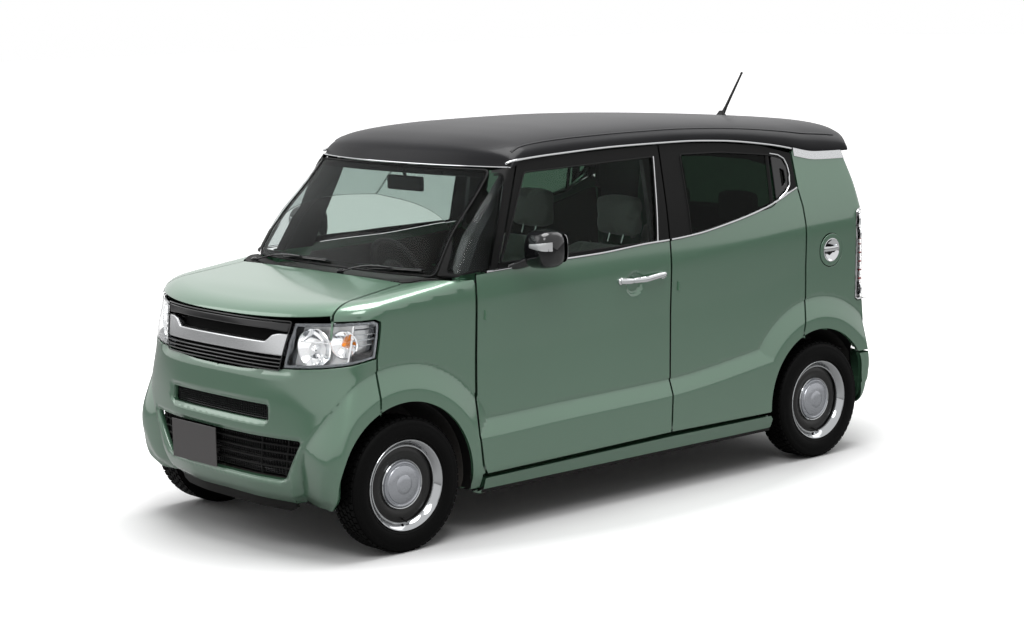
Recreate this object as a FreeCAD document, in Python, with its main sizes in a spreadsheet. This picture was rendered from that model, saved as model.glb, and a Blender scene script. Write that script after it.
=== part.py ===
"""Kei car: a tall five-door wagon with two-tone roof, as separate pieces in one frame.

Frame: +X to the car's left, +Y rearward, +Z up, millimetres. The origin is on the ground under
the middle of the body. The steering wheel is on the car's right (-X).
"""
import FreeCAD, Part
import math
import os
import re

V = FreeCAD.Vector
X_AXIS = V(1, 0, 0)

# ---------------------------------------------------------------- driving dimensions
SIZES = {
    # overall
    "body_length": 3395, "body_width": 1475, "body_height": 1670,
    "wheelbase": 2520, "front_overhang": 448, "track_width": 1305,
    # running gear
    "tyre_radius": 278.5, "tyre_width": 155, "bead_radius": 178, "rim_width": 128,
    "rim_wall": 8, "dish_depth": 34, "hub_flange_radius": 62,
    "arch_clearance": 61, "flare_width": 130, "well_wall": 15, "well_gap": 12,
    "kingpin_scrub": 41, "kingpin_lean": 92, "strut_top": 800, "strut_radius": 22,
    # heights of the body's features above the ground
    "sill_bottom": 193, "sill_top": 256, "groove_bottom": 425, "groove_height": 505,
    "crease_height": 780, "shoulder_height": 1018, "belt_height": 1100,
    "lamp_bottom": 776, "lamp_top": 968, "hood_edge_height": 1015, "hood_rise": 70,
    "tailgate_bottom": 480, "header_drop": 154, "visor_drop": 246, "floor_height": 225,
    # distances along the body: from the front axle, from the rear axle or from the tail
    "lamp_rear": 89, "bumper_seam": 128, "hood_rear": 1119, "screen_rear": 560,
    "door_front": 388.5, "pillar_station": 1526.5, "rear_door_end": 89.5,
    "fuel_lid_station": 91.5, "fuel_lid_height": 993, "fuel_lid_radius": 80,
    # section of the walls
    "wall": 64, "frame_wall": 42, "skin": 28, "roof_wall": 30, "glass": 6,
    "panel_gap": 7, "inner_gap": 24, "inner_frame": 24, "groove_depth": 28,
    "hinge_setback": 45, "hinge_inset": 14, "pin_radius": 6, "running_gap": 0.3, "fixed_seam": 0.3,
    # cabin
    "seat_width": 560, "wheel_rim_radius": 182, "wheel_rim_section": 14,
    "dash_height": 1062, "dash_depth": 330, "driver_offset": 335,
}

PLACES = {
    "half_width": "body_width / 2",
    "front_axle": "front_overhang - body_length / 2",
    "rear_axle": "front_overhang - body_length / 2 + wheelbase",
    "nose": "-body_length / 2",
    "tail": "body_length / 2",
    "arch_radius": "tyre_radius + arch_clearance",
    "header_height": "body_height - header_drop",
    "visor_height": "body_height - visor_drop",
    "wheel_centre": "track_width / 2",
    "kingpin_foot": "track_width / 2 - kingpin_scrub",
}

doc = FreeCAD.newDocument("kei_car")


def make_sheet(name, cells):
    """A sheet with one row per entry: its alias and its value or formula."""
    page = doc.addObject("Spreadsheet::Sheet", name)
    for row, (alias, content) in enumerate(cells.items(), start=1):
        page.set(f"A{row}", alias)
        page.set(f"B{row}", str(content))
        page.setAlias(f"B{row}", alias)
    return page


def fx(text):
    """An expression in which each alias is written with the sheet that holds it."""
    def owner(match):
        word = match.group()
        if word in SIZES:
            return "Sizes." + word
        return "Places." + word if word in PLACES else word
    return re.sub(r"[a-z_]+", owner, str(text))


sizes_sheet = make_sheet("Sizes", SIZES)
places_sheet = make_sheet("Places", {alias: "=" + fx(text) for alias, text in PLACES.items()})
doc.recompute()


def size(alias):
    """The value of a driving or derived dimension."""
    return float((sizes_sheet if alias in SIZES else places_sheet).get(alias))


HALF = size("half_width")
NOSE, TAIL = size("nose"), size("tail")
FRONT_AXLE, REAR_AXLE = size("front_axle"), size("rear_axle")
WALL, GAP = size("wall"), size("panel_gap")
SEAM = size("fixed_seam") / 2
SLACK = size("running_gap")
BELT, HEIGHT = size("belt_height"), size("body_height")
HEADER, VISOR = size("header_height"), size("visor_height")
PILLAR = FRONT_AXLE + size("pillar_station")
DOOR_FRONT = FRONT_AXLE + size("door_front")
REAR_DOOR_END = REAR_AXLE - size("rear_door_end")
FLOOR = size("floor_height")
WIDE = 2 * HALF


# ---------------------------------------------------------------- document helpers
def bind(obj, **expressions):
    """Tie an object's properties to the sheets; x, y, z stand for its placement."""
    for prop, text in expressions.items():
        path = "Placement.Base." + prop if prop in "xyz" else prop
        obj.setExpression(path, fx(text))
    return obj


def prim(kind, name, turn=None, **expressions):
    """A Part primitive bound to the sheets, turned by (axis, degrees)."""
    obj = doc.addObject("Part::" + kind, name)
    if turn:
        obj.Placement = FreeCAD.Placement(V(0, 0, 0), FreeCAD.Rotation(*turn))
    return bind(obj, **expressions)


def group(kind, name, *parts):
    """A boolean of document objects: MultiFuse or MultiCommon of all, Cut of the first by the second."""
    obj = doc.addObject("Part::" + kind, name)
    if kind == "Cut":
        obj.Base, obj.Tool = parts
    else:
        obj.Shapes = list(parts)
    return obj


def feature(name, shape):
    """A document object that holds a shape made with Part's own functions."""
    obj = doc.addObject("Part::Feature", name)
    obj.Shape = shape
    return obj


def mirrored(name, source):
    """The same piece on the car's other side."""
    obj = doc.addObject("Part::Mirroring", name)
    obj.Source, obj.Normal, obj.Base = source, X_AXIS, V(0, 0, 0)
    return obj


NODES = {}


def node(name, obj):
    """Name a finished piece; its label names its file."""
    obj.Label = name
    NODES[name] = obj
    return obj


# ---------------------------------------------------------------- shape helpers
def box(x0, x1, y0, y1, z0, z1):
    """A box between two limits on each axis."""
    return Part.makeBox(x1 - x0, y1 - y0, z1 - z0, V(x0, y0, z0))


def rod(start, end, radius):
    """A cylinder between two points."""
    run = end - start
    return Part.makeCylinder(radius, run.Length, start, run)


def disc(x0, x1, y, z, radius):
    """A cylinder along X."""
    return Part.makeCylinder(radius, x1 - x0, V(x0, y, z), X_AXIS)


def side_prism(points, x0=0.0, x1=WIDE, offset=0.0):
    """A side-view outline (y, z) run across the car, grown or shrunk by an offset."""
    face = Part.Face(Part.makePolygon([V(x0, y, z) for y, z in points + points[:1]]))
    if offset:
        face = face.makeOffset2D(offset, 2)
    return face.extrude(V(x1 - x0, 0, 0))


def front_prism(points, y0, y1, offset=0.0):
    """A front-view outline (x, z) run along the car."""
    face = Part.Face(Part.makePolygon([V(x, y0, z) for x, z in points + points[:1]]))
    if offset:
        face = face.makeOffset2D(offset, 2)
    return face.extrude(V(0, y1 - y0, 0))


def both(points):
    """A left-hand front-view outline completed with its mirror image."""
    return points + [(-x, z) for x, z in reversed(points)]


def fused(*shapes):
    """All the shapes in one, its needless edges removed."""
    whole = shapes[0].multiFuse(list(shapes[1:])) if len(shapes) > 1 else shapes[0]
    return whole.removeSplitter()


def both_sides(shape):
    """A left-hand shape and its mirror image, as one compound."""
    return Part.makeCompound([shape.copy(), shape.mirror(V(0, 0, 0), X_AXIS)])


# ---------------------------------------------------------------- envelope of the body
CORNER_BULGE = 0.72


def plan_outline(row, inset=0.0):
    """The body's plan at one height: bowed nose and tail, round corners, straight sides."""
    height, side_in, nose, nose_corner, nose_side, tail, tail_corner, tail_side, corner_in = row
    side = HALF - side_in - inset
    corner = HALF - corner_in - inset
    nose, nose_corner, nose_side = (NOSE + inset + y for y in (nose, nose_corner, nose_side))
    tail, tail_corner, tail_side = (TAIL - inset - y for y in (tail, tail_corner, tail_side))

    def bulge(y_end, y_side):
        return (corner + (side - corner) * CORNER_BULGE, y_side + (y_end - y_side) * CORNER_BULGE)

    def arc(a, b, c):
        return Part.Arc(*(V(x, y, height) for x, y in (a, b, c))).toShape()

    def line(a, b):
        return Part.makeLine(V(a[0], a[1], height), V(b[0], b[1], height))

    nb, tb = bulge(nose_corner, nose_side), bulge(tail_corner, tail_side)
    return Part.Wire([
        arc((-corner, nose_corner), (0, nose), (corner, nose_corner)),
        arc((corner, nose_corner), nb, (side, nose_side)),
        line((side, nose_side), (side, tail_side)),
        arc((side, tail_side), tb, (corner, tail_corner)),
        arc((corner, tail_corner), (0, tail), (-corner, tail_corner)),
        arc((-corner, tail_corner), (-tb[0], tb[1]), (-side, tail_side)),
        line((-side, tail_side), (-side, nose_side)),
        arc((-side, nose_side), (-nb[0], nb[1]), (-corner, nose_corner)),
    ])


def envelope(rows, inset=0.0, lowest=None):
    """A ruled loft through the plan outlines, its first one let down to a lower height."""
    wires = [plan_outline(row, inset) for row in rows]
    if lowest is not None:
        wires.insert(0, plan_outline((lowest,) + rows[0][1:], inset))
    return Part.makeLoft(wires, True, True)


# columns: height, side in from the half width, nose, nose corner and nose side behind the
# foremost point, tail, tail corner and tail side ahead of the rearmost point, corner in
LOWER = [
    (size("sill_bottom"), 25, 75, 110, 215, 100, 118, 200, 175),
    (size("sill_top"), 5, 28, 62, 160, 40, 52, 125, 175),
    (size("groove_bottom"), 2, 0, 40, 140, 0, 14, 85, 175),
    (size("crease_height"), 6, 28, 82, 300, 26, 40, 115, 190),
    (size("lamp_top"), 0.5, 42, 120, 350, 34, 46, 120, 205),
    (size("hood_edge_height"), 0, 56, 132, 366, 35, 48, 122, 205),
    (BELT, 10, 70, 150, 380, 37, 52, 125, 205),
]
# the same columns: windscreen, cabin side and tailgate up to the header
UPPER = [
    (BELT - 45, 6, 612, 662, 750, 36, 50, 125, 147),
    (BELT + 150, 31, 739, 782, 865, 55, 78, 150, 160),
    (VISOR, 62, 915, 947, 1030, 105, 140, 200, 175),
    (HEADER + 8, 81, 1005, 1032, 1108, 150, 185, 240, 185),
]
ROOF = [
    (VISOR, 61, 905, 937, 1020, 8, 24, 90, 150),
    (HEADER, 78, 992, 1024, 1100, 40, 55, 125, 165),
    (HEADER + 75, 106, 1030, 1075, 1200, 195, 225, 330, 230),
    (HEIGHT - 28, 190, 1185, 1240, 1380, 850, 880, 980, 330),
    (HEIGHT, 440, 1540, 1580, 1680, 1350, 1380, 1480, 540),
]


def plane_height(y):
    """Height of the hood's sloping plane at a distance along the car."""
    slope = size("hood_rise") / (size("screen_rear") + 11)
    return size("hood_edge_height") + (y - NOSE - 57.5) * slope


def below_hood(drop=0.0):
    """Everything under the hood's plane and the belt, let down by the skin for the inside."""
    y_belt = NOSE + 57.5 + (BELT - size("hood_edge_height")) / (plane_height(1) - plane_height(0))
    return side_prism([(NOSE - 99, 0), (TAIL + 99, 0), (TAIL + 99, BELT), (y_belt + drop * 4, BELT),
                       (NOSE - 99, plane_height(NOSE - 99) - drop)],
                      -WIDE, WIDE)


# the drip line under the roof, seen from the side: it climbs from the header, runs over the
# doors and drops to the visor at the tail
DRIP = [
    (NOSE + 797, HEADER - 2), (NOSE + 1007, HEADER - 2), (NOSE + 1131, HEADER + 24),
    (NOSE + 1381, HEADER + 33), (NOSE + 1735, HEADER + 36), (REAR_AXLE - 861, HEADER + 30),
    (REAR_AXLE - 602, HEADER + 14), (REAR_AXLE - 334, HEADER - 21),
    (REAR_AXLE - 127, VISOR + 31), (REAR_AXLE - 39, VISOR), (TAIL + 99, VISOR),
]
SKY = [(TAIL + 99, HEIGHT + 99), (NOSE + 797, HEIGHT + 99)]

hull = envelope(LOWER).common(below_hood())
hull_void = envelope(LOWER, WALL, 100).common(below_hood(size("skin")))
hull_wall = hull.cut(hull_void)
over_drip = side_prism(DRIP + SKY, -WIDE, WIDE)
cabin = envelope(UPPER)
cabin_void = envelope(UPPER, size("frame_wall"))
house_wall = cabin.cut(cabin_void).cut(hull).cut(over_drip)
roof_solid = envelope(ROOF).common(over_drip)
roof_void = envelope(ROOF, size("roof_wall")).common(
    side_prism([(NOSE + 797, 0), (TAIL + 99, 0), (TAIL + 99, HEADER + 60), (TAIL - 330, HEADER + 70),
                (TAIL - 900, HEIGHT - size("roof_wall")), (NOSE + 1400, HEIGHT - size("roof_wall")),
                (NOSE + 797, HEADER)], -WIDE, WIDE))
left_half = box(0, WIDE, NOSE - 99, TAIL + 99, 0, HEIGHT + 99)
body_wall = fused(hull_wall, house_wall).common(left_half)

# ---------------------------------------------------------------- seams and openings, seen from the side
SILL_RISE = 14
FRONT_DOOR = [
    (DOOR_FRONT + 34, size("sill_top")), (DOOR_FRONT + 14, size("sill_top") + 44),
    (DOOR_FRONT, BELT - 15), (DOOR_FRONT, BELT + 2), (DOOR_FRONT + 120, BELT + 8),
    (DOOR_FRONT + 300, HEADER + 20), (DOOR_FRONT + 545, HEADER + 33), (PILLAR, HEADER + 34),
    (PILLAR, 509), (PILLAR - 15, size("sill_top") + SILL_RISE),
]
REAR_DOOR = [
    (PILLAR - 15, size("sill_top") + SILL_RISE), (PILLAR, 509), (PILLAR, HEADER + 34),
    (REAR_AXLE - 861, HEADER + 28), (REAR_AXLE - 602, HEADER + 12), (REAR_AXLE - 334, HEADER - 23),
    (REAR_AXLE - 136, VISOR + 14), (REAR_AXLE - 124, BELT + 174), (REAR_DOOR_END - 11, BELT + 162),
    (REAR_DOOR_END, BELT - 150), (REAR_DOOR_END - 8, BELT - 232), (REAR_DOOR_END - 40, 760),
    (REAR_DOOR_END - 40, size("sill_top") + 24),
]
FRONT_GLASS = [
    (DOOR_FRONT + 142, BELT + 34), (DOOR_FRONT + 330, HEADER - 32),
    (PILLAR - 52, HEADER - 22), (PILLAR - 91, BELT + 40),
]
REAR_GLASS = [
    (PILLAR + 124, HEADER - 26), (REAR_AXLE - 602, HEADER - 38), (REAR_AXLE - 300, HEADER - 82),
    (REAR_AXLE - 186, VISOR - 22), (REAR_AXLE - 176, BELT + 200), (REAR_AXLE - 310, BELT + 128),
    (PILLAR + 138, BELT + 46),
]
QUARTER_GLASS = [
    (DOOR_FRONT - 110, BELT + 18), (DOOR_FRONT + 106, HEADER - 22),
    (DOOR_FRONT + 224, HEADER - 18), (DOOR_FRONT + 78, BELT + 18),
]
LAMP_REAR = FRONT_AXLE - size("lamp_rear")
BUMPER_SEAM = FRONT_AXLE - size("bumper_seam")
LAMP_CORNERS = ((NOSE + 57, size("lamp_bottom") + 2), (LAMP_REAR - 21, size("lamp_bottom") + 44))


def lamp_line(y):
    """Height of the lamps' lower edge, which is the bumper's upper edge."""
    (y0, z0), (y1, z1) = LAMP_CORNERS
    return z0 + (z1 - z0) * (y - y0) / (y1 - y0)


LAMP = [
    (NOSE - 99, size("lamp_top") + 6), (NOSE + 99, size("lamp_top") + 4), (LAMP_REAR, size("lamp_top") - 2),
    (LAMP_REAR - 4, size("lamp_top") - 90), LAMP_CORNERS[1], LAMP_CORNERS[0],
    (NOSE - 99, size("lamp_bottom")),
]
BUMPER = [
    (NOSE - 99, 0), (BUMPER_SEAM, 0), (BUMPER_SEAM, lamp_line(BUMPER_SEAM)), LAMP_CORNERS[0],
    (NOSE - 99, size("lamp_bottom")),
]
# grille and lamp meet on this front-view line (x, z); the hood's side seam leaves the lamp's top
GRILLE_SIDE = [(HALF - 325, size("lamp_bottom") - 9), (HALF - 278, size("lamp_top") + 12)]
HOOD_SIDE = HALF - 142
HOOD_REAR = NOSE + 1697.5 - size("hood_rear")
SCREEN = both([(HALF - 118, BELT - 12), (HALF - 160, HEADER - 12)])
TAILGATE_SIDE = [(HALF - 112, size("tailgate_bottom")), (HALF - 112, BELT + 60),
                 (HALF - 150, VISOR - 60), (HALF - 150, HEIGHT + 50)]
TAILGATE_TOP = TAIL - 152
AXLE_HEIGHT = size("tyre_radius")
ARCH = size("arch_radius")


def arch_cut(grow=0.0, x0=-WIDE, x1=WIDE):
    """Both wheel openings as cylinders across the car."""
    return Part.makeCompound([disc(x0, x1, y, AXLE_HEIGHT, ARCH + grow) for y in (FRONT_AXLE, REAR_AXLE)])


# flared arch mouldings fill the groove round the wheels
flares = Part.makeCompound([disc(HALF - WALL, HALF - 2, y, AXLE_HEIGHT, ARCH + size("flare_width"))
                            for y in (FRONT_AXLE, REAR_AXLE)])
groove = front_prism([(HALF + 99, size("groove_bottom")), (HALF - 2, size("groove_bottom")),
                      (HALF - size("groove_depth"), size("groove_height")),
                      (HALF - 7, size("crease_height")), (HALF + 99, size("crease_height"))],
                     NOSE + 300, TAIL - 200).cut(flares)
body_wall = body_wall.cut(groove).cut(arch_cut())

# ---------------------------------------------------------------- doors, with their glass and mirrors
HINGE_HEIGHTS = (380, 930)
HINGE_X = HALF - size("hinge_inset")


def hinge_post(axis_y, height):
    """A body-side hinge: an arm out from the inner frame to its pin."""
    return fused(
        box(FRAME_OUT - 12, HINGE_X, axis_y - 6, axis_y + 6, height - 12, height + 12),
        Part.makeCylinder(size("pin_radius"), 40, V(HINGE_X, axis_y, height - 20)))


def hinge_pocket(axis_y, height):
    """The space cut in a door round its hinge."""
    reach = size("pin_radius") + size("running_gap")
    return box(HALF - WALL - 30, HINGE_X + reach,
               axis_y - size("hinge_setback") - 30, axis_y + 10, height - 32, height + 32)


INNER_FACE = HALF - WALL
FRAME_OUT = INNER_FACE - size("inner_gap")
lining = fused(envelope(LOWER, WALL + size("inner_gap"), 100).common(below_hood(size("skin") + 4)),
               envelope(UPPER, size("frame_wall") + size("inner_gap")).cut(over_drip).common(
                   box(-WIDE, WIDE, NOSE, TAIL, BELT, HEIGHT)))
door_inside = fused(envelope(LOWER, WALL + 2, 100), envelope(UPPER, size("frame_wall") + 2))


def door(outline, window, axis_y):
    """A door as thick as the wall, window cut, and pockets for its two hinges."""
    panel = body_wall.common(side_prism(outline, HALF / 2, offset=-GAP / 2)).cut(side_prism(window))
    for height in HINGE_HEIGHTS:
        panel = panel.cut(hinge_pocket(axis_y, height))
    return panel.cut(door_inside)


def pane(window):
    """The glass of a side window, set in a little from the wall's outer face."""
    outer = envelope(UPPER, 6)
    inner = envelope(UPPER, 6 + size("glass"))
    slab = outer.cut(inner).common(left_half)
    return slab.common(side_prism(window, HALF - 130))


FRONT_HINGE = DOOR_FRONT + size("hinge_setback")
REAR_HINGE = PILLAR + size("hinge_setback")
for name, outline, window, axis_y in (("front_door", FRONT_DOOR, FRONT_GLASS, FRONT_HINGE),
                                      ("rear_door", REAR_DOOR, REAR_GLASS, REAR_HINGE)):
    left = node(name + "_left", feature(name + "_shell", door(outline, window, axis_y)))
    node(name + "_right", mirrored(name + "_mirror", left))
    left = node(name + "_glass_left", feature(name + "_pane", pane(window)))
    node(name + "_glass_right", mirrored(name + "_pane_mirror", left))

# door mirror: a housing on a foot at the front corner of the door's belt
MIRROR_Y, MIRROR_Z = DOOR_FRONT + 217, BELT + 8
housing = box(HALF + 26, HALF + 180, MIRROR_Y + 20, MIRROR_Y + 150, MIRROR_Z, MIRROR_Z + 164)
housing = housing.makeFillet(38, [e for e in housing.Edges if abs(e.tangentAt(0).y) > 0.9])
housing = housing.makeFillet(30, [e for e in housing.Edges
                                  if abs(e.CenterOfMass.y - MIRROR_Y - 20) < 1])
foot = box(HALF - 40, HALF + 60, MIRROR_Y - 46, MIRROR_Y + 84, MIRROR_Z - 10, MIRROR_Z + 34)
mirror_left = node("door_mirror_left", feature("mirror_housing",
                                               fused(housing, foot).cut(fused(hull, cabin))))
node("door_mirror_right", mirrored("mirror_housing_other", mirror_left))

# ---------------------------------------------------------------- front end
grille_zone = front_prism(both([GRILLE_SIDE[0], GRILLE_SIDE[1]]), NOSE - 99, NOSE + 260, -SEAM)
lamp_zone = side_prism(LAMP, offset=-SEAM).cut(
    front_prism(both(GRILLE_SIDE), NOSE - 199, NOSE + 260, SEAM))
lamp_zone = lamp_zone.cut(box(0, HALF - 330, NOSE - 199, NOSE + 460, 0, HEIGHT))
lamp_wall = hull_wall.cut(arch_cut())
headlamp = lamp_wall.common(lamp_zone)
node("headlamps", feature("headlamp_pair", both_sides(headlamp)))
grille_band = box(-WIDE, WIDE, NOSE - 99, NOSE + 260, size("lamp_bottom") + 2, size("lamp_top") + 2)

UPPER_SLOT = [(HALF - 389, 618), (HALF - 389, 554)]
INTAKE = [(HALF - 212, 483), (HALF - 285, 300)]
bumper = hull_wall.cut(arch_cut()).common(side_prism(BUMPER, -WIDE, WIDE, -SEAM))
bumper = bumper.cut(front_prism(both(INTAKE), NOSE - 99, NOSE + 200))
bumper = bumper.cut(front_prism(both(UPPER_SLOT), NOSE - 99, NOSE + 200))
grille = hull_wall.common(grille_zone).common(grille_band)
node("grille", feature("grille_face", grille.cut(side_prism(BUMPER, -WIDE, WIDE, SEAM))))
# the lower intake's grid stands behind the bumper's opening and joins its two ends
grid_bars = [box(3 - HALF + 210, HALF - 213, NOSE + 64, NOSE + 84, z, z + 14) for z in (330, 385, 440)]
grid_posts = [box(x - 6, x + 6, NOSE + 66, NOSE + 82, 262, 500) for x in (-400, -240, 0, 240, 400)]
slot_bar = box(3 - HALF + 370, HALF - 373, NOSE + 70, NOSE + 82, 575, 597)
slot_posts = [box(x - 6, x + 6, NOSE + 60, NOSE + 82, 530, 640) for x in (-300, 0, 300)]
grid = fused(*(grid_bars + grid_posts)).common(hull)
slot_grid = fused(slot_bar, *slot_posts)
node("front_bumper", feature("bumper_with_grids", fused(bumper, grid, slot_grid)))

hood_zone = box(-HOOD_SIDE, HOOD_SIDE, NOSE - 99, HOOD_REAR, size("lamp_top") + 6 + GAP, BELT)
hood_plate = hull_wall.common(hood_zone)
cowl = hull.common(box(-HALF + 100, HALF - 100, HOOD_REAR + 14, NOSE + 760,
                       size("hood_edge_height") - 40, BELT)).cut(hull_void).cut(cabin_void)
node("cowl_panel", feature("cowl_plate", cowl))

FENDER = [(BUMPER_SEAM, 0), (DOOR_FRONT, 0), (DOOR_FRONT, BELT + 2), (NOSE - 99, BELT + 2)] + LAMP[:5] + [
    (BUMPER_SEAM, lamp_line(BUMPER_SEAM))]
inner_edge = box(0, HOOD_SIDE + 6, NOSE - 99, HOOD_REAR + 14, 0, HEIGHT)
inner_edge = inner_edge.fuse(box(0, HALF - 100, HOOD_REAR, NOSE + 1000, 0, HEIGHT))
fender = body_wall.common(side_prism(FENDER, offset=-SEAM)).common(hull).cut(inner_edge)
fender = fender.cut(side_prism(FRONT_DOOR, offset=GAP / 2))
node("front_fenders", feature("fender_pair", both_sides(fender)))

# ---------------------------------------------------------------- glass, roof and tail
SCREEN_SET = 4
screen_wall = envelope(UPPER, SCREEN_SET).cut(envelope(UPPER, SCREEN_SET + size("glass")))
screen_prism = front_prism(SCREEN, NOSE + 500, NOSE + 1300)
windscreen = screen_wall.common(screen_prism).cut(hull).cut(over_drip)
node("windscreen", feature("windscreen_pane", windscreen))
quarter_pane = pane(QUARTER_GLASS).cut(hull)
node("quarter_windows", feature("quarter_panes", both_sides(quarter_pane)))

gate_prism = front_prism(both(TAILGATE_SIDE), TAIL - 260, TAIL + 99, -GAP / 2)
roof_tail = box(-HALF + 150, HALF - 150, TAILGATE_TOP - 5, TAIL + 99, VISOR - 60, HEIGHT)
spoiler_block = box(-HALF + 150 + GAP, HALF - 150 - GAP, TAILGATE_TOP + 5, TAIL + 99, VISOR - 60, HEIGHT)
GATE_AXIS_Y, GATE_AXIS_Z = TAILGATE_TOP + 24, HEADER + 26
GATE_HINGE_X = HALF - 290
gate_arm = fused(
    disc(GATE_HINGE_X - 18, GATE_HINGE_X + 18, GATE_AXIS_Y, GATE_AXIS_Z, 6),
    box(GATE_HINGE_X - 8, GATE_HINGE_X + 8, GATE_AXIS_Y - 5, GATE_AXIS_Y + 5, GATE_AXIS_Z - 36, GATE_AXIS_Z),
    box(GATE_HINGE_X - 8, GATE_HINGE_X + 8, GATE_AXIS_Y - 66, GATE_AXIS_Y + 5, GATE_AXIS_Z - 36,
        GATE_AXIS_Z - 24),
    box(GATE_HINGE_X - 8, GATE_HINGE_X + 8, GATE_AXIS_Y - 66, GATE_AXIS_Y - 54, GATE_AXIS_Z - 36,
        GATE_AXIS_Z + 26))
gate_pocket = box(GATE_HINGE_X - 22, GATE_HINGE_X + 22, TAIL - 300, GATE_AXIS_Y + 11,
                  GATE_AXIS_Z - 60, GATE_AXIS_Z + 6 + SLACK)
roof = roof_solid.cut(roof_void).cut(roof_tail)
roof = fused(roof, gate_arm, gate_arm.mirror(V(0, 0, 0), X_AXIS))
node("roof_panel", feature("roof_shell", roof))

REAR_WINDOW = both([(HALF - 225, BELT + 36), (HALF - 245, VISOR - 22)])
tail_wall = fused(hull_wall, house_wall)
gate = tail_wall.common(gate_prism).common(box(-WIDE, WIDE, TAIL - 240, TAIL + 99, 0, HEIGHT))
spoiler = roof_solid.cut(cabin_void).common(spoiler_block)
gate = fused(gate, spoiler).cut(front_prism(REAR_WINDOW, TAIL - 260, TAIL + 99))
gate = gate.cut(box(-WIDE, WIDE, TAIL - 300, TAILGATE_TOP + 5, HEADER - 30, HEIGHT))
gate = gate.cut(gate_pocket).cut(gate_pocket.mirror(V(0, 0, 0), X_AXIS))
node("tailgate", feature("tailgate_shell", gate))
rear_slab = envelope(UPPER, 6).cut(envelope(UPPER, 6 + size("glass"))).cut(hull)
node("tailgate_glass", feature("tailgate_pane", rear_slab.common(
    front_prism(REAR_WINDOW, TAIL - 260, TAIL + 99))))

tail_lamp_zone = front_prism([(HALF - 99, 730), (HALF + 9, 730), (HALF + 9, BELT + 72),
                              (HALF - 99, BELT + 72)], TAIL - 126, TAIL + 99, -2)
tail_lamp = fused(hull_wall, house_wall).common(tail_lamp_zone)
node("tail_lamps", feature("tail_lamp_pair", both_sides(tail_lamp)))
rear_zone = box(-WIDE, WIDE, REAR_AXLE + 150, TAIL + 99, 0, size("tailgate_bottom") - GAP / 2)
rear_bumper = hull_wall.cut(arch_cut()).common(rear_zone)
node("rear_bumper", feature("rear_bumper_face", rear_bumper))

# ---------------------------------------------------------------- body sides: pillars, sills, quarters
lining_void = fused(envelope(LOWER, WALL + size("inner_gap") + size("inner_frame"), 90),
                    envelope(UPPER, size("frame_wall") + size("inner_gap") + size("inner_frame")))
inner_ring = lining.cut(lining_void).common(box(0, WIDE, DOOR_FRONT - 40, REAR_AXLE + 120, FLOOR, HEIGHT))
inner_ring = inner_ring.cut(screen_prism)
for outline in (FRONT_DOOR, REAR_DOOR):
    inner_ring = inner_ring.cut(side_prism(outline, offset=-46))
pillar_block = box(FRAME_OUT - 24, INNER_FACE, DOOR_FRONT - 40, DOOR_FRONT - GAP / 2,
                   size("sill_top"), BELT - 20)
sill_box = box(FRAME_OUT - 24, HALF - 40, DOOR_FRONT - 40, REAR_AXLE - 300,
               size("sill_bottom") + 4, FLOOR + 6)
rear_block = box(FRAME_OUT - 24, INNER_FACE, REAR_DOOR_END + 20, REAR_AXLE + 120,
                 AXLE_HEIGHT + 300, BELT - 20)
quarter = body_wall.common(box(0, WIDE, DOOR_FRONT - 700, TAIL + 99, 0, HEIGHT))
for outline in (FRONT_DOOR, REAR_DOOR):
    quarter = quarter.cut(side_prism(outline, offset=GAP / 2))
quarter = quarter.cut(side_prism(QUARTER_GLASS))
quarter = quarter.cut(fused(fender, bumper).common(left_half)).cut(screen_prism)
quarter = quarter.cut(box(0, WIDE, NOSE - 99, DOOR_FRONT, 0, BELT - 46))
quarter = quarter.cut(side_prism(FENDER, offset=2).common(hull)).cut(inner_edge.common(hull))
quarter = quarter.cut(front_prism(both(TAILGATE_SIDE), TAIL - 260, TAIL + 99, GAP / 2))
quarter = quarter.cut(box(0, HALF - 110, REAR_AXLE, TAIL + 99, 0, HEIGHT)).cut(tail_lamp)
quarter = quarter.cut(box(0, WIDE, REAR_AXLE + 150, TAIL + 99, 0, size("tailgate_bottom") + GAP / 2))
hinges = [hinge_post(axis_y, height) for axis_y in (FRONT_HINGE, REAR_HINGE) for height in HINGE_HEIGHTS]
skin_side = fused(quarter.cut(arch_cut(x0=0)).cut(fender))
side_frame = fused(inner_ring, pillar_block, sill_box, rear_block).cut(arch_cut(x0=0)).cut(fender)
side_frame = fused(side_frame, *hinges).cut(skin_side)

# the fuel lid: a round plate over a pocket in the left quarter, on a pin at its front edge
LID_Y, LID_Z = REAR_AXLE + size("fuel_lid_station"), size("fuel_lid_height")
LID_R = size("fuel_lid_radius")
pocket = disc(HALF - 46, WIDE, LID_Y, LID_Z, LID_R + GAP)
lid = quarter.common(disc(HALF - 12, WIDE, LID_Y, LID_Z, LID_R))
lid_pin_x, lid_pin_y = HALF - 6, LID_Y - LID_R + 7
lid_lug = Part.makeCylinder(5, 28, V(lid_pin_x, lid_pin_y, LID_Z - 14))
lid_bore = Part.makeCylinder(2.5 + SLACK, 40, V(lid_pin_x, lid_pin_y, LID_Z - 20))
lid_pin = Part.makeCylinder(2.5, 52, V(lid_pin_x, lid_pin_y, LID_Z - 26))
lid_ears = fused(*[box(HALF - 50, HALF - 3, lid_pin_y - 4, lid_pin_y + 4, z, z + 8)
                   for z in (LID_Z - 26, LID_Z + 18)])
lid_notches = fused(*[box(HALF - 60, WIDE, lid_pin_y - 12, lid_pin_y + 9, z - 1, z + 9)
                      for z in (LID_Z - 26, LID_Z + 18)])
node("fuel_lid", feature("fuel_lid_plate", fused(lid, lid_lug).cut(lid_bore).cut(lid_notches)))
left_skin = fused(skin_side.cut(pocket), lid_pin, lid_ears)
node("side_skin_left", feature("side_skin", left_skin))
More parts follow.
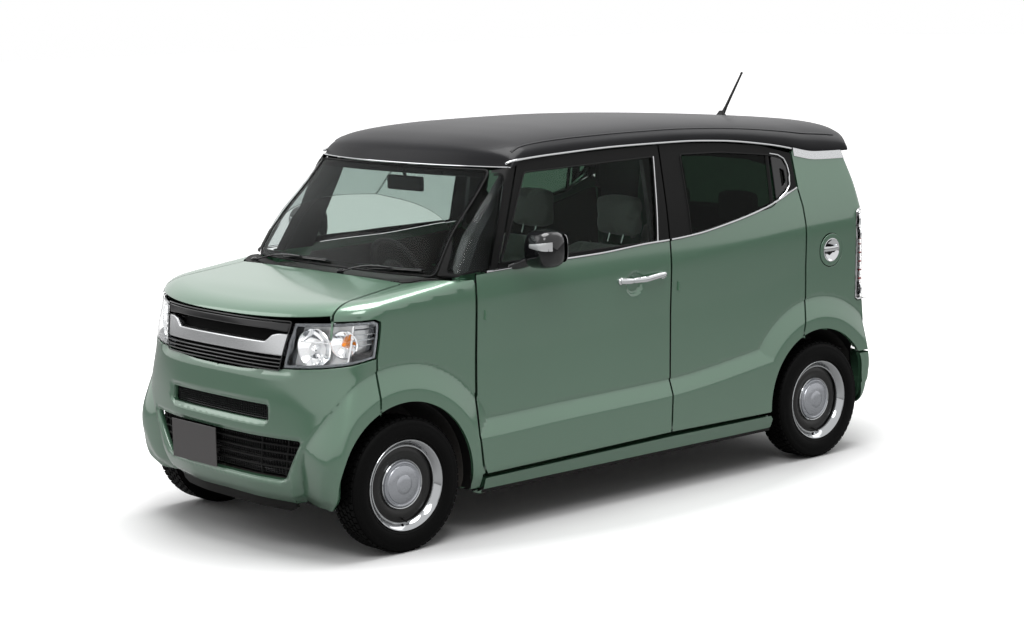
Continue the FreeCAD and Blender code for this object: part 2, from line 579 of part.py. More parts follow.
node("side_skin_right", mirrored("side_skin_other", feature("side_skin_plain", skin_side)))
frame_left = node("side_frame_left", feature("side_frame", side_frame.cut(pocket)))
node("side_frame_right", mirrored("side_frame_other", frame_left))

# ---------------------------------------------------------------- floor, wheel wells and firewall
WELL_IN, REAR_WELL_IN = 395, 440
well_wall = size("well_wall")


def well(axle_y, x_in, y0, y1):
    """A wheel well: a rolled shell over the tyre with an inboard wall."""
    x_out = INNER_FACE - size("well_gap")
    shell = disc(x_in, x_out, axle_y, AXLE_HEIGHT, ARCH + 5 + well_wall)
    shell = shell.cut(disc(x_in + well_wall, x_out, axle_y, AXLE_HEIGHT, ARCH + 5))
    return shell.common(box(0, WIDE, y0, y1, FLOOR - 20, HEIGHT))


FIREWALL = FRONT_AXLE + 205
KICK_UP = REAR_AXLE - 320
FLOOR_EDGE = FRAME_OUT - 24
floor_half = fused(
    box(0, FLOOR_EDGE, FIREWALL + 20, KICK_UP, FLOOR, FLOOR + 22),
    box(0, FLOOR_EDGE, KICK_UP, KICK_UP + 20, FLOOR, FLOOR + 255),
    box(0, FLOOR_EDGE, KICK_UP, TAIL - 140, FLOOR + 235, FLOOR + 255),
    box(300, 360, KICK_UP, TAIL - 140, 380, FLOOR + 236))
clear_front = disc(WELL_IN + well_wall, WIDE, FRONT_AXLE, AXLE_HEIGHT, ARCH + 5)
clear_rear = disc(REAR_WELL_IN + well_wall, WIDE, REAR_AXLE, AXLE_HEIGHT, ARCH + 5)
floor_half = floor_half.cut(clear_front).cut(clear_rear)
rear_well = well(REAR_AXLE, REAR_WELL_IN, REAR_AXLE - 900, REAR_AXLE + 900)
bulkhead_half = fused(
    box(0, FLOOR_EDGE, FIREWALL, FIREWALL + 20, FLOOR, size("dash_height") - 40).cut(clear_front),
    box(300, 360, FRONT_AXLE - 300, FIREWALL, 300, 360),
    well(FRONT_AXLE, WELL_IN, FRONT_AXLE - 130, FRONT_AXLE + 900))

# strut towers over the front wheels, round the leaning kingpin line
KINGPIN_FOOT = V(size("kingpin_foot"), FRONT_AXLE, 190)
KINGPIN_TOP = V(size("kingpin_foot") - size("kingpin_lean"), FRONT_AXLE, size("strut_top"))
lean = (KINGPIN_TOP - KINGPIN_FOOT).normalize()
STRUT_R = size("strut_radius")
TOWER_BORE = STRUT_R + 30
tower_foot = KINGPIN_TOP - lean * 190
tower = rod(tower_foot, KINGPIN_TOP + lean * 14, TOWER_BORE + 14)
tower_void = rod(tower_foot - lean * 110, KINGPIN_TOP + lean * SLACK, TOWER_BORE)
tower = tower.cut(tower_void)
bulkhead_half = fused(bulkhead_half.cut(tower_void), tower)
# hood hinges: arms forward off the firewall to a pin on each side
HOOD_AXIS_Y, HOOD_AXIS_Z = HOOD_REAR - 25, plane_height(HOOD_REAR - 25) - 11
HOOD_HINGE_X = HALF - 245
hood_arm = fused(box(HOOD_HINGE_X - 8, HOOD_HINGE_X + 8, HOOD_AXIS_Y - 5, FIREWALL + 10, 990, 1004),
                 box(HOOD_HINGE_X - 8, HOOD_HINGE_X + 8, HOOD_AXIS_Y - 5, HOOD_AXIS_Y + 5, 990, HOOD_AXIS_Z),
                 disc(HOOD_HINGE_X - 18, HOOD_HINGE_X + 18, HOOD_AXIS_Y, HOOD_AXIS_Z, 5))
bulkhead_half = fused(bulkhead_half, hood_arm)


def within_sides(shape):
    """What of a left-hand floor piece lies inside the lower walls and clear of the side frame."""
    return shape.common(envelope(LOWER, WALL + SLACK, 100)).cut(side_frame).cut(skin_side)


floor_half = within_sides(floor_half)
bulkhead_half = within_sides(bulkhead_half).cut(floor_half)
rear_well = within_sides(rear_well).cut(floor_half).cut(bulkhead_half)
floor = fused(floor_half, floor_half.mirror(V(0, 0, 0), X_AXIS))
bulkhead = fused(bulkhead_half, bulkhead_half.mirror(V(0, 0, 0), X_AXIS))
rear_wells = both_sides(rear_well)
node("floor_pan", feature("floor_shell", floor))
node("front_bulkhead", feature("bulkhead_shell", bulkhead))
node("rear_wheel_wells", feature("rear_well_pair", rear_wells))
hood_pocket = box(HOOD_HINGE_X - 22, HOOD_HINGE_X + 22, HOOD_AXIS_Y - 9, HOOD_REAR + 9,
                  HOOD_AXIS_Z - 60, HOOD_AXIS_Z + 5 + SLACK)
hood_panel = hood_plate.cut(hood_pocket).cut(hood_pocket.mirror(V(0, 0, 0), X_AXIS))
node("hood", feature("hood_panel", hood_panel))

# ---------------------------------------------------------------- engine, tank, exhaust, axle carriers
engine = prim("Box", "engine_core", Length=560, Width=330, Height=470, x=-280,
              y="front_axle - 190", z=270)
node("engine_block", engine)
node("fuel_tank", prim("Box", "tank_body", Length=760, Width=560, Height="floor_height - 152",
                       x=-380, y="front_axle + 760", z=152))

ARM_Z = 176
arm = fused(rod(V(265, FRONT_AXLE - 20, ARM_Z + 10), V(KINGPIN_FOOT.x - 4, FRONT_AXLE, ARM_Z - 5), 14),
            rod(V(265, FRONT_AXLE + 190, ARM_Z + 14), V(KINGPIN_FOOT.x - 4, FRONT_AXLE, ARM_Z - 5), 14),
            Part.makeCylinder(20, 24, V(KINGPIN_FOOT.x, FRONT_AXLE, ARM_Z - 14)))
cradle = fused(box(-290, 290, FRONT_AXLE + 130, FRONT_AXLE + 204, 170, 250),
               box(-290, 290, FRONT_AXLE - 60, FRONT_AXLE + 10, 170, 230),
               box(-290, -240, FRONT_AXLE - 60, FRONT_AXLE + 204, 170, 250),
               box(240, 290, FRONT_AXLE - 60, FRONT_AXLE + 204, 170, 250),
               box(-40, 40, FRONT_AXLE - 30, FRONT_AXLE + 30, 220, 270 - size("running_gap")))
cradle_lugs = [box(x, x + 76, FRONT_AXLE + 130, FRONT_AXLE + 204, 220, 300) for x in (-360, 284)]
subframe = fused(cradle, arm, arm.mirror(V(0, 0, 0), X_AXIS), *cradle_lugs)
node("front_subframe", feature("subframe_shell", subframe.cut(floor).cut(bulkhead)))

# the rear axle: a beam on two trailing arms, stub axles at its ends and springs up to the floor
HUB_FACE = size("wheel_centre") - 62
beam_half = fused(
    rod(V(0, REAR_AXLE - 150, AXLE_HEIGHT + 10), V(500, REAR_AXLE - 150, AXLE_HEIGHT + 10), 30),
    box(480, 530, REAR_AXLE - 310, REAR_AXLE + 50, AXLE_HEIGHT - 32, AXLE_HEIGHT + 38),
    disc(500, HUB_FACE - size("running_gap"), REAR_AXLE, AXLE_HEIGHT, 34),
    rod(V(400, REAR_AXLE - 60, 330), V(400, REAR_AXLE - 60, FLOOR + 235), 45),
    box(370, 482, REAR_AXLE - 100, REAR_AXLE - 20, AXLE_HEIGHT - 8, AXLE_HEIGHT + 52),
    rod(V(500, REAR_AXLE + 20, AXLE_HEIGHT), V(478, REAR_AXLE - 30, FLOOR + 290), 22))
beam = fused(beam_half, beam_half.mirror(V(0, 0, 0), X_AXIS)).cut(floor).cut(rear_wells)
node("rear_axle_beam", feature("beam_shell", beam))

muffler = prim("Box", "muffler_body", Length=420, Width=170, Height=130, x=-210,
               y="tail - 330", z=240)
tail_pipe = prim("Cylinder", "tail_pipe", turn=(X_AXIS, -90), Radius=24, Height=190,
                 x=-180, y="tail - 300", z=262)
hanger = prim("Box", "exhaust_hanger", Length=60, Width=40, Height="floor_height - 134", x=-30,
              y="tail - 260", z=369)
node("exhaust", group("MultiFuse", "exhaust_line", muffler, tail_pipe, hanger))

# ---------------------------------------------------------------- wheels and steering knuckles
RIM_R, RIM_W = size("bead_radius"), size("rim_width")


def ring_section(points):
    """A closed (x, radius) outline spun about the X axis through the origin."""
    face = Part.Face(Part.makePolygon([V(x, 0, r) for x, r in points + points[:1]]))
    return face.revolve(V(0, 0, 0), X_AXIS, 360)


TYRE_R, TYRE_W = size("tyre_radius"), size("tyre_width")
tread = TYRE_W / 2 - 16
tyre_outline = [
    (-RIM_W / 2 + 6.2, RIM_R + 0.2), (-RIM_W / 2 + 6.2, RIM_R + 13),
    (-TYRE_W / 2 + 5, RIM_R + 24), (-TYRE_W / 2, (TYRE_R + RIM_R) / 2 - 4),
    (-TYRE_W / 2 + 4, TYRE_R - 26), (-tread, TYRE_R - 6), (-tread + 14, TYRE_R),
]
tyre_outline += [(-x, r) for x, r in reversed(tyre_outline)]
tyre_shape = ring_section(tyre_outline)

wall_t = size("rim_wall")
dish = size("dish_depth")
face_x = 38
rim_outline = [
    (-RIM_W / 2, RIM_R), (-RIM_W / 2, RIM_R + 12), (-RIM_W / 2 + 6, RIM_R + 12),
    (-RIM_W / 2 + 6, RIM_R), (RIM_W / 2 - 6, RIM_R), (RIM_W / 2 - 6, RIM_R + 12),
    (RIM_W / 2, RIM_R + 12), (RIM_W / 2, RIM_R - wall_t), (face_x, RIM_R - wall_t - 14),
    (face_x - dish, 128), (face_x - dish + 20, 100), (face_x - dish + 20, 0),
    (face_x - dish - 8 + 12, 0), (face_x - dish - 8 + 12, 100), (face_x - dish - 8, 122),
    (face_x - 10, RIM_R - wall_t - 18), (face_x - 24, RIM_R - wall_t),
    (-RIM_W / 2, RIM_R - wall_t),
]
rim_shape = ring_section(rim_outline)
cap = Part.makeSphere(150, V(-90, 0, 0)).common(disc(24, 200, 0, 0, 78))
rim_shape = fused(rim_shape, cap)
HUB_X = face_x - dish + 4
hub = fused(disc(-62, HUB_X, 0, 0, 40), disc(HUB_X - 12, HUB_X, 0, 0, size("hub_flange_radius")))
rim_shape = fused(rim_shape, hub)

WHEELS = {
    "front_left": (1, FRONT_AXLE), "front_right": (-1, FRONT_AXLE),
    "rear_left": (1, REAR_AXLE), "rear_right": (-1, REAR_AXLE),
}
for corner, (side_sign, axle_y) in WHEELS.items():
    for piece, shape in (("tyre", tyre_shape), ("rim", rim_shape)):
        placed = shape.copy() if side_sign > 0 else shape.mirror(V(0, 0, 0), X_AXIS)
        wheel = feature(f"{corner}_{piece}_body", placed)
        axle = "front_axle" if axle_y == FRONT_AXLE else "rear_axle"
        bind(wheel, x=f"{side_sign} * wheel_centre", y=axle, z="tyre_radius")
        node(f"{corner}_{piece}", wheel)

SPINDLE = size("wheel_centre") - 62 - size("running_gap")
strut_foot = V(KINGPIN_TOP.x + 4, FRONT_AXLE, 320)
knuckle = fused(
    rod(strut_foot, V(KINGPIN_TOP.x, FRONT_AXLE, size("strut_top") - 20), STRUT_R),
    rod(KINGPIN_TOP - lean * 60, KINGPIN_TOP, 9),
    box(strut_foot.x - 20, KINGPIN_FOOT.x - 40, FRONT_AXLE - 22, FRONT_AXLE + 22, 300, 350),
    box(KINGPIN_FOOT.x - 62, SPINDLE - 2, FRONT_AXLE - 40, FRONT_AXLE + 40, 214, 350),
    disc(SPINDLE - 30, SPINDLE, FRONT_AXLE, AXLE_HEIGHT, 44),
    rod(KINGPIN_FOOT - lean * 1.8, KINGPIN_FOOT + lean * 34, 10),
    box(KINGPIN_FOOT.x - 40, KINGPIN_FOOT.x + 12, FRONT_AXLE - 24, FRONT_AXLE + 24, 206, 222))
left = node("knuckle_left", feature("knuckle_body", knuckle))
node("knuckle_right", mirrored("knuckle_other", left))

# ---------------------------------------------------------------- cabin
DASH_REAR = FIREWALL + 20 + size("dash_depth")
CABIN_W = FRAME_OUT - 24 - 8
dash = box(-CABIN_W, CABIN_W, FIREWALL + 20, DASH_REAR, 640, size("dash_height"))
dash = dash.makeChamfer(60, [e for e in dash.Edges if abs(e.CenterOfMass.y - DASH_REAR) < 1
                             and abs(e.tangentAt(0).x) > 0.9])
DRIVER_X = -size("driver_offset")
WHEEL_HUB = V(DRIVER_X, FRONT_AXLE + 825, 985)
COLUMN = V(0, -math.cos(math.radians(28)), -math.sin(math.radians(28)))
column = rod(WHEEL_HUB + COLUMN * 70, WHEEL_HUB + COLUMN * 340, 34)
dash = fused(dash, column)
dash = dash.cut(rod(WHEEL_HUB - COLUMN * 60, WHEEL_HUB + COLUMN * 64, 300))
node("dashboard", feature("dash_body", dash.cut(floor).cut(bulkhead).cut(hull_wall)))

rim_ring = Part.makeTorus(size("wheel_rim_radius"), size("wheel_rim_section"), WHEEL_HUB, COLUMN)
wheel_hub = rod(WHEEL_HUB - COLUMN * 12, WHEEL_HUB + COLUMN * (70 - size("running_gap")), 42)
across = COLUMN.cross(X_AXIS)
spokes = [rod(WHEEL_HUB, WHEEL_HUB + ray * (size("wheel_rim_radius") - 4), 12)
          for ray in (X_AXIS, -X_AXIS, across if across.z < 0 else -across)]
node("steering_wheel", feature("steering_rim", fused(rim_ring, wheel_hub, *spokes)))


def seat(y_front, half_wide, cushion_low, top, heads, plinths):
    """A bench: cushion, leaning back rest, head rests and plinths (y0, y1, floor) under it."""
    back_y, cushion_high = y_front + 480, cushion_low + 150
    pad = box(-half_wide, half_wide, y_front, back_y, cushion_low, cushion_high)
    pad = pad.makeFillet(45, [e for e in pad.Edges if abs(e.tangentAt(0).x) > 0.9])
    lean_back = 0.22 * (top - cushion_high)
    back = Part.Face(Part.makePolygon([
        V(-half_wide, y, z) for y, z in ((back_y - 60, cushion_high - 60), (back_y + 80, cushion_low - 20),
                                         (back_y + 80 + lean_back, top), (back_y - 10 + lean_back, top),
                                         (back_y - 60, cushion_high - 60))]))
    shapes = [pad, back.extrude(V(2 * half_wide, 0, 0))]
    shapes += [box(40 - half_wide, half_wide - 40, y0, y1, z + SLACK, cushion_low + 10)
               for y0, y1, z in plinths]
    head_y = back_y + lean_back + 10
    for x in heads:
        head = box(x - 130, x + 130, head_y, head_y + 90, top + 40, top + 205)
        shapes.append(head.makeFillet(30, [e for e in head.Edges if abs(e.tangentAt(0).y) > 0.9]))
        shapes += [Part.makeCylinder(7, 130, V(x + dx, head_y + 45, top - 60)) for dx in (-60, 60)]
    return fused(*shapes)


FRONT_SEAT_Y, REAR_SEAT_Y = FRONT_AXLE + 990, KICK_UP - 230
node("front_seat", feature("front_bench", seat(
    FRONT_SEAT_Y, size("seat_width"), 490, 1125, (-300, 300),
    [(FRONT_SEAT_Y + 60, FRONT_SEAT_Y + 440, FLOOR + 22)])))
node("rear_seat", feature("rear_bench", seat(
    REAR_SEAT_Y, REAR_WELL_IN - 12, 540, 1110, (-230, 230),
    [(REAR_SEAT_Y + 60, KICK_UP - 12, FLOOR + 22), (KICK_UP - 20, REAR_SEAT_Y + 470, FLOOR + 255)])))

# ---------------------------------------------------------------- small outside pieces
PLATE_X = -150
plate = box(PLATE_X - 165, PLATE_X + 165, NOSE, NOSE + 10, 320, 485)
stay_stations = (PLATE_X - 100, PLATE_X + 100)
plate_stay = fused(*[box(x - 12, x + 12, NOSE + 6, NOSE + 66, 370, 400) for x in stay_stations])
number_plate = fused(plate, plate_stay).cut(grid).cut(bumper)
node("number_plate", feature("plate_body", number_plate))
mast = rod(V(0, REAR_AXLE + 96, HEIGHT - 40), V(0, REAR_AXLE + 252, HEIGHT + 150), 3)
boss = Part.makeCone(28, 12, 70, V(0, REAR_AXLE + 92, HEIGHT - 92))
SCREEN_FOOT = NOSE + 612
wiper_z = BELT + 14
wiper_set = []
for pivot_x, tip_x, root_x in ((500, 20, 470), (-20, -480, -60)):
    def glass_y(x):
        """The windscreen's face just above the cowl, at a distance from the middle."""
        return SCREEN_FOOT + 0.651 * (wiper_z - BELT + 45) + 50 * (x / (HALF - 147)) ** 2
    ends = [V(x, glass_y(x) - 27, wiper_z) for x in (tip_x, root_x)]
    blade = rod(ends[0], ends[1], 6)
    pivot = V(pivot_x, glass_y(pivot_x) - 42, BELT - 30)
    wiper_set += [fused(blade, rod(pivot, pivot + V(0, 0, 42), 12),
                        rod(pivot + V(0, 0, 34), (ends[0] + ends[1]) * 0.5, 5)).cut(hull).cut(cabin)]
node("wipers", feature("wiper_pair", Part.makeCompound(wiper_set)))
antenna_shape = fused(mast, boss).cut(roof_solid)
node("antenna", feature("antenna_mast", antenna_shape))


# ---------------------------------------------------------------- check and write
doc.recompute()
faults = [obj.Label for obj in doc.Objects if {"Invalid", "Error"} & set(obj.State)]
faults += [name for name, obj in NODES.items() if obj.Shape.isNull() or not obj.Shape.isValid()]
if faults:
    raise RuntimeError("failed pieces: " + ", ".join(faults))
os.makedirs("parts", exist_ok=True)
for name, obj in NODES.items():
    obj.Shape.exportStep(f"parts/{name}.step")
print(len(NODES), "pieces written")
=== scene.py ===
"""Kei car: the looks of a tall five-door wagon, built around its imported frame.

Lengths inside this file are millimetres in the car's frame: +X to its left, +Y rearward, +Z up,
from the ground under the middle of the body. Meshes are written in metres.
"""
import logging
import math
from dataclasses import dataclass, field
from enum import Enum
from typing import Callable, Iterable, Optional, Sequence

import bmesh
import bpy
import numpy as np
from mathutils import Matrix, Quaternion, Vector
from mathutils.geometry import delaunay_2d_cdt


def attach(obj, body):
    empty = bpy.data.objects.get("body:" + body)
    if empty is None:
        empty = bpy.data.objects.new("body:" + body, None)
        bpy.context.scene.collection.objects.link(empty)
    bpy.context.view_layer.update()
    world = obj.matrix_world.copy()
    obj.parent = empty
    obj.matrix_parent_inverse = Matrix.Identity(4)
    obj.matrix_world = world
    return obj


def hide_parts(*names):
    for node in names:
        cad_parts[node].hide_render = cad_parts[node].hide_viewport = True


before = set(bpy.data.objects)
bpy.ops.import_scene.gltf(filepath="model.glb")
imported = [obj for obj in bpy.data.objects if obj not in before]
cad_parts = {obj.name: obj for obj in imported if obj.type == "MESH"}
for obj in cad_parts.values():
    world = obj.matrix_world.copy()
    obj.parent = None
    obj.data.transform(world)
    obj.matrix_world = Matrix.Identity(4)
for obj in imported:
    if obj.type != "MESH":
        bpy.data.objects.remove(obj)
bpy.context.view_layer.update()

LOG = logging.getLogger("kei_car")
MM = 0.001
HALF, NOSE, TAIL = 737.5, -1697.5, 1697.5
FRONT_AXLE, REAR_AXLE, AXLE_HEIGHT = -1249.5, 1270.5, 278.5
TRACK = 652.5
SEAM = 2.2
SHARP = math.radians(32)
Array = np.ndarray
Surface = Callable[[Array], Array]


class Side(Enum):
    """The car's two sides, valued by the sign of X."""

    LEFT = 1
    RIGHT = -1

    @property
    def word(self) -> str:
        """The side's name as it stands in node and body names."""
        return self.name.lower()


# ------------------------------------------------------------------ numeric helpers
def pchip(xs: Sequence[float], ys: Sequence[float]) -> Callable[[Array], Array]:
    """A monotone cubic curve through points, held flat past its ends.

    Args:
        xs: increasing abscissae.
        ys: the values there.

    Returns:
        A function of an array.
    """
    x, y = np.asarray(xs, float), np.asarray(ys, float)
    h, d = np.diff(x), np.diff(y) / np.diff(x)
    m = np.zeros_like(y)
    for i in range(1, len(x) - 1):
        if d[i - 1] * d[i] > 0:
            w1, w2 = 2 * h[i] + h[i - 1], h[i] + 2 * h[i - 1]
            m[i] = (w1 + w2) / (w1 / d[i - 1] + w2 / d[i])
    m[0], m[-1] = d[0], d[-1]

    def curve(q: Array) -> Array:
        """The curve's value."""
        q = np.clip(np.asarray(q, float), x[0], x[-1])
        i = np.clip(np.searchsorted(x, q, side="right") - 1, 0, len(x) - 2)
        t = (q - x[i]) / h[i]
        a, b = (1 + 2 * t) * (1 - t) ** 2, t * (1 - t) ** 2
        c, d1 = t * t * (3 - 2 * t), t * t * (t - 1)
        return a * y[i] + b * h[i] * m[i] + c * y[i + 1] + d1 * h[i] * m[i + 1]

    return curve


def ramp(value: Array, width: float) -> Array:
    """Zero below nought and the value above it, rounded over a width."""
    return 0.5 * (value + np.sqrt(value * value + width * width))


def smooth(edge0: float, edge1: float, value: Array) -> Array:
    """A smooth step from nought at one edge to one at the other."""
    t = np.clip((np.asarray(value, float) - edge0) / (edge1 - edge0), 0, 1)
    return t * t * (3 - 2 * t)


def soft_max(a: Array, b: Array, width: float) -> Array:
    """The larger of two values, rounded where they cross."""
    return b + ramp(a - b, width)


def resample(points: Iterable[Sequence[float]], step: float, closed: bool = True) -> Array:
    """A polyline with extra points, no further apart than a step.

    Args:
        points: its corners.
        step: the longest run left.
        closed: whether the last corner joins the first.

    Returns:
        The points, corners among them.
    """
    p = np.asarray(list(points), float)
    ends = np.roll(p, -1, axis=0) if closed else p[1:]
    out = []
    for a, b in zip(p, ends):
        n = max(1, int(math.ceil(np.linalg.norm(b - a) / step)))
        out.append(a + (b - a) * (np.arange(n) / n)[:, None])
    if not closed:
        out.append(p[-1:])
    return np.concatenate(out)


def rounded(points: Sequence[Sequence[float]], radius: float, arc: int = 5) -> Array:
    """A closed outline with its corners rounded.

    Args:
        points: the corners.
        radius: how far from a corner the rounding starts, at most.
        arc: points on each rounding.

    Returns:
        The outline's points.
    """
    p = np.asarray(points, float)
    out = []
    for i in range(len(p)):
        a, b, c = p[i - 1], p[i], p[(i + 1) % len(p)]
        la, lc = np.linalg.norm(a - b), np.linalg.norm(c - b)
        r = min(radius, 0.45 * la, 0.45 * lc)
        start, end = b + (a - b) * r / la, b + (c - b) * r / lc
        for t in np.linspace(0, 1, arc):
            out.append((1 - t) ** 2 * start + 2 * t * (1 - t) * b + t * t * end)
    return np.array(out)


def area_of(p: Array) -> float:
    """Signed area of a closed outline."""
    q = np.roll(p, -1, axis=0)
    return 0.5 * float(np.sum(p[:, 0] * q[:, 1] - q[:, 0] * p[:, 1]))


def offset_outline(p: Array, distance: float) -> Array:
    """A closed outline moved outward by a distance, or inward by a negative one."""
    prev, after = p - np.roll(p, 1, axis=0), np.roll(p, -1, axis=0) - p
    n1 = np.stack([prev[:, 1], -prev[:, 0]], 1)
    n2 = np.stack([after[:, 1], -after[:, 0]], 1)
    n1 /= np.linalg.norm(n1, axis=1)[:, None] + 1e-9
    n2 /= np.linalg.norm(n2, axis=1)[:, None] + 1e-9
    n = n1 + n2
    n /= np.maximum(np.linalg.norm(n, axis=1)[:, None], 1e-6)
    scale = 1 / np.maximum(np.sum(n * n2, axis=1), 0.35)
    return p + n * (distance * scale * math.copysign(1, area_of(p)))[:, None]


def inside(p: Array, polygon: Array) -> Array:
    """Whether each point lies inside a closed outline."""
    x, y = p[:, 0], p[:, 1]
    hit = np.zeros(len(p), bool)
    for (x0, y0), (x1, y1) in zip(polygon, np.roll(polygon, -1, axis=0)):
        if y0 == y1:
            continue
        cross = ((y0 > y) != (y1 > y)) & (x < (x1 - x0) * (y - y0) / (y1 - y0) + x0)
        hit ^= cross
    return hit


def away_from(p: Array, line: Array, distance: float, closed: bool = True) -> Array:
    """Whether each point keeps a distance from a polyline."""
    keep = np.ones(len(p), bool)
    ends = np.roll(line, -1, axis=0) if closed else line[1:]
    for a, b in zip(line, ends):
        near = np.flatnonzero(
            keep & (np.abs(p - (a + b) / 2).max(axis=1) < distance + np.abs(b - a).max()))
        if not len(near):
            continue
        run = b - a
        t = np.clip((p[near] - a) @ run / max(float(run @ run), 1e-9), 0, 1)
        gap = np.linalg.norm(p[near] - (a + t[:, None] * run), axis=1)
        keep[near[gap < distance]] = False
    return keep


# ------------------------------------------------------------------ mesh helpers
def new_object(name: str, verts: Array, faces: Sequence[Sequence[int]],
               normals: Optional[Array] = None, smooth_faces: bool = True,
               slots: Optional[Array] = None) -> bpy.types.Object:
    """A mesh object from millimetre points.

    Args:
        name: the piece's name.
        verts: its points.
        faces: its faces, by point.
        normals: shading normals by corner of a face, zero where Blender works them out.
        smooth_faces: whether faces are shaded smooth.
        slots: material index of each face.

    Returns:
        The object, at the origin.
    """
    mesh = bpy.data.meshes.new(name)
    mesh.from_pydata((np.asarray(verts) * MM).tolist(), [], [list(map(int, f)) for f in faces])
    mesh.update()
    mesh.polygons.foreach_set("use_smooth", [smooth_faces] * len(mesh.polygons))
    if slots is not None:
        mesh.polygons.foreach_set("material_index", np.asarray(slots, np.int32))
    if smooth_faces:
        mesh.set_sharp_from_angle(angle=SHARP)
    if normals is not None:
        mesh.normals_split_custom_set(normals.tolist())
    obj = bpy.data.objects.new(name, mesh)
    bpy.context.scene.collection.objects.link(obj)
    return obj


def drop_repeats(mesh: bpy.types.Mesh) -> None:
    """Weld a mesh's doubled points and turn its faces outward."""
    work = bmesh.new()
    work.from_mesh(mesh)
    bmesh.ops.remove_doubles(work, verts=work.verts, dist=1e-5)
    bmesh.ops.recalc_face_normals(work, faces=work.faces)
    work.to_mesh(mesh)
    work.free()


@dataclass
class Soup:
    """Parts of a mesh gathered in one list of points and faces."""

    verts: list = field(default_factory=list)
    faces: list = field(default_factory=list)
    slots: list = field(default_factory=list)
    count: int = 0

    def add(self, verts: Array, faces: Iterable[Sequence[int]], slot: int = 0) -> "Soup":
        """Add points and the faces between them, with a material index."""
        faces = [tuple(int(i) + self.count for i in f) for f in faces]
        self.verts.append(np.asarray(verts, float))
        self.faces += faces
        self.slots += [slot] * len(faces)
        self.count += len(verts)
        return self

    def grid(self, rows: Array, wrap_u: bool = False, wrap_v: bool = False, slot: int = 0) -> "Soup":
        """Add a net of points, rows by columns, optionally closed in either direction."""
        n, m = rows.shape[:2]
        faces = []
        for i in range(n if wrap_u else n - 1):
            for j in range(m if wrap_v else m - 1):
                a, b = (i + 1) % n, (j + 1) % m
                faces.append((i * m + j, a * m + j, a * m + b, i * m + b))
        return self.add(rows.reshape(-1, 3), faces, slot)

    def box(self, low: Sequence[float], high: Sequence[float], bevel: float = 1.5,
            slot: int = 0, middle: Optional[Callable[[Array], Array]] = None) -> "Soup":
        """Add a box with chamfered edges, optionally bent by a function of its points."""
        lo, hi = np.asarray(low, float), np.asarray(high, float)
        centre, half = (lo + hi) / 2, (hi - lo) / 2
        b = min(bevel, 0.45 * float(half.min()))
        points, index = [], {}
        for sx in (-1, 1):
            for sy in (-1, 1):
                for sz in (-1, 1):
                    for axis in range(3):
                        s = np.array([sx, sy, sz], float)
                        p = centre + s * (half - b)
                        p[axis] = centre[axis] + s[axis] * half[axis]
                        index[(sx, sy, sz, axis)] = len(points)
                        points.append(p)
        faces = []
        for axis in range(3):
            u, v = [(1, 2), (2, 0), (0, 1)][axis]
            for s in (-1, 1):
                ring = []
                for su, sv in ((-1, -1), (1, -1), (1, 1), (-1, 1)):
                    key = [0, 0, 0]
                    key[axis], key[u], key[v] = s, su, sv
                    ring.append(index[(*key, axis)])
                faces.append(ring if s > 0 else ring[::-1])
            for su in (-1, 1):
                for sv in (-1, 1):
                    ring = []
                    for sa, face_axis in ((-1, u), (1, u), (1, v), (-1, v)):
                        key = [0, 0, 0]
                        key[axis], key[u], key[v] = sa, su, sv
                        ring.append(index[(*key, face_axis)])
                    faces.append(ring if su * sv < 0 else ring[::-1])
        for sx in (-1, 1):
            for sy in (-1, 1):
                for sz in (-1, 1):
                    ring = [index[(sx, sy, sz, a)] for a in range(3)]
                    faces.append(ring if sx * sy * sz > 0 else ring[::-1])
        points = np.array(points)
        return self.add(points if middle is None else middle(points), faces, slot)

    def tube(self, path: Array, radius: float, sides: int = 10, closed: bool = False,
             flat: float = 1.0, up: Sequence[float] = (0, 0, 1), slot: int = 0) -> "Soup":
        """Add a tube along a path, its section flattened along a given direction."""
        path = np.asarray(path, float)
        n = len(path)
        run = np.gradient(path, axis=0) if not closed else np.roll(path, -1, 0) - np.roll(path, 1, 0)
        run /= np.linalg.norm(run, axis=1)[:, None] + 1e-9
        side = np.cross(run, np.asarray(up, float))
        side /= np.linalg.norm(side, axis=1)[:, None] + 1e-9
        rise = np.cross(side, run)
        a = np.linspace(0, 2 * math.pi, sides, endpoint=False)
        ring = (side[:, None] * np.cos(a)[None, :, None] + rise[:, None] * flat * np.sin(a)[None, :, None])
        rows = path[:, None] + ring * radius
        start = self.count
        self.grid(rows, wrap_u=closed, wrap_v=True, slot=slot)
        if not closed:
            base = start
            self.faces.append(tuple(base + i for i in range(sides)))
            self.faces.append(tuple(base + (n - 1) * sides + i for i in range(sides))[::-1])
            self.slots += [slot, slot]
        return self

    def lathe(self, outline: Sequence[Sequence[float]], centre: Sequence[float],
              axis: Sequence[float] = (1, 0, 0), sides: int = 64, slot: int = 0,
              closed: bool = False) -> "Soup":
        """Spin (along, radius) points about an axis through a centre."""
        axis = np.asarray(axis, float) / np.linalg.norm(axis)
        ref = np.array([0, 0, 1.0]) if abs(axis[2]) < 0.9 else np.array([0, 1.0, 0])
        u = np.cross(ref, axis)
        u /= np.linalg.norm(u)
        v = np.cross(axis, u)
        a = np.linspace(0, 2 * math.pi, sides, endpoint=False)
        o = np.asarray(outline, float)
        rows = (np.asarray(centre, float) + o[:, 0][:, None, None] * axis
                + o[:, 1][:, None, None] * (np.cos(a)[None, :, None] * u + np.sin(a)[None, :, None] * v))
        return self.grid(rows, wrap_u=closed, wrap_v=True, slot=slot)

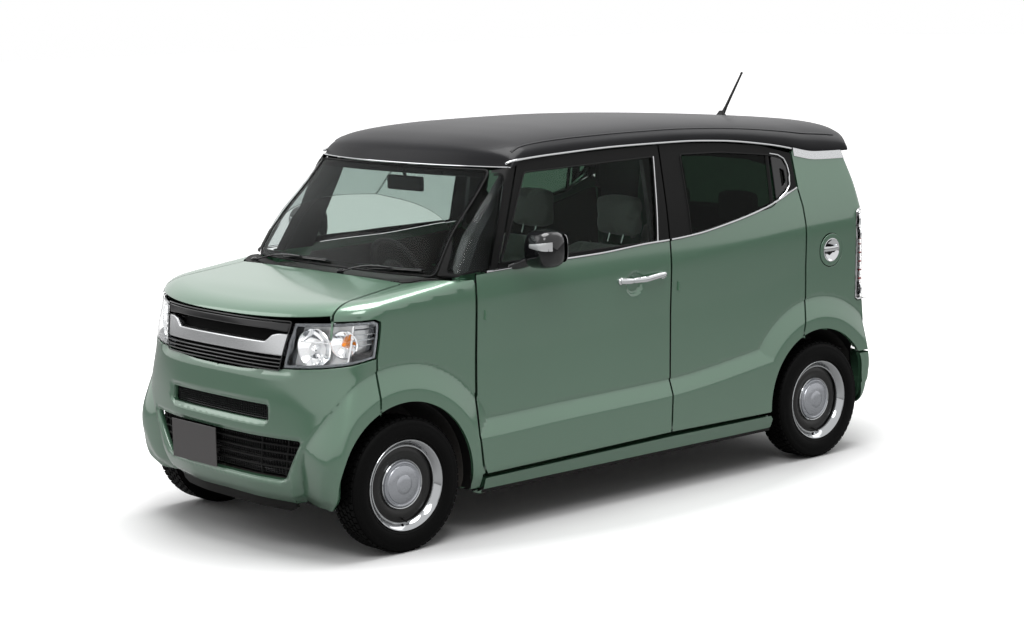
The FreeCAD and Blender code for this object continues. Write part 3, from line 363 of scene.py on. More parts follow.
    def build(self, name: str, side: Side = Side.LEFT, weld: bool = True) -> bpy.types.Object:
        """Make the object, mirrored for the right-hand side, welded and facing outward."""
        verts = np.concatenate(self.verts) * np.array([side.value, 1.0, 1.0])
        faces = self.faces if side is Side.LEFT else [f[::-1] for f in self.faces]
        obj = new_object(name, verts, faces, slots=np.array(self.slots))
        if weld:
            drop_repeats(obj.data)
            obj.data.set_sharp_from_angle(angle=SHARP)
        return obj


@dataclass
class Panel:
    """A sheet cut from a surface along an outline, with rolled edges, walls and an inner skin.

    The outline, its holes and its crease lines are drawn in the surface's own two coordinates.
    """

    surface: Surface
    outline: Array
    holes: Sequence[Array] = ()
    creases: Sequence[Array] = ()
    step: float = 15.0
    roll: float = 2.5
    thick: float = 3.0
    inward: Optional[Sequence[float]] = None
    back: bool = True
    edge_step: float = 7.0

    def normals_at(self, p: Array) -> Array:
        """Unit normals of the surface, pointing out of the car."""
        e = 1.5
        du = self.surface(p + [e, 0]) - self.surface(p - [e, 0])
        dv = self.surface(p + [0, e]) - self.surface(p - [0, e])
        n = np.cross(du, dv)
        n /= np.linalg.norm(n, axis=1)[:, None] + 1e-12
        return n

    def mesh_data(self) -> tuple[Array, list, Array, list]:
        """Points, faces, corner normals and material indices of the panel.

        Returns:
            The four of them, in the order new_object takes them.
        """
        loops = [resample(loop, self.edge_step) for loop in (self.outline, *self.holes)]
        if area_of(loops[0]) < 0:
            loops[0] = loops[0][::-1]
        loops[1:] = [h if area_of(h) < 0 else h[::-1] for h in loops[1:]]
        signs = [-1.0] + [1.0] * (len(loops) - 1)
        tops = [offset_outline(loop, sign * self.roll) for loop, sign in zip(loops, signs)]
        outer = tops[0]
        low, high = outer.min(axis=0), outer.max(axis=0)
        gx = np.arange(low[0] + self.step / 2, high[0], self.step)
        gy = np.arange(low[1] + self.step / 2, high[1], self.step)
        cloud = np.stack(np.meshgrid(gx, gy), -1).reshape(-1, 2)
        lines = []
        for crease in self.creases:
            line = resample(crease, self.edge_step * 1.3, closed=False)
            ok = inside(line, outer) & away_from(line, outer, self.roll + 2)
            for hole in tops[1:]:
                ok &= ~inside(line, hole) & away_from(line, hole, self.roll + 2)
            run: list = []
            for point, good in zip(line, ok):
                if good:
                    run.append(point)
                elif run:
                    lines.append(np.array(run))
                    run = []
            if run:
                lines.append(np.array(run))
        lines = [line for line in lines if len(line) > 1]
        keep = inside(cloud, outer) & away_from(cloud, outer, self.step * 0.45)
        for hole in tops[1:]:
            keep &= ~inside(cloud, hole) & away_from(cloud, hole, self.step * 0.45)
        cloud = cloud[keep]
        for line in lines:
            cloud = cloud[away_from(cloud, line, self.step * 0.33, closed=False)]
        pts, edges = [], []
        base = 0
        for top in tops:
            n = len(top)
            edges += [(base + i, base + (i + 1) % n) for i in range(n)]
            pts.append(top)
            base += n
        for line in lines:
            edges += [(base + i, base + i + 1) for i in range(len(line) - 1)]
            pts.append(line)
            base += len(line)
        pts.append(cloud)
        flat = np.concatenate(pts)
        result = delaunay_2d_cdt([Vector((float(a), float(b))) for a, b in flat], edges, [], 0, 1e-4)
        verts2 = np.array([(v.x, v.y) for v in result[0]])
        tris = np.array([f for f in result[2] if len(f) == 3], dtype=int)
        mid = verts2[tris].mean(axis=1)
        keep = inside(mid, outer)
        for hole in tops[1:]:
            keep &= ~inside(mid, hole)
        tris = tris[keep]
        used, tris = np.unique(tris, return_inverse=True)
        tris = tris.reshape(-1, 3)
        lookup = {int(old): i for i, old in enumerate(used)}
        origin = {}
        for new_index, sources in enumerate(result[3]):
            for source in sources:
                origin[source] = lookup.get(new_index, -1)
        verts2 = verts2[used]
        tri_area = np.cross(verts2[tris[:, 1]] - verts2[tris[:, 0]], verts2[tris[:, 2]] - verts2[tris[:, 0]])
        tris[tri_area < 0] = tris[tri_area < 0][:, ::-1]
        top3 = self.surface(verts2)
        n3 = self.normals_at(verts2)
        verts, normals, faces, slots = [top3], [], [tuple(t) for t in tris], [0] * len(tris)
        for tri in tris:
            normals += [n3[i] for i in tri]
        count = len(top3)
        base = 0
        zero = np.zeros(3)
        for loop, top, sign in zip(loops, tops, signs):
            n = len(loop)
            ring = [origin.get(base + i, -1) for i in range(n)]
            base += n
            if min(ring) < 0:
                LOG.warning("an edge point was lost")
                continue
            edge_n = self.normals_at(loop)
            into = -edge_n if self.inward is None else np.tile(np.asarray(self.inward, float), (n, 1))
            side = self.surface(loop) - top3[ring]
            side /= np.linalg.norm(side, axis=1)[:, None] + 1e-9
            rings = [np.array(ring)]
            ring_normals = [n3[ring]]
            for a in (45.0, 90.0):
                s, c = math.sin(math.radians(a)), math.cos(math.radians(a))
                flat_ring = offset_outline(loop, sign * self.roll * (1 - s))
                p = self.surface(flat_ring) + into * self.roll * (1 - c)
                verts.append(p)
                rings.append(np.arange(count, count + n))
                count += n
                blend = edge_n * c + side * s
                ring_normals.append(blend / (np.linalg.norm(blend, axis=1)[:, None] + 1e-9))
            verts.append(self.surface(loop) + into * self.thick)
            rings.append(np.arange(count, count + n))
            count += n
            for k in range(3):
                for i in range(n):
                    j = (i + 1) % n
                    faces.append((rings[k][i], rings[k + 1][i], rings[k + 1][j], rings[k][j]))
                    slots.append(0 if k < 2 else 1)
                    if k < 2:
                        normals += [ring_normals[k][i], ring_normals[k + 1][i],
                                    ring_normals[k + 1][j], ring_normals[k][j]]
                    else:
                        normals += [zero] * 4
        if self.back:
            into = -n3 if self.inward is None else np.tile(np.asarray(self.inward, float), (len(n3), 1))
            verts.append(top3 + into * self.thick)
            for tri in tris:
                faces.append(tuple(int(i) + count for i in tri[::-1]))
                slots.append(1)
                normals += [zero] * 3
        return np.concatenate(verts), faces, np.array(normals), slots

    def build(self, name: str, side: Side = Side.LEFT) -> bpy.types.Object:
        """Make the panel's object, mirrored for the right-hand side."""
        verts, faces, normals, slots = self.mesh_data()
        if side is Side.RIGHT:
            verts = verts * np.array([-1.0, 1, 1])
            flipped, order, start = [], [], 0
            for face in faces:
                flipped.append(face[::-1])
                order += range(start + len(face) - 1, start - 1, -1)
                start += len(face)
            faces, normals = flipped, normals[order] * np.array([-1.0, 1, 1])
        return new_object(name, verts, faces, normals=normals, slots=slots)


# ------------------------------------------------------------------ the body's shape
# columns: height, side in from the half width, then the nose, a point of its corner and the
# start of the straight side as depths behind the foremost point, the same three ahead of the
# rearmost point, and the corner point's distance in from the side
LOWER_ROWS = [
    (150, 34, 95, 130, 235, 118, 138, 215, 175), (193, 25, 75, 110, 215, 100, 118, 200, 175),
    (256, 8, 28, 62, 160, 40, 52, 125, 175), (340, 3, 6, 44, 144, 10, 24, 95, 175),
    (425, 2, 0, 40, 140, 0, 14, 85, 175), (600, 2, 9, 55, 205, 8, 22, 98, 182),
    (780, 2, 28, 82, 300, 26, 40, 115, 190), (968, 2, 42, 120, 350, 34, 46, 120, 205),
    (1015, 2, 56, 132, 366, 35, 48, 122, 205), (1100, 4, 70, 150, 380, 37, 52, 125, 205),
]
UPPER_ROWS = [
    (1000, 2, 585, 640, 725, 35, 48, 122, 140), (1055, 6, 612, 662, 750, 36, 50, 125, 147),
    (1250, 31, 739, 782, 865, 55, 78, 150, 160), (1424, 62, 915, 947, 1030, 105, 140, 200, 175),
    (1524, 81, 1005, 1032, 1108, 150, 185, 240, 185), (1580, 93, 1050, 1075, 1150, 185, 220, 275, 190),
]


def superellipse_power(corner_x: float, corner_y: float) -> float:
    """The power of the superellipse through a point of the unit quadrant."""
    low, high = 1.6, 9.0
    for _ in range(40):
        n = (low + high) / 2
        low, high = (n, high) if corner_x ** n + corner_y ** n > 1 else (low, n)
    return low


class End(Enum):
    """The two ends of the car that a plan outline is worked out from."""

    FRONT = -1
    REAR = 1


class PlanForm:
    """Plan outlines that change with height: a bowed end, round corners and straight sides.

    Attributes:
        end: which end of the car it describes.
        length: the reference length from the middle of the end to the straight side.
    """

    def __init__(self, rows: Sequence[Sequence[float]], end: End) -> None:
        """Work out the curves of one end from the rows of sizes."""
        t = np.array(rows, float)
        at = 2 if end is End.FRONT else 5
        self.end = end
        side = HALF - t[:, 1]
        depth = t[:, at + 2] - t[:, at]
        powers = [superellipse_power(1 - c / s, 1 - (k - e) / d)
                  for c, s, k, e, d in zip(t[:, 8], side, t[:, at + 1], t[:, at], depth)]
        self.side = pchip(t[:, 0], side)
        self.tip = pchip(t[:, 0], t[:, at])
        self.depth = pchip(t[:, 0], depth)
        self.power = pchip(t[:, 0], powers)
        fine = np.radians(np.linspace(0, 90, 361))
        totals = []
        for z in t[:, 0]:
            x, y = self.quadrant(fine, np.full_like(fine, z))
            totals.append(float(np.hypot(np.diff(x), np.diff(y)).sum()))
        self.total = pchip(t[:, 0], totals)
        mid = np.full_like(fine, t[len(t) // 2, 0])
        x, y = self.quadrant(fine, mid)
        run = np.concatenate([[0], np.cumsum(np.hypot(np.diff(x), np.diff(y)))])
        self.fine, self.share = fine, run / run[-1]
        self.length = float(run[-1])

    def quadrant(self, angle: Array, z: Array) -> tuple[Array, Array]:
        """Distance from the centre plane and depth behind the tip at a polar angle."""
        a, b, n = self.side(z), self.depth(z), self.power(z)
        sx, cy = np.sin(angle), np.cos(angle)
        r = ((np.abs(sx) / a) ** n + (np.abs(cy) / b) ** n) ** (-1 / n)
        return r * sx, b - r * cy

    def straight_start(self, z: Array) -> Array:
        """Station along the car at which the side becomes straight."""
        inward = self.tip(z) + self.depth(z)
        return NOSE + inward if self.end is End.FRONT else TAIL - inward

    def place(self, s: Array, z: Array) -> tuple[Array, Array, Array]:
        """Where a point of the outline lies.

        Args:
            s: distance round the outline from the middle of the end, at the reference height.
            z: height.

        Returns:
            Distance from the centre plane, station along the car, and the station as if the
            corner were rolled out flat.
        """
        s = np.abs(s)
        share = np.minimum(s / self.length, 1)
        x, depth = self.quadrant(np.interp(share, self.share, self.fine), z)
        beyond = np.maximum(s - self.length, 0)
        sign = self.end.value
        y = (NOSE if sign < 0 else TAIL) - sign * (self.tip(z) + depth + beyond)
        flat = self.straight_start(z) + sign * (self.total(z) * (1 - share) - beyond)
        return x, y, flat

    def from_flat(self, c: float, z: float) -> float:
        """The outline distance at a rolled-out station."""
        over = (c - float(self.straight_start(z))) * -self.end.value
        return self.length * (1 + over / float(self.total(z))) if over < 0 else self.length + over

    def from_station(self, y: float, z: float) -> float:
        """The outline distance at a station along the car."""
        inward = (y - NOSE) if self.end is End.FRONT else (TAIL - y)
        start = float(self.tip(z) + self.depth(z))
        if inward >= start:
            return self.length + inward - start
        _, depth = self.quadrant(self.fine, np.full_like(self.fine, z))
        return float(np.interp(inward - float(self.tip(z)), depth, self.share) * self.length)

    def from_width(self, x: float, z: float) -> float:
        """The outline distance at a distance from the centre plane, with its sign."""
        width, _ = self.quadrant(self.fine, np.full_like(self.fine, z))
        return math.copysign(float(np.interp(abs(x), width, self.share) * self.length), x)


FRONT = PlanForm(LOWER_ROWS, End.FRONT)
CABIN = PlanForm(UPPER_ROWS, End.FRONT)
REAR = PlanForm(LOWER_ROWS[:9] + UPPER_ROWS[1:], End.REAR)

# lines along the side, as heights by station
SHOULDER = pchip([-1700, -797, -404, 269, 844, 1200, 1700], [985, 994, 1015, 1034, 1088, 1128, 1150])
MIDLINE = pchip([-1700, -861, -410, 266, 843, 1181, 1552, 1700], [752, 758, 770, 813, 850, 925, 1014, 1040])
GROOVE = pchip([-1100, -823, -417, 261, 861, 1000], [487, 488, 497, 509, 570, 590])
LEDGE = pchip([-1100, -826, -419, 260, 943, 1100], [411, 412, 424, 438, 507, 525])
BELTLINE = pchip([-1119, -1060, -858, -738, -400, -167, 148, 273, 451, 647, 848, 1019, 1088, 1190],
                 [1094, 1098, 1103, 1107, 1115.5, 1119.5, 1136, 1139, 1150, 1177, 1214, 1261, 1287, 1320])
CABIN_INSET = pchip([1000, 1055, 1150, 1250, 1424, 1524, 1600], [2, 6, 17, 31, 62, 81, 97])
BAND_LINES = (-0.09, 0.01, 0.93, 1.0, 1.07)
ARCH_EDGE = 340.0
FLARE_OUT, FLARE_IN = 497.0, 398.0
CUP = (50.0, 968.0, 60.0)
LID = (1362.0, 993.0, 80.0)


def arch_distance(c: Array, z: Array) -> Array:
    """Distance from the nearer axle's centre, with the corners rolled out flat."""
    axle = np.where(c < 0, FRONT_AXLE, REAR_AXLE)
    return np.hypot(c - axle, z - AXLE_HEIGHT)


def band_share(c: Array, z: Array) -> Array:
    """How deep a point lies in the raised band of the flares and the ledge over the sill.

    Args:
        c: station along the car, corners rolled out flat.
        z: height.

    Returns:
        Nought at the band's upper edge, one at its crease, negative outside it.
    """
    flare = (FLARE_OUT - arch_distance(c, z)) / (FLARE_OUT - FLARE_IN)
    ledge = (GROOVE(c) - z) / (GROOVE(c) - LEDGE(c)) - 99.0 * ((c < FRONT_AXLE) | (c > REAR_AXLE))
    return np.maximum(flare, ledge)


def side_inset(c: Array, z: Array) -> Array:
    """How far the painted side lies in from the widest plan outline.

    Args:
        c: station along the car, corners rolled out flat.
        z: height.

    Returns:
        The depth, positive inward.
    """
    wall = 27 - 0.024 * (z - GROOVE(c)) - 0.034 * ramp(z - MIDLINE(c), 14.0)
    wall = wall + 0.118 * ramp(z - SHOULDER(c), 22.0)
    ends = smooth(-2050.0, -1640.0, c) * smooth(2150.0, 1760.0, c)
    wall = 5 + (wall - 5) * ends
    share = band_share(c, z)
    raised = 0.5 + (wall + 5.5) * ramp(1 - share, 0.07)
    chin = 399 + 0.64 * (-1620 - c)
    raised = raised + 0.16 * ramp(chin - z, 6.0) * smooth(-1575.0, -1625.0, c)
    step = smooth(*BAND_LINES[:2], share)
    return wall * (1 - step) + raised * step


def side_surface(p: Array) -> Array:
    """The left side between the corners, by station and height."""
    y, z = p[:, 0], p[:, 1]
    inset = soft_max(side_inset(y, z), CABIN_INSET(z) - 2, 10.0) + sill_tuck(z)
    cup = np.hypot(y - CUP[0], z - CUP[1])
    inset = inset + 15 * (1 - smooth(0.55 * CUP[2], CUP[2], cup))
    return np.stack([HALF - inset, y, z], 1)


def sill_tuck(z: Array) -> Array:
    """How the side rolls under the sill."""
    return 0.35 * ramp(262 - z, 10.0)


def outline_surface(form: PlanForm, dressed: bool = True) -> Surface:
    """A surface round one end of the car, by outline distance and height.

    Args:
        form: the plan outlines.
        dressed: whether the painted side's creases and flares are on it.

    Returns:
        A function of outline distance, positive to the left for the front and to the right for
        the rear, and height.
    """
    turn = 1.0 if form.end is End.FRONT else -1.0

    def surface(p: Array) -> Array:
        """Points of the surface."""
        s, z = p[:, 0], p[:, 1]
        x, y, flat = form.place(s, z)
        x2, y2, _ = form.place(np.abs(s) + 1.0, z)
        length = np.hypot(y2 - y, x2 - x) + 1e-9
        nx, ny = np.abs(y2 - y) / length, form.end.value * np.abs(x2 - x) / length
        inset = side_inset(flat, z) + sill_tuck(z) * 0.4 if dressed else np.zeros_like(z)
        if dressed and form is REAR:
            inset = soft_max(inset, np.minimum(CABIN_INSET(z) - 2, inset + 4), 6.0)
            above = smooth(1080.0, 1180.0, z)
            inset = inset * (1 - above) + above
        sign = np.where(s < 0, -1.0, 1.0) * turn
        return np.stack([sign * (x - nx * inset), y - ny * inset, z], 1)

    return surface


FRONT_FACE, REAR_FACE = outline_surface(FRONT), outline_surface(REAR)
CABIN_FACE = outline_surface(CABIN, dressed=False)
ROLL_D, ROLL_H, ROLL_N = 100.0, 50.0, 2.25
ROLL_ARC = 0.77 * (ROLL_D + ROLL_H)
SHOULDER_LEVEL = 980.0


def hood_plane(y: Array) -> Array:
    """Height of the hood along the car, before its edges roll down."""
    return 1015 + (y - NOSE - 57.5) * 0.1226 - 9 * smooth(-1400.0, -1680.0, y)


def shoulder_start(y: Array) -> Array:
    """Height at which the front's walls start to roll over."""
    return hood_plane(y) - ROLL_H


def roll_height(depth: Array) -> Array:
    """Rise above the start of the roll at a depth in from the wall."""
    t = np.clip(1 - depth / ROLL_D, 0, 1)
    return ROLL_H * (1 - t ** ROLL_N) ** (1 / ROLL_N)


def fender_surface(p: Array) -> Array:
    """The front's wall and the roll over it onto the hood's height, by outline distance and run."""
    s, v = p[:, 0], p[:, 1]
    _, y, _ = FRONT.place(s, np.full_like(s, SHOULDER_LEVEL))
    start = shoulder_start(y)
    base = FRONT_FACE(np.stack([s, np.minimum(v, start)], 1))
    run = np.clip((v - start) / ROLL_ARC, 0, None)
    angle = np.clip(run, 0, 1) * math.pi / 2
    a, b = np.cos(angle) / ROLL_D, np.sin(angle) / ROLL_H
    r = (a ** ROLL_N + b ** ROLL_N) ** (-1 / ROLL_N)
    depth = ROLL_D - r * np.cos(angle) + np.clip(run - 1, 0, None) * ROLL_ARC
    step = FRONT_FACE(np.stack([s + 1.0, np.minimum(v, start)], 1)) - base
    n = np.stack([step[:, 1], -step[:, 0]], 1)
    n /= np.linalg.norm(n, axis=1)[:, None] + 1e-9
    x, yy = base[:, 0] - n[:, 0] * depth, base[:, 1] - n[:, 1] * depth
    z = np.where(v > start, hood_plane(yy) - ROLL_H + r * np.sin(angle), base[:, 2])
    z = np.where(v > start, np.where(run < 1, z, hood_plane(yy)), v)
    blend = smooth(0.0, 0.25, run)
    z = np.where(v > start, (start + r * np.sin(angle)) * (1 - blend) + z * blend, z)
    return np.stack([x, yy, z], 1)


RIM = FRONT_FACE(np.stack([np.linspace(-1400, 1400, 1401), shoulder_start(
    FRONT.place(np.linspace(-1400, 1400, 1401), np.full(1401, SHOULDER_LEVEL))[1])], 1))[:, :2]


def hood_surface(p: Array) -> Array:
    """The hood's top and rolled front, by X and Y."""
    out = np.empty(len(p))
    for i in range(0, len(p), 2000):
        chunk = p[i:i + 2000]
        out[i:i + 2000] = np.sqrt(((chunk[:, None] - RIM[None]) ** 2).sum(axis=2)).min(axis=1)
    out = np.where(p[:, 1] < np.interp(p[:, 0], RIM[:, 0], RIM[:, 1]), -out, out)
    crown = 5.0 * (1 - (p[:, 0] / 640) ** 2) * smooth(-1640.0, -1450.0, p[:, 1])
    z = hood_plane(p[:, 1]) - ROLL_H + roll_height(out) + crown
    return np.stack([p[:, 0], p[:, 1], z], 1)


# columns: station, height of the roof's middle, height of its side edge, half width of the edge
ROOF_ROWS = [
    (-706, 1521, 1520, 657), (-695, 1549, 1520, 657), (-667, 1593, 1522, 658), (-600, 1624, 1536, 655),
    (-512, 1645, 1551, 652), (-350, 1662, 1561, 650), (-157, 1669, 1566, 649), (80, 1669.5, 1570, 649),
    (347, 1668, 1569, 650), (620, 1660, 1558, 653), (847, 1649, 1537, 658), (1100, 1633, 1500, 664),
    (1300, 1619, 1464, 670), (1502, 1601, 1458, 671), (1600, 1588, 1456, 671), (1660, 1566, 1456, 671),
    (1689, 1502, 1456, 671),
]
_rows = np.array(ROOF_ROWS, float)
_along = np.concatenate([[0], np.cumsum(np.hypot(np.diff(_rows[:, 0]), np.diff(_rows[:, 1])))])
ROOF_Y, ROOF_MID = pchip(_along, _rows[:, 0]), pchip(_along, _rows[:, 1])
ROOF_EDGE, ROOF_HALF = pchip(_rows[:, 0], _rows[:, 2]), pchip(_rows[:, 0], _rows[:, 3])
ROOF_RUN = float(_along[-1])
ROOF_SPAN, ROOF_POWER = 760.0, 3.0


def roof_surface(p: Array) -> Array:
    """The roof, by run across it from the middle and run along it from the header."""
    across, run = p[:, 0], p[:, 1]
    angle = np.clip(np.abs(across) / ROOF_SPAN, 0, 1.05) * math.pi / 2
    y0 = ROOF_Y(run)
    half, mid, edge = ROOF_HALF(y0), ROOF_MID(run), ROOF_EDGE(y0)
    tall = np.maximum(mid - edge, 1.0)
    sx, cz = np.sin(angle), np.maximum(np.cos(angle), 0)
    r = (sx ** ROOF_POWER + cz ** ROOF_POWER) ** (-1 / ROOF_POWER)
    fx, fz = r * sx, r * cz
    front_bow = 108 * fx ** 2.4 * smooth(300.0, 0.0, run)
    rear_bow = 150 * fx ** 3.5 * smooth(ROOF_RUN - 480, ROOF_RUN, run)
    x = np.sign(across) * half * fx
    return np.stack([x, y0 + front_bow - rear_bow, edge + tall * fz], 1)


def front_trace(points: Sequence[Sequence[float]], form: PlanForm = FRONT, step: float = 8.0,
                closed: bool = True) -> Array:
    """A front-view (x, z) outline laid on a form, as outline distances and heights."""
    flip = 1.0 if form.end is End.FRONT else -1.0
    return np.array([(flip * form.from_width(x, z), z) for x, z in resample(points, step, closed)])


def side_trace(points: Sequence[Sequence[float]], form: PlanForm = FRONT, step: float = 8.0,
               closed: bool = True) -> Array:
    """A left-hand side-view (y, z) outline laid on a form, as outline distances and heights."""
    flip = 1.0 if form.end is End.FRONT else -1.0
    return np.array([(flip * form.from_station(y, z), z) for y, z in resample(points, step, closed)])


def contour(share: float, centre: float, low: float, high: float, count: int = 90) -> Array:
    """A line at one share of the band round a wheel, between two angles from the rear (degrees)."""
    r = FLARE_OUT - share * (FLARE_OUT - FLARE_IN)
    a = np.radians(np.linspace(low, high, count))
    return np.stack([centre + r * np.cos(a), AXLE_HEIGHT + r * np.sin(a)], 1)


def side_creases() -> list[Array]:
    """The lines along the side that its mesh follows: shoulder, groove, ledge and flares."""
    y = np.linspace(-1330, 1560, 190)
    lines = []
    for share in BAND_LINES:
        z = GROOVE(y) - share * (GROOVE(y) - LEDGE(y))
        line = np.stack([y, z], 1)
        free = (arch_distance(y, z) > FLARE_OUT - share * (FLARE_OUT - FLARE_IN) + 4) & (np.abs(y) < 1000)
        lines.append(line[free])
        for axle in (FRONT_AXLE, REAR_AXLE):
            ring = contour(share, axle, -5, 185)
            ledge = GROOVE(ring[:, 0]) - share * (GROOVE(ring[:, 0]) - LEDGE(ring[:, 0]))
            between = (ring[:, 0] > FRONT_AXLE) & (ring[:, 0] < REAR_AXLE)
            ok = ~between | (ring[:, 1] > ledge + 4)
            part = ring[ok]
            split = np.flatnonzero(np.linalg.norm(np.diff(part, axis=0), axis=1) > 60)
            lines += [piece for piece in np.split(part, split + 1) if len(piece) > 2]
    for curve in (SHOULDER, MIDLINE):
        for shift in (-9.0, 0.0, 9.0):
            lines.append(np.stack([y, curve(y) + shift], 1))
    return lines


SIDE_CREASES = side_creases()


def flat_trace(points: Sequence[Sequence[float]], form: PlanForm = FRONT, step: float = 8.0,
               closed: bool = True) -> Array:
    """An outline by rolled-out station and height, laid on a form."""
    flip = 1.0 if form.end is End.FRONT else -1.0
    return np.array([(flip * form.from_flat(c, z), z) for c, z in resample(points, step, closed)])


def arch_arc(axle: float, start: float, end: float, radius: float = ARCH_EDGE, count: int = 40) -> Array:
    """An arc round a wheel by angle from the rear (degrees), as stations and heights."""
    a = np.radians(np.linspace(start, end, count))
    return np.stack([axle + radius * np.cos(a), AXLE_HEIGHT + radius * np.sin(a)], 1)


def arch_angle(y: float, axle: float, radius: float = ARCH_EDGE) -> float:
    """The angle at which a wheel opening's upper half reaches a station (degrees)."""
    return math.degrees(math.acos((y - axle) / radius))


def height_angle(z: float, radius: float = ARCH_EDGE) -> float:
    """The angle at which a wheel opening's rear side reaches a height (degrees)."""
    return math.degrees(math.asin((z - AXLE_HEIGHT) / radius))


def shrink(outline: Array, gap: float = SEAM) -> Array:
    """An outline drawn in by a seam."""
    return offset_outline(np.asarray(outline, float), -gap)


def set_in(surface: Surface, depth: float) -> Surface:
    """A surface moved in by a depth along its normals."""
    probe = Panel(surface, np.zeros((1, 2)))

    def moved(p: Array) -> Array:
        """Points of the moved surface."""
        return surface(p) - probe.normals_at(p) * depth

    return moved


def place_on(surface: Surface, u: float, v: float, depth: float = 0.0) -> tuple[Array, Array]:
    """A point of a surface, set in by a depth, and the outward normal there."""
    at = np.array([[u, v]], float)
    normal = Panel(surface, at).normals_at(at)[0]
    return surface(at)[0] - normal * depth, normal


def seek(surface: Surface, target: Sequence[float], start: Sequence[float]) -> Array:
    """The surface coordinates whose X and Y are the target's."""
    q = np.array(start, float)
    for _ in range(14):
        pts = surface(np.array([q, q + [1, 0], q + [0, 1]]))[:, :2]
        jac = np.stack([pts[1] - pts[0], pts[2] - pts[0]], 1)
        move = np.linalg.lstsq(jac, np.asarray(target, float) - pts[0], rcond=None)[0]
        q = q + np.clip(move, -60, 60)
    return q


# ------------------------------------------------------------------ finishes
def node_group(name: str, inputs: dict[str, float], outputs: Sequence[tuple[str, str]],
               wire: Callable) -> bpy.types.NodeTree:
    """A shader node group with named float inputs, made once.

    Args:
        name: the group's name.
        inputs: each input's name and usual value.
        outputs: each output's name and socket type.
        wire: fills the tree, given it and its two end nodes.

    Returns:
        The group.
    """
    tree = bpy.data.node_groups.new(name, "ShaderNodeTree")
    for key, value in inputs.items():
        socket = tree.interface.new_socket(name=key, in_out="INPUT", socket_type="NodeSocketFloat")
        socket.default_value = value
    for key, kind in outputs:
        tree.interface.new_socket(name=key, in_out="OUTPUT", socket_type=kind)
    wire(tree, tree.nodes.new("NodeGroupInput"), tree.nodes.new("NodeGroupOutput"))
    return tree


def feed(tree: bpy.types.NodeTree, socket: bpy.types.NodeSocket, value: object) -> None:
    """Give an input a value, or join another node's output to it."""
    if isinstance(value, bpy.types.NodeSocket):
        tree.links.new(value, socket)
    else:
        socket.default_value = value


def put(tree: bpy.types.NodeTree, kind: str, *slots: object, **values: object) -> bpy.types.Node:
    """A node with properties, or inputs by name where there is no such property.

    Args:
        tree: the tree it goes into.
        kind: its full type name.
        slots: values or outputs for its first inputs, in order.
        values: values or outputs by name, with _ for a space.

    Returns:
        The node.
    """
    item = tree.nodes.new(kind)
    for key, value in values.items():
        if hasattr(item, key):
            setattr(item, key, value)
        else:
            feed(tree, item.inputs[key.replace("_", " ")], value)
    for socket, value in zip(item.inputs, slots):
        feed(tree, socket, value)
    return item


def add(tree: bpy.types.NodeTree, kind: str, *slots: object, **values: object) -> bpy.types.Node:
    """A shader node."""
    return put(tree, "ShaderNode" + kind, *slots, **values)


def blend(tree: bpy.types.NodeTree, share: object, first: object, second: object) -> object:
    """The mix of two colours, each a value or an output."""
    mix = add(tree, "Mix", share, data_type="RGBA")
    feed(tree, mix.inputs[6], first)
    feed(tree, mix.inputs[7], second)
    return mix.outputs[2]


def wire_cloud(tree: bpy.types.NodeTree, first: bpy.types.Node, last: bpy.types.Node) -> None:
    """Fine noise on Object coordinates: a mask between two levels."""
    noise = add(tree, "TexNoise", Vector=add(tree, "TexCoord").outputs["Object"],
                Scale=first.outputs["Scale"], Detail=5.0, Roughness=0.55)
    spread = add(tree, "MapRange", Value=noise.outputs["Fac"], To_Min=first.outputs["Low"],
                 To_Max=first.outputs["High"])
    feed(tree, last.inputs["Level"], spread.outputs["Result"])


def wire_wear(tree: bpy.types.NodeTree, first: bpy.types.Node, last: bpy.types.Node) -> None:
    """A mask of dust that gathers low on the car and in broad soft patches."""
    where = add(tree, "TexCoord").outputs["Object"]
    split = add(tree, "SeparateXYZ", Vector=where)
    low = add(tree, "MapRange", Value=split.outputs["Z"], From_Min=0.55, From_Max=0.12)
    noise = add(tree, "TexNoise", Vector=where, Scale=7.0, Detail=6.0, Roughness=0.6)
    product = add(tree, "Math", low.outputs["Result"], noise.outputs["Fac"], operation="MULTIPLY")
    scaled = add(tree, "Math", product.outputs[0], first.outputs["Amount"], operation="MULTIPLY")
    feed(tree, last.inputs["Mask"], scaled.outputs[0])


def wire_weave(tree: bpy.types.NodeTree, first: bpy.types.Node, last: bpy.types.Node) -> None:
    """A woven height and thread mask on Object coordinates."""
    where = add(tree, "TexCoord").outputs["Object"]
    waves = [add(tree, "TexWave", bands_direction=way, Vector=where, Scale=first.outputs["Scale"],
                 Distortion=0.6, Detail=1.0).outputs["Fac"] for way in ("X", "Z")]
    both = add(tree, "Math", *waves, operation="MULTIPLY")
    feed(tree, last.inputs["Height"], both.outputs[0])


CLOUD = node_group("Cloud", {"Scale": 40.0, "Low": 0.3, "High": 0.5},
                   [("Level", "NodeSocketFloat")], wire_cloud)
DUST = node_group("Dust", {"Amount": 0.2}, [("Mask", "NodeSocketFloat")], wire_wear)
DUST_COLOUR, SPLIT_COLOUR = (0.30, 0.27, 0.23, 1), (0.014, 0.014, 0.015, 1)
WEAVE = node_group("Weave", {"Scale": 200.0}, [("Height", "NodeSocketFloat")], wire_weave)


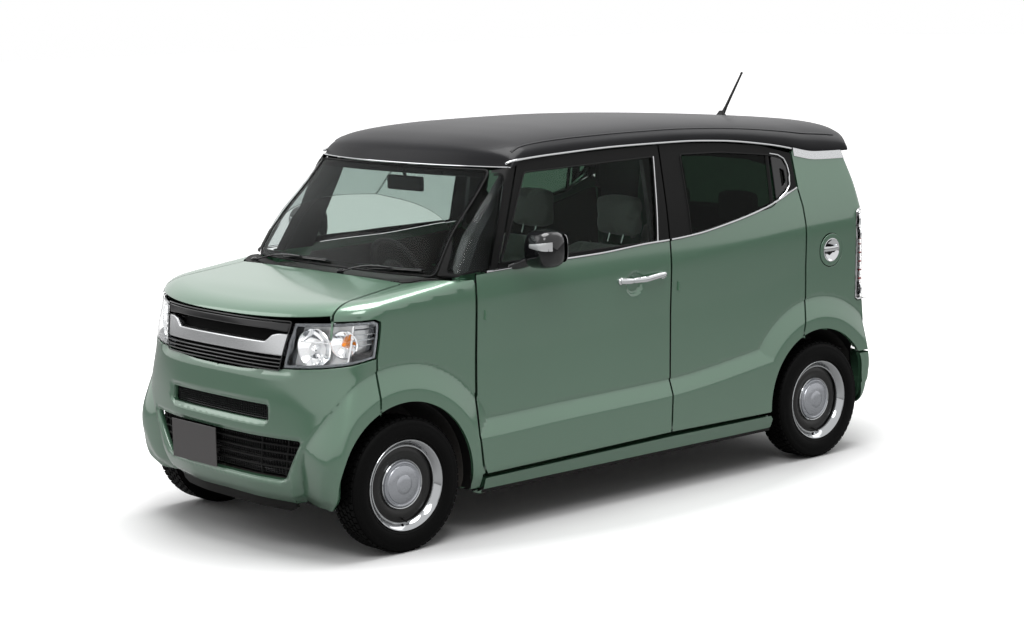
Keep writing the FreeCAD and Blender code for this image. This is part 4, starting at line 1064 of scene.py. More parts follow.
@dataclass(frozen=True)
class Finish:
    """One surface finish of the car, made into a node material.

    Attributes:
        name: the material's name.
        slot: the record's material slot it belongs to; not used.
        colour: base colour, linear.
        second: the colour that its patches or flakes turn to.
        metal: metalness.
        rough: lowest and highest roughness.
        grain: size of the roughness pattern, in patterns a metre.
        bump: height of the grain, metres.
        coat: clear coat weight.
        dust: how much road dust shows low down.
        weave: threads a metre, or nought.
        clear: transmission weight for glass.
        see: alpha, for thin panes.
        ior: index of refraction.
        sheen: sheen weight.
        glow: emission strength of the base colour.
        gloss: specular level.
        split: height over which the finish turns black, metres, or nought.
        coat_ior: index of refraction of the clear coat.
    """

    name: str
    slot: str
    colour: tuple[float, float, float]
    second: Optional[tuple[float, float, float]] = None
    metal: float = 0.0
    rough: tuple[float, float] = (0.3, 0.4)
    grain: float = 60.0
    bump: float = 0.0
    coat: float = 0.0
    dust: float = 0.0
    weave: float = 0.0
    clear: float = 0.0
    see: float = 1.0
    ior: float = 1.5
    sheen: float = 0.0
    glow: float = 0.0
    gloss: float = 0.5
    split: float = 0.0
    coat_ior: float = 1.5

    def material(self) -> bpy.types.Material:
        """The finish's material, made the first time it is asked for."""
        if self.name in bpy.data.materials:
            return bpy.data.materials[self.name]
        made = bpy.data.materials.new(self.name)
        made.use_nodes = True
        tree = made.node_tree
        shader = tree.nodes["Principled BSDF"]
        colour = (*self.colour, 1)
        plain = {"Base Color": colour, "Metallic": self.metal, "IOR": self.ior, "Coat Weight": self.coat,
                 "Coat IOR": self.coat_ior, "Specular IOR Level": self.gloss, "Coat Roughness": 0.09,
                 "Transmission Weight": self.clear, "Sheen Weight": self.sheen}
        if self.see < 1:
            plain["Alpha"] = self.see
        if self.glow:
            plain |= {"Emission Color": colour, "Emission Strength": self.glow}
        cloud = add(tree, "Group", node_tree=CLOUD, Scale=self.grain, Low=self.rough[0],
                    High=self.rough[1]).outputs["Level"]
        for key, value in {**plain, "Roughness": cloud}.items():
            feed(tree, shader.inputs[key], value)
        if self.second:
            flake = add(tree, "Group", node_tree=CLOUD, Scale=self.grain * 3, Low=0.0, High=1.0)
            colour = blend(tree, flake.outputs["Level"], colour, (*self.second, 1))
        if self.dust:
            dust = add(tree, "Group", node_tree=DUST, Amount=self.dust)
            colour = blend(tree, dust.outputs["Mask"], colour, DUST_COLOUR)
        if self.split:
            part = add(tree, "SeparateXYZ", Vector=add(tree, "TexCoord").outputs["Object"])
            over = add(tree, "MapRange", Value=part.outputs["Z"], From_Min=self.split,
                       From_Max=self.split + 0.004)
            colour = blend(tree, over.outputs["Result"], colour, SPLIT_COLOUR)
        feed(tree, shader.inputs["Base Color"], colour)
        if self.bump or self.weave:
            height = cloud
            if self.weave:
                height = add(tree, "Group", node_tree=WEAVE, Scale=self.weave).outputs["Height"]
            bump = add(tree, "Bump", Strength=0.6, Distance=self.bump or 0.0006, Height=height)
            feed(tree, shader.inputs["Normal"], bump.outputs["Normal"])
        made.diffuse_color = (*self.colour, 1)
        return made


PAINT = Finish("sage paint", "body_green", (0.074, 0.180, 0.106), (0.084, 0.198, 0.119), metal=0.30,
               rough=(0.30, 0.36), grain=900, coat=1.0, dust=0.03, coat_ior=1.85)
FRAME_PAINT = Finish("frame paint", "body_green", (0.084, 0.192, 0.114), (0.094, 0.210, 0.128), metal=0.2,
                     rough=(0.35, 0.42), grain=900, coat=0.3, dust=0.1, split=1.10)
ROOF_BLACK = Finish("roof black", "roof_black", (0.006, 0.006, 0.007), (0.009, 0.009, 0.011),
                    rough=(0.36, 0.42), grain=800, coat=0.06, gloss=0.14)
GLOSS_BLACK = Finish("gloss black", "dark_trim", (0.008, 0.008, 0.009), rough=(0.10, 0.16), grain=30,
                     coat=0.3, gloss=0.4)
TRIM_BLACK = Finish("moulded black", "dark_trim", (0.006, 0.006, 0.006), (0.009, 0.009, 0.009),
                    rough=(0.45, 0.6), grain=420, bump=0.0003, dust=0.03, gloss=0.14)
DEEP_BLACK = Finish("unlit black", "dark_trim", (0.003, 0.003, 0.003), rough=(0.7, 0.9), grain=90, gloss=0.1)
CHROME = Finish("bright chrome", "chrome_trim", (0.66, 0.67, 0.68), metal=1.0, rough=(0.06, 0.12), grain=25)
# ring chrome: a darker copy of the bright chrome, its lower brightness a painted dark reflection on the
# wheels' trim rings
RING_CHROME = Finish("ring chrome", "chrome_trim", (0.44, 0.45, 0.46), metal=1.0, rough=(0.06, 0.12),
                     grain=25)
DARK_CHROME = Finish("shadowed chrome", "chrome_trim", (0.16, 0.17, 0.18), metal=1.0, rough=(0.08, 0.16),
                     grain=40)
SATIN = Finish("satin chrome", "chrome_trim", (0.60, 0.61, 0.62), (0.68, 0.69, 0.70), metal=1.0,
               rough=(0.22, 0.32), grain=500)
RUBBER = Finish("tyre rubber", "tyre_rubber", (0.003, 0.003, 0.003), (0.005, 0.005, 0.005),
                rough=(0.45, 0.6), grain=180, bump=0.0003, gloss=0.06)
SEAL = Finish("seal rubber", "dark_trim", (0.010, 0.010, 0.010), rough=(0.55, 0.7), grain=150,
              bump=0.0002, gloss=0.2)
STEEL = Finish("black steel", "rim_steel", (0.005, 0.005, 0.005), rough=(0.25, 0.35), grain=200, coat=0.2,
               dust=0.02, gloss=0.3)
GREY_CAP = Finish("cap silver", "rim_steel", (0.36, 0.375, 0.40), (0.41, 0.42, 0.45), metal=0.85,
                  rough=(0.24, 0.32), grain=400)
BARE = Finish("bare steel", "bare_steel", (0.16, 0.155, 0.15), (0.09, 0.085, 0.08), metal=0.7,
              rough=(0.45, 0.7), grain=35, bump=0.0004, dust=0.5)
UNDER = Finish("underseal", "bare_steel", (0.018, 0.018, 0.018), (0.03, 0.029, 0.028), rough=(0.7, 0.9),
               grain=160, bump=0.001, dust=0.6)
CAST = Finish("cast metal", "cast_metal", (0.22, 0.22, 0.22), (0.13, 0.13, 0.13), metal=0.8,
              rough=(0.45, 0.65), grain=120, bump=0.0008, dust=0.3)
SCREEN_GLASS = Finish("screen glass", "glass_tint", (0.66, 0.70, 0.69), rough=(0.0, 0.02), grain=8,
                      clear=1.0, ior=1.12)
DOOR_GLASS = Finish("door glass", "glass_tint", (0.54, 0.63, 0.58), rough=(0.0, 0.02), grain=8,
                    clear=1.0, ior=1.15)
DARK_GLASS = Finish("privacy glass", "glass_dark", (0.055, 0.095, 0.068), rough=(0.0, 0.02), grain=8,
                    clear=1.0, ior=1.15)
LENS = Finish("clear lens", "lamp_clear", (0.98, 0.98, 0.98), rough=(0.0, 0.02), grain=10, clear=1.0,
              ior=1.12)
RED_LENS = Finish("red lens", "lamp_clear", (0.55, 0.012, 0.012), rough=(0.04, 0.10), grain=20, clear=0.6,
                  ior=1.4)
AMBER = Finish("amber lens", "lamp_clear", (0.85, 0.25, 0.02), rough=(0.06, 0.12), grain=20, glow=0.05)
REFLECTOR = Finish("lamp reflector", "lamp_clear", (0.86, 0.87, 0.88), metal=1.0, rough=(0.06, 0.14),
                   grain=60)
FROST = Finish("lamp frost", "lamp_clear", (0.78, 0.79, 0.80), metal=0.35, rough=(0.15, 0.25), grain=200)
PLATE = Finish("plate grey", "plate_grey", (0.085, 0.08, 0.08), (0.10, 0.095, 0.095), metal=0.3,
               rough=(0.4, 0.5), grain=200)
CLOTH = Finish("seat cloth", "cabin_dark", (0.179, 0.174, 0.172), (0.252, 0.248, 0.242), rough=(0.8, 0.95),
               grain=300, weave=150, sheen=0.35)
CABIN_PLASTIC = Finish("cabin plastic", "dark_trim", (0.040, 0.039, 0.038), (0.052, 0.050, 0.048),
                       rough=(0.5, 0.65), grain=500, bump=0.0004, gloss=0.3)
HEADLINER = Finish("headliner", "cabin_dark", (0.33, 0.32, 0.30), (0.38, 0.37, 0.35), rough=(0.85, 0.95),
                   grain=400, weave=260)
CARPET = Finish("carpet", "cabin_dark", (0.020, 0.019, 0.018), (0.034, 0.032, 0.03), rough=(0.9, 1.0),
                grain=500, bump=0.0015, sheen=0.3)


class Shop:
    """Finishes each piece and hangs it on its body."""

    made = 0

    @classmethod
    def piece(cls, obj: bpy.types.Object, body: str, finishes: Sequence[Finish],
              nodes: Sequence[str] = ()) -> bpy.types.Object:
        """Give a piece its materials, body and the CAD nodes it stands for.

        Args:
            obj: the piece.
            body: the CAD body it moves with.
            finishes: one for each of its material indices.
            nodes: CAD nodes that it replaces.

        Returns:
            The piece.
        """
        obj.data.materials.clear()
        for finish in finishes:
            obj.data.materials.append(finish.material())
        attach(obj, body)
        if nodes:
            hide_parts(*nodes)
        cls.made += 1
        LOG.info("piece %s on %s, %d faces", obj.name, body, len(obj.data.polygons))
        return obj


# ------------------------------------------------------------------ the front of the car
# the lamp, by outline distance round the front and height
LAMP_OUTLINE = [(338, 960), (430, 964), (518, 966), (650, 969), (770, 971), (797, 960), (803, 930),
                (817, 815), (700, 800), (510, 786), (400, 779), (322, 775), (317, 800), (319, 882)]
HOOD_SEAM = [(621, -1534), (616, -1495), (600, -1400), (585, -1250), (571, -1121)]
COWL_EDGE = [(600, -1100), (655, -1035), (694, -965), (709, -905), (713, -864)]
BUMPER_END = -1380.0
LAMP_TOP_CORNER = (518.0, 966.0)


def both_halves(half: Array) -> Array:
    """A left-hand open outline completed with its mirror image."""
    half = np.asarray(half, float)
    return np.concatenate([half, half[::-1] * [-1, 1]])


@dataclass
class FrontEnd:
    """Bumper, grille, lamps and fenders.

    Attributes:
        slot_half: half width of the upper slot.
        slot_low: its lower edge's height.
        slot_high: its upper edge's height.
        intake: the lower intake's left-hand corners, X and height.
        bar_low: lower edge of the grille's bright bar.
        blade_heights: middles of the blades under it.
        plate_middle: X of the number plate's middle.
    """

    slot_half: float = 352.0
    slot_low: float = 556.0
    slot_high: float = 620.0
    intake: tuple = ((532, 488), (436, 326), (410, 316))
    bar_low: float = 823.0
    blade_heights: tuple = (811.0, 796.0, 781.0)
    plate_middle: float = -150.0

    def grille_side(self, z: float) -> float:
        """Half width of the grille at a height."""
        return 412.5 + 0.2207 * (z - 767) - 4

    def bumper_outline(self) -> Array:
        """The bumper's outline by outline distance and height."""
        arch = arch_arc(FRONT_AXLE, 180 + math.degrees(math.asin((AXLE_HEIGHT - 206) / ARCH_EDGE)),
                        arch_angle(BUMPER_END, FRONT_AXLE))
        rim = flat_trace(arch, FRONT, closed=False)
        seam = side_trace([(BUMPER_END, arch[-1][1]), (BUMPER_END, 815)], FRONT, closed=False)
        lamp = np.array([*LAMP_OUTLINE[7:12], (300, 768), (120, 757), (0, 755)])
        low = front_trace([(0, 216), (400, 208), (600, 200)], FRONT, closed=False)
        return both_halves(np.concatenate([low, rim, seam, resample(lamp, 8, closed=False)]))

    def openings(self) -> list[Array]:
        """The upper slot and the lower intake, as outlines on the bumper."""
        h = self.slot_half
        slot = rounded([(-h, self.slot_low), (h, self.slot_low),
                        (h - 4, self.slot_high), (4 - h, self.slot_high)], 14)
        intake = rounded([(-x, z) for x, z in self.intake] + [(x, z) for x, z in self.intake[::-1]], 22)
        return [front_trace(slot, FRONT), front_trace(intake, FRONT)]

    def build(self) -> None:
        """Make every piece of the front that stays still."""
        self.bumper()
        self.grille()
        for side in Side:
            self.fender(side)
            HeadLamp().build(side)
        self.plate()

    def bumper(self) -> None:
        """The painted bumper, its recessed grids and the black lip below."""
        outline, holes = shrink(self.bumper_outline()), self.openings()
        creases = []
        for share in BAND_LINES:
            ring = contour(share, FRONT_AXLE, 90, 184, 60)
            line = flat_trace(ring, FRONT, 9, closed=False)
            creases += [line, line * [-1, 1]]
        chin = flat_trace([(-1600, 386), (-1620, 399), (-1717, 461)], FRONT, 9, closed=False)
        creases += [chin, chin * [-1, 1]]
        for hole in holes:
            creases.append(np.concatenate([offset_outline(hole, 7), offset_outline(hole, 7)[:1]]))

        def face(p: Array) -> Array:
            """The bumper's face, chamfered round its openings."""
            base = FRONT_FACE(p)
            gap = np.full(len(p), 99.0)
            for hole in holes:
                near = np.array([np.sqrt(((q - hole) ** 2).sum(1)).min() for q in p])
                gap = np.minimum(gap, near)
            lip = 9.0 * smooth(17.0, 1.0, gap)
            below = 10.0 * smooth(736.0, 760.0, p[:, 1]) * smooth(400.0, 330.0, np.abs(p[:, 0]))
            base[:, 1] += lip + below
            return base

        skin = Panel(face, outline, holes, creases, step=15, thick=20)
        Shop.piece(skin.build("front_bumper_skin"), "body", [PAINT, TRIM_BLACK], ["front_bumper"])
        back = Panel(set_in(FRONT_FACE, 62), front_trace([(-505, 296), (505, 296), (505, 640), (-505, 640)]),
                     step=40, thick=4)
        Shop.piece(back.build("bumper_backing"), "body", [DEEP_BLACK, DEEP_BLACK])
        self.mesh_grid("slot_mesh", (-346, 346), (552, 626), 12.0, 9.0, 34)
        self.bars()
        inner = set_in(FRONT_FACE, 14)

        def chin_face(p: Array) -> Array:
            """The lip's face, hanging from the bumper's lower edge."""
            q = inner(np.stack([p[:, 0], np.full(len(p), 224.0)], 1))
            return np.stack([q[:, 0], q[:, 1] + 0.3 * (224 - p[:, 1]), p[:, 1]], 1)

        lip_line = [(-430, 188), (-390, 172), (390, 172), (430, 188), (436, 228), (-436, 228)]
        lip = Panel(chin_face, front_trace(lip_line), step=18, thick=14)
        Shop.piece(lip.build("bumper_lip"), "body", [TRIM_BLACK, TRIM_BLACK])

    def mesh_grid(self, name: str, xs: tuple, zs: tuple, pitch_x: float, pitch_z: float,
                  depth: float) -> None:
        """A black grid of thin bars filling an opening.

        Args:
            name: the piece's name.
            xs: its ends across the car.
            zs: its lower and upper edges.
            pitch_x: spacing of the upright bars.
            pitch_z: spacing of the level bars.
            depth: how far in from the face it stands.
        """
        face = set_in(FRONT_FACE, depth)
        soup = Soup()
        level = np.arange(zs[0], zs[1] + 1, pitch_z)
        across = np.arange(xs[0], xs[1] + 1, 24.0)
        for z in level:
            path = face(front_trace([(x, z) for x in across], closed=False, step=60))
            soup.tube(path, 1.3, sides=4)
        for x in np.arange(xs[0], xs[1] + 1, pitch_x):
            path = face(front_trace([(x, zs[0]), (x, zs[1])], closed=False, step=60))
            soup.tube(path, 1.3, sides=4, up=(1, 0, 0))
        Shop.piece(soup.build(name, weld=False), "body", [GLOSS_BLACK])

    def bars(self) -> None:
        """The lower intake's level bars and uprights."""
        soup = Soup()
        face = set_in(FRONT_FACE, 30)
        for z, half in ((360, 448), (392, 466), (424, 486), (456, 506)):
            path = face(front_trace([(-half, z), (half, z)], closed=False, step=30))
            soup.tube(path, 4.2, sides=8, flat=0.8)
        for x in (-452, -300, 300, 452):
            path = face(front_trace([(x * 0.93, 322), (x, 484)], closed=False, step=20))
            soup.tube(path, 4.0, sides=8, up=(1, 0, 0))
        Shop.piece(soup.build("intake_bars"), "body", [TRIM_BLACK])
        self.mesh_grid("intake_mesh", (-500, 500), (322, 486), 16.0, 9.0, 48)

    def grille(self) -> None:
        """The gloss strip, the bright bar under its dark slot, and the thin blades."""
        side = self.grille_side
        whole = [(-side(765), 765), (side(765), 765), (side(962), 962), (-side(962), 962)]
        back = Panel(set_in(FRONT_FACE, 46), front_trace(whole), step=30, thick=3)
        Shop.piece(back.build("grille_backing"), "body", [DEEP_BLACK, DEEP_BLACK], ["grille"])
        strip = rounded([(-side(926) + 8, 921), (-330, 927), (330, 927), (side(926) - 8, 921),
                         (side(958), 957), (-side(958), 957)], 6)
        made = Panel(set_in(FRONT_FACE, 2), front_trace(strip), step=16, roll=5, thick=40)
        Shop.piece(made.build("grille_strip"), "body", [GLOSS_BLACK, GLOSS_BLACK])
        low = self.bar_low
        bar = rounded([(-side(916), 914), (-386, 914), (-350, 906), (-312, 877), (312, 877), (350, 906),
                       (386, 914), (side(916), 914), (side(low), low), (-side(low), low)], 9)
        made = Panel(set_in(FRONT_FACE, 4), front_trace(bar), step=14, roll=7, thick=42)
        Shop.piece(made.build("grille_bar"), "body", [SATIN, CHROME])
        soup = Soup()
        face = set_in(FRONT_FACE, 10)
        for z in self.blade_heights:
            half = side(z) - 2
            for x0, x1, slot in ((-half, -296, 1), (-295, 295, 0), (296, half, 1)):
                path = face(front_trace([(x0, z), (x1, z)], closed=False, step=14))
                soup.tube(path, 9.0, sides=12, flat=0.5, slot=slot)
        Shop.piece(soup.build("grille_blades"), "body", [GLOSS_BLACK, CHROME])
        rim = Soup()
        edge = [(-side(766), 766), (side(766), 766), (side(962), 963), (-side(962), 963)]
        rim.tube(set_in(FRONT_FACE, 3)(front_trace(rounded(edge, 10), step=12)), 3.0, closed=True)
        Shop.piece(rim.build("grille_rim"), "body", [GLOSS_BLACK])

    def fender(self, side: Side) -> None:
        """One front fender with its flare, rolled over onto the hood's height."""
        over = arch_arc(FRONT_AXLE, arch_angle(BUMPER_END, FRONT_AXLE), -height_angle(AXLE_HEIGHT * 2 - 198))
        low = [(-846, 196), (-846, 256), (-832, 262), (-850, 300), (-863.5, 420), (-863.5, 1040)]
        wall = side_trace(np.concatenate([over, low]), FRONT, closed=False)
        at = wall[-1] + [0, 40]
        top = []
        for target in resample(COWL_EDGE[::-1] + HOOD_SEAM[::-1], 10, closed=False):
            at = seek(fender_surface, target, at)
            top.append(at)
        lamp = resample([(534, 966.4), *LAMP_OUTLINE[3:8]], 8, False)
        seam = side_trace([(BUMPER_END, 812), (BUMPER_END, 600)], FRONT, closed=False)
        outline = np.concatenate([wall, np.array(top), lamp, seam])
        creases = []
        for line in SIDE_CREASES:
            part = line[(line[:, 0] < -862) & (line[:, 1] < 985)]
            if len(part) > 2:
                creases.append(flat_trace(part, FRONT, 10, closed=False))
        skin = Panel(fender_surface, shrink(outline), (), creases, step=15, thick=14)
        nodes = ["front_fenders"] if side is Side.LEFT else []
        Shop.piece(skin.build(f"front_fender_{side.word}", side), "body", [PAINT, TRIM_BLACK], nodes)
        liner = Soup()
        ring = arch_arc(FRONT_AXLE, -12, 192, ARCH_EDGE + 6, 48)
        ring[:, 0] += 44 * smooth(350.0, 262.0, ring[:, 1]) * (ring[:, 0] < FRONT_AXLE)
        reach = 718 - 160 * smooth(-1490.0, -1570.0, ring[:, 0])
        rows = np.array([[(x, y, z) for x in (far, 0.4 * far + 258, 520, 430)]
                         for far, (y, z) in zip(reach, ring)])
        liner.grid(rows)
        Shop.piece(liner.build(f"front_liner_{side.word}", side), "body", [TRIM_BLACK])

    def plate(self) -> None:
        """The blank number plate and the holder behind it."""
        at = self.plate_middle
        soup = Soup().box((at - 165, NOSE + 0.3, 320), (at + 165, NOSE + 5, 485), 2.0)
        soup.box((at - 150, NOSE + 5, 332), (at + 150, NOSE + 12, 473), 2.0, slot=1)
        for x in (at - 98, at + 98):
            soup.lathe([(-0.2, 0.1), (-0.2, 7), (3, 7)], (x, NOSE + 0.6, 466), (0, 1, 0), 24, slot=2)
            soup.box((x - 10, NOSE + 10, 370), (x + 10, NOSE + 60, 400), 2, slot=1)
        Shop.piece(soup.build("plate_blank"), "body", [PLATE, TRIM_BLACK, CHROME], ["number_plate"])


@dataclass
class HeadLamp:
    """A headlamp: clear cover, deep bezel, two bowls, slats and a dark corner block.

    Attributes:
        depth: how deep the housing is.
        main: the large bowl's place on the face and its radius.
        turn: the smaller bowl's place and radius.
    """

    depth: float = 74.0
    main: tuple = (432.0, 868.0, 76.0)
    turn: tuple = (607.0, 884.0, 52.0)

    def bowl(self, soup: Soup, at: tuple, sink: float) -> tuple[Array, Array]:
        """A polished bowl with a stepped rim, opening forward."""
        centre, normal = place_on(FRONT_FACE, at[0], at[1], sink)
        normal = normal * [0.75, 1, 0]
        normal /= np.linalg.norm(normal)
        r = at[2]
        outline = [(2, r + 6), (6, r + 2), (4, r)] + [
            (-0.55 * r * (1 - (k / 10) ** 2) + 2, r * k / 10) for k in range(10, 1, -1)] + [(-0.54 * r, 0.1)]
        soup.lathe(outline, centre, normal, 56)
        return centre, normal

    def build(self, side: Side) -> None:
        """Make one lamp."""
        outline = shrink(resample(LAMP_OUTLINE, 7))
        pane = Panel(FRONT_FACE, outline, step=16, roll=4, thick=4)
        nodes = ["headlamps"] if side is Side.LEFT else []
        Shop.piece(pane.build(f"lamp_cover_{side.word}", side), "body", [LENS, LENS], nodes)
        bezel = Panel(set_in(FRONT_FACE, 7), shrink(outline, 1.0), [shrink(outline, 13.0)], step=12, roll=3,
                      thick=self.depth)
        Shop.piece(bezel.build(f"lamp_bezel_{side.word}", side), "body", [DARK_CHROME, REFLECTOR])
        back = Panel(set_in(FRONT_FACE, self.depth - 12), shrink(outline, 6.0), step=16, thick=3)
        Shop.piece(back.build(f"lamp_back_{side.word}", side), "body", [FROST, FROST])
        soup = Soup()
        centre, normal = self.bowl(soup, self.main, 34)
        tangent = np.cross(normal, [0, 0, 1.0])
        tangent /= np.linalg.norm(tangent)
        r = self.main[2]
        soup.tube(np.array([centre + tangent * t * r + normal * -6 for t in np.linspace(-0.95, 0.95, 9)])
                  + [0, 0, r * 0.28], 4.5, flat=0.7)
        soup.lathe([(-30, 13), (2, 13), (8, 9), (10, 0.1)], centre + [0, 0, -2], normal, 28)
        soup.lathe([(-34, 26), (-4, 26), (0, 22), (-8, 19), (-20, 0.1)], centre + [0, 0, -0.62 * r], normal,
                   32)
        centre2, normal2 = self.bowl(soup, self.turn, 34)
        for k in range(12):
            a = k * math.pi / 6
            ray = tangent * math.cos(a) + np.array([0, 0, 1.0]) * math.sin(a)
            start, end = centre2 - normal2 * 16 + ray * 18, centre2 - normal2 + ray * (self.turn[2] - 3)
            soup.tube(np.array([start, end]), 1.6, sides=6, up=tuple(normal2))
        Shop.piece(soup.build(f"lamp_bowls_{side.word}", side), "body", [REFLECTOR])
        bulb = Soup().lathe([(-26, 9), (-6, 10), (2, 8), (6, 0.1)], centre2, normal2, 24)
        low = set_in(FRONT_FACE, 24)
        Shop.piece(bulb.build(f"lamp_bulb_{side.word}", side), "body", [AMBER])
        slats = Soup()
        for z in (938, 917, 896, 875):
            path = low(np.stack([np.linspace(668, 792, 12), np.full(12, float(z))], 1))
            slats.tube(path, 11.0, sides=10, flat=0.28)
        step = low(np.array([(660.0, z) for z in np.linspace(800, 955, 12)]))
        slats.tube(step, 5.0, sides=8, up=(1, 0, 0))
        Shop.piece(slats.build(f"lamp_slats_{side.word}", side), "body", [REFLECTOR])
        block = Panel(set_in(FRONT_FACE, 12), np.array([(676, 812), (800, 824), (796, 848), (676, 842)]),
                      step=14, roll=3, thick=30)
        Shop.piece(block.build(f"lamp_block_{side.word}", side), "body", [GLOSS_BLACK, GLOSS_BLACK])


@dataclass
class Hood:
    """The hood with its inner frame, and the cowl with the wipers behind it."""

    rear: float = -1121.0

    def outline(self) -> Array:
        """The hood's outline by X and Y."""
        s = np.linspace(5, LAMP_TOP_CORNER[0], 70)
        y = FRONT.place(s, np.full_like(s, SHOULDER_LEVEL))[1]
        rim = FRONT_FACE(np.stack([s, shoulder_start(y)], 1))[:, :2] + [0, 0.4]
        back = [(300, self.rear + 3), (0, self.rear + 4)]
        half = np.concatenate([rim, resample(HOOD_SEAM, 9, closed=False), back])
        return both_halves(half)

    def build(self) -> None:
        """Make the hood, the cowl and the wipers."""
        outline = shrink(self.outline())
        creases = []
        for depth in (1.5, 4, 8, 13, 19, 26, 35, 46, 60, 78, 98):
            s = np.linspace(-640, 640, 150)
            base = fender_surface(np.stack([s, np.full_like(s, 900.0)], 1))
            near = FRONT_FACE(np.stack([s, shoulder_start(base[:, 1])], 1))[:, :2]
            step = np.gradient(near, axis=0)
            n = np.stack([-step[:, 1], step[:, 0]], 1)
            n /= np.linalg.norm(n, axis=1)[:, None]
            creases.append(near + n * depth)
        skin = Panel(hood_surface, outline, (), creases, step=15, thick=9, roll=2.0)
        Shop.piece(skin.build("hood_skin"), "hood", [PAINT, PAINT], ["hood"])
        frame_line = both_halves(resample([(0, -1572), (260, -1556), (440, -1500), (505, -1420), (515, -1260),
                                           (490, -1170), (0, -1166)], 12, closed=False))
        holes = [rounded([(60, -1500), (400, -1440), (370, -1290), (60, -1290)], 50),
                 rounded([(-60, -1500), (-400, -1440), (-370, -1290), (-60, -1290)], 50)]
        inner = Panel(lambda p: hood_surface(p) - [0, 0, 12], frame_line, holes, step=26, thick=14,
                      inward=(0, 0, -1))
        Shop.piece(inner.build("hood_frame"), "hood", [PAINT, PAINT])
        arms = Soup()
        for x in (-492, 492):
            arms.box((x - 12, -1180, 1040), (x + 12, -1128, 1062), 3)
        Shop.piece(arms.build("hood_hinges"), "hood", [BARE])
        self.cowl()
        self.wipers()

    def cowl(self) -> None:
        """The black panel between hood and windscreen, with its louvres."""
        s = np.array([CABIN.from_width(x, 1075) for x in np.linspace(650, -650, 60)])
        x, y, _ = CABIN.place(s, np.full_like(s, 1075.0))
        rear = np.stack([np.sign(s) * x, y + 14], 1)
        front = [(-650, -1030), (-598, -1097), (-571, -1117), (571, -1117), (598, -1097), (650, -1030)]

        def face(p: Array) -> Array:
            """The cowl dips behind the hood and rises to the glass and the ends."""
            z = 1067 + 22 * smooth(350.0, 680.0, np.abs(p[:, 0]))
            z = z + 6 * smooth(-1108.0, -1060.0, p[:, 1])
            return np.stack([p[:, 0], p[:, 1], z], 1)

        louvres = []
        for x0 in np.arange(-500, 501, 25):
            louvres.append(np.array([(x0 - 8, -1104), (x0 + 8, -1104), (x0 + 8, -1086), (x0 - 8, -1086)],
                                    float))
        panel = Panel(face, np.concatenate([np.array(front, float), rear]), louvres, step=20, thick=5,
                      roll=1.2)
        Shop.piece(panel.build("cowl_cover"), "body", [TRIM_BLACK, TRIM_BLACK], ["cowl_panel"])
        tray = Soup().box((-600, -1112, 1030), (600, -1070, 1040), 2)
        Shop.piece(tray.build("cowl_tray"), "body", [DEEP_BLACK])

    def wipers(self) -> None:
        """Two wipers lying along the foot of the windscreen."""
        soup = Soup()
        glass = set_in(CABIN_FACE, -9)
        for pivot, tip in ((120.0, 560.0), (-520.0, -40.0)):
            xs = np.linspace(pivot, tip, 14)
            rise = 1088 + 26 * np.sin(np.linspace(0.2, 1.0, 14) * math.pi / 2)
            blade = glass(np.array([(CABIN.from_width(x, z), z) for x, z in zip(xs, rise)]))
            soup.tube(blade[4:], 5.0, sides=8, flat=0.7)
            soup.tube(blade[4:] + [0, 2, 5], 2.2, sides=6)
            start = np.array([pivot - 30 * np.sign(tip - pivot), -1082.0, 1082.0])
            mid = blade[8] + [0, -6, 8]
            path = np.array([start + (mid - start) * t + [0, 0, 16 * math.sin(t * math.pi)]
                             for t in np.linspace(0, 1, 10)])
            soup.tube(path, 6.0, sides=8, flat=0.6)
            soup.lathe([(-8, 15), (12, 15), (18, 11), (20, 0.1)], start - [0, 0, 6], (0, 0, 1), 24)
        Shop.piece(soup.build("wiper_arms"), "body", [GLOSS_BLACK], ["wipers"])


# ------------------------------------------------------------------ the sides
FRONT_DOOR = [(-827, 256), (-847, 300), (-861, 420), (-861, 1102), (-741, 1108), (-561, 1544), (-500, 1551),
              (-316, 1559), (277, 1565), (277, 509), (262, 270)]
REAR_EDGE = [(1148, 1300), (1158, 1262), (1171, 1212), (1180, 1130), (1182, 950), (1184, 868), (1184, 760)]
REAR_FOOT = arch_angle(1151, REAR_AXLE)
REAR_DOOR = [(277, 509), (277, 1565), (409.5, 1562), (668.5, 1549), (936.5, 1519), (1134.5, 1471), *REAR_EDGE,
             *map(tuple, arch_arc(REAR_AXLE, REAR_FOOT, 181, count=30)), (924, 264), (262, 270)]
FRONT_PANE = [(-719, 1134), (-531, 1497), (232, 1512), (196, 1142)]
REAR_PANE = [(401, 1511), (668.5, 1503), (970.5, 1472), (1084.5, 1440), (1094.5, 1304), (960.5, 1230),
             (415, 1148)]
CORNER_PANE = [(-971, 1118), (-755, 1494), (-637, 1498), (-783, 1118)]
REAR_DIVIDER = [(961, 1228), (972, 1474)]
REAR_HOOK = [(985, 1476), (1040, 1466), (1078, 1446), (1096, 1412), (1102, 1370), (1094, 1322), (1066, 1292),
             (985, 1248)]
DRIP = [(-900, 1516), (-690, 1518), (-566, 1549), (-316, 1562), (37.5, 1570), (409.5, 1567), (668.5, 1554),
        (936.5, 1524), (1143.5, 1487), (1231.5, 1460), (1796, 1460)]


def belt_points(y0: float, y1: float, lift: float = 0.0, step: float = 14.0) -> Array:
    """The waist line between two stations."""
    y = np.arange(y0, y1, step)
    y = np.append(y, y1)
    return np.stack([y, BELTLINE(y) + lift], 1)


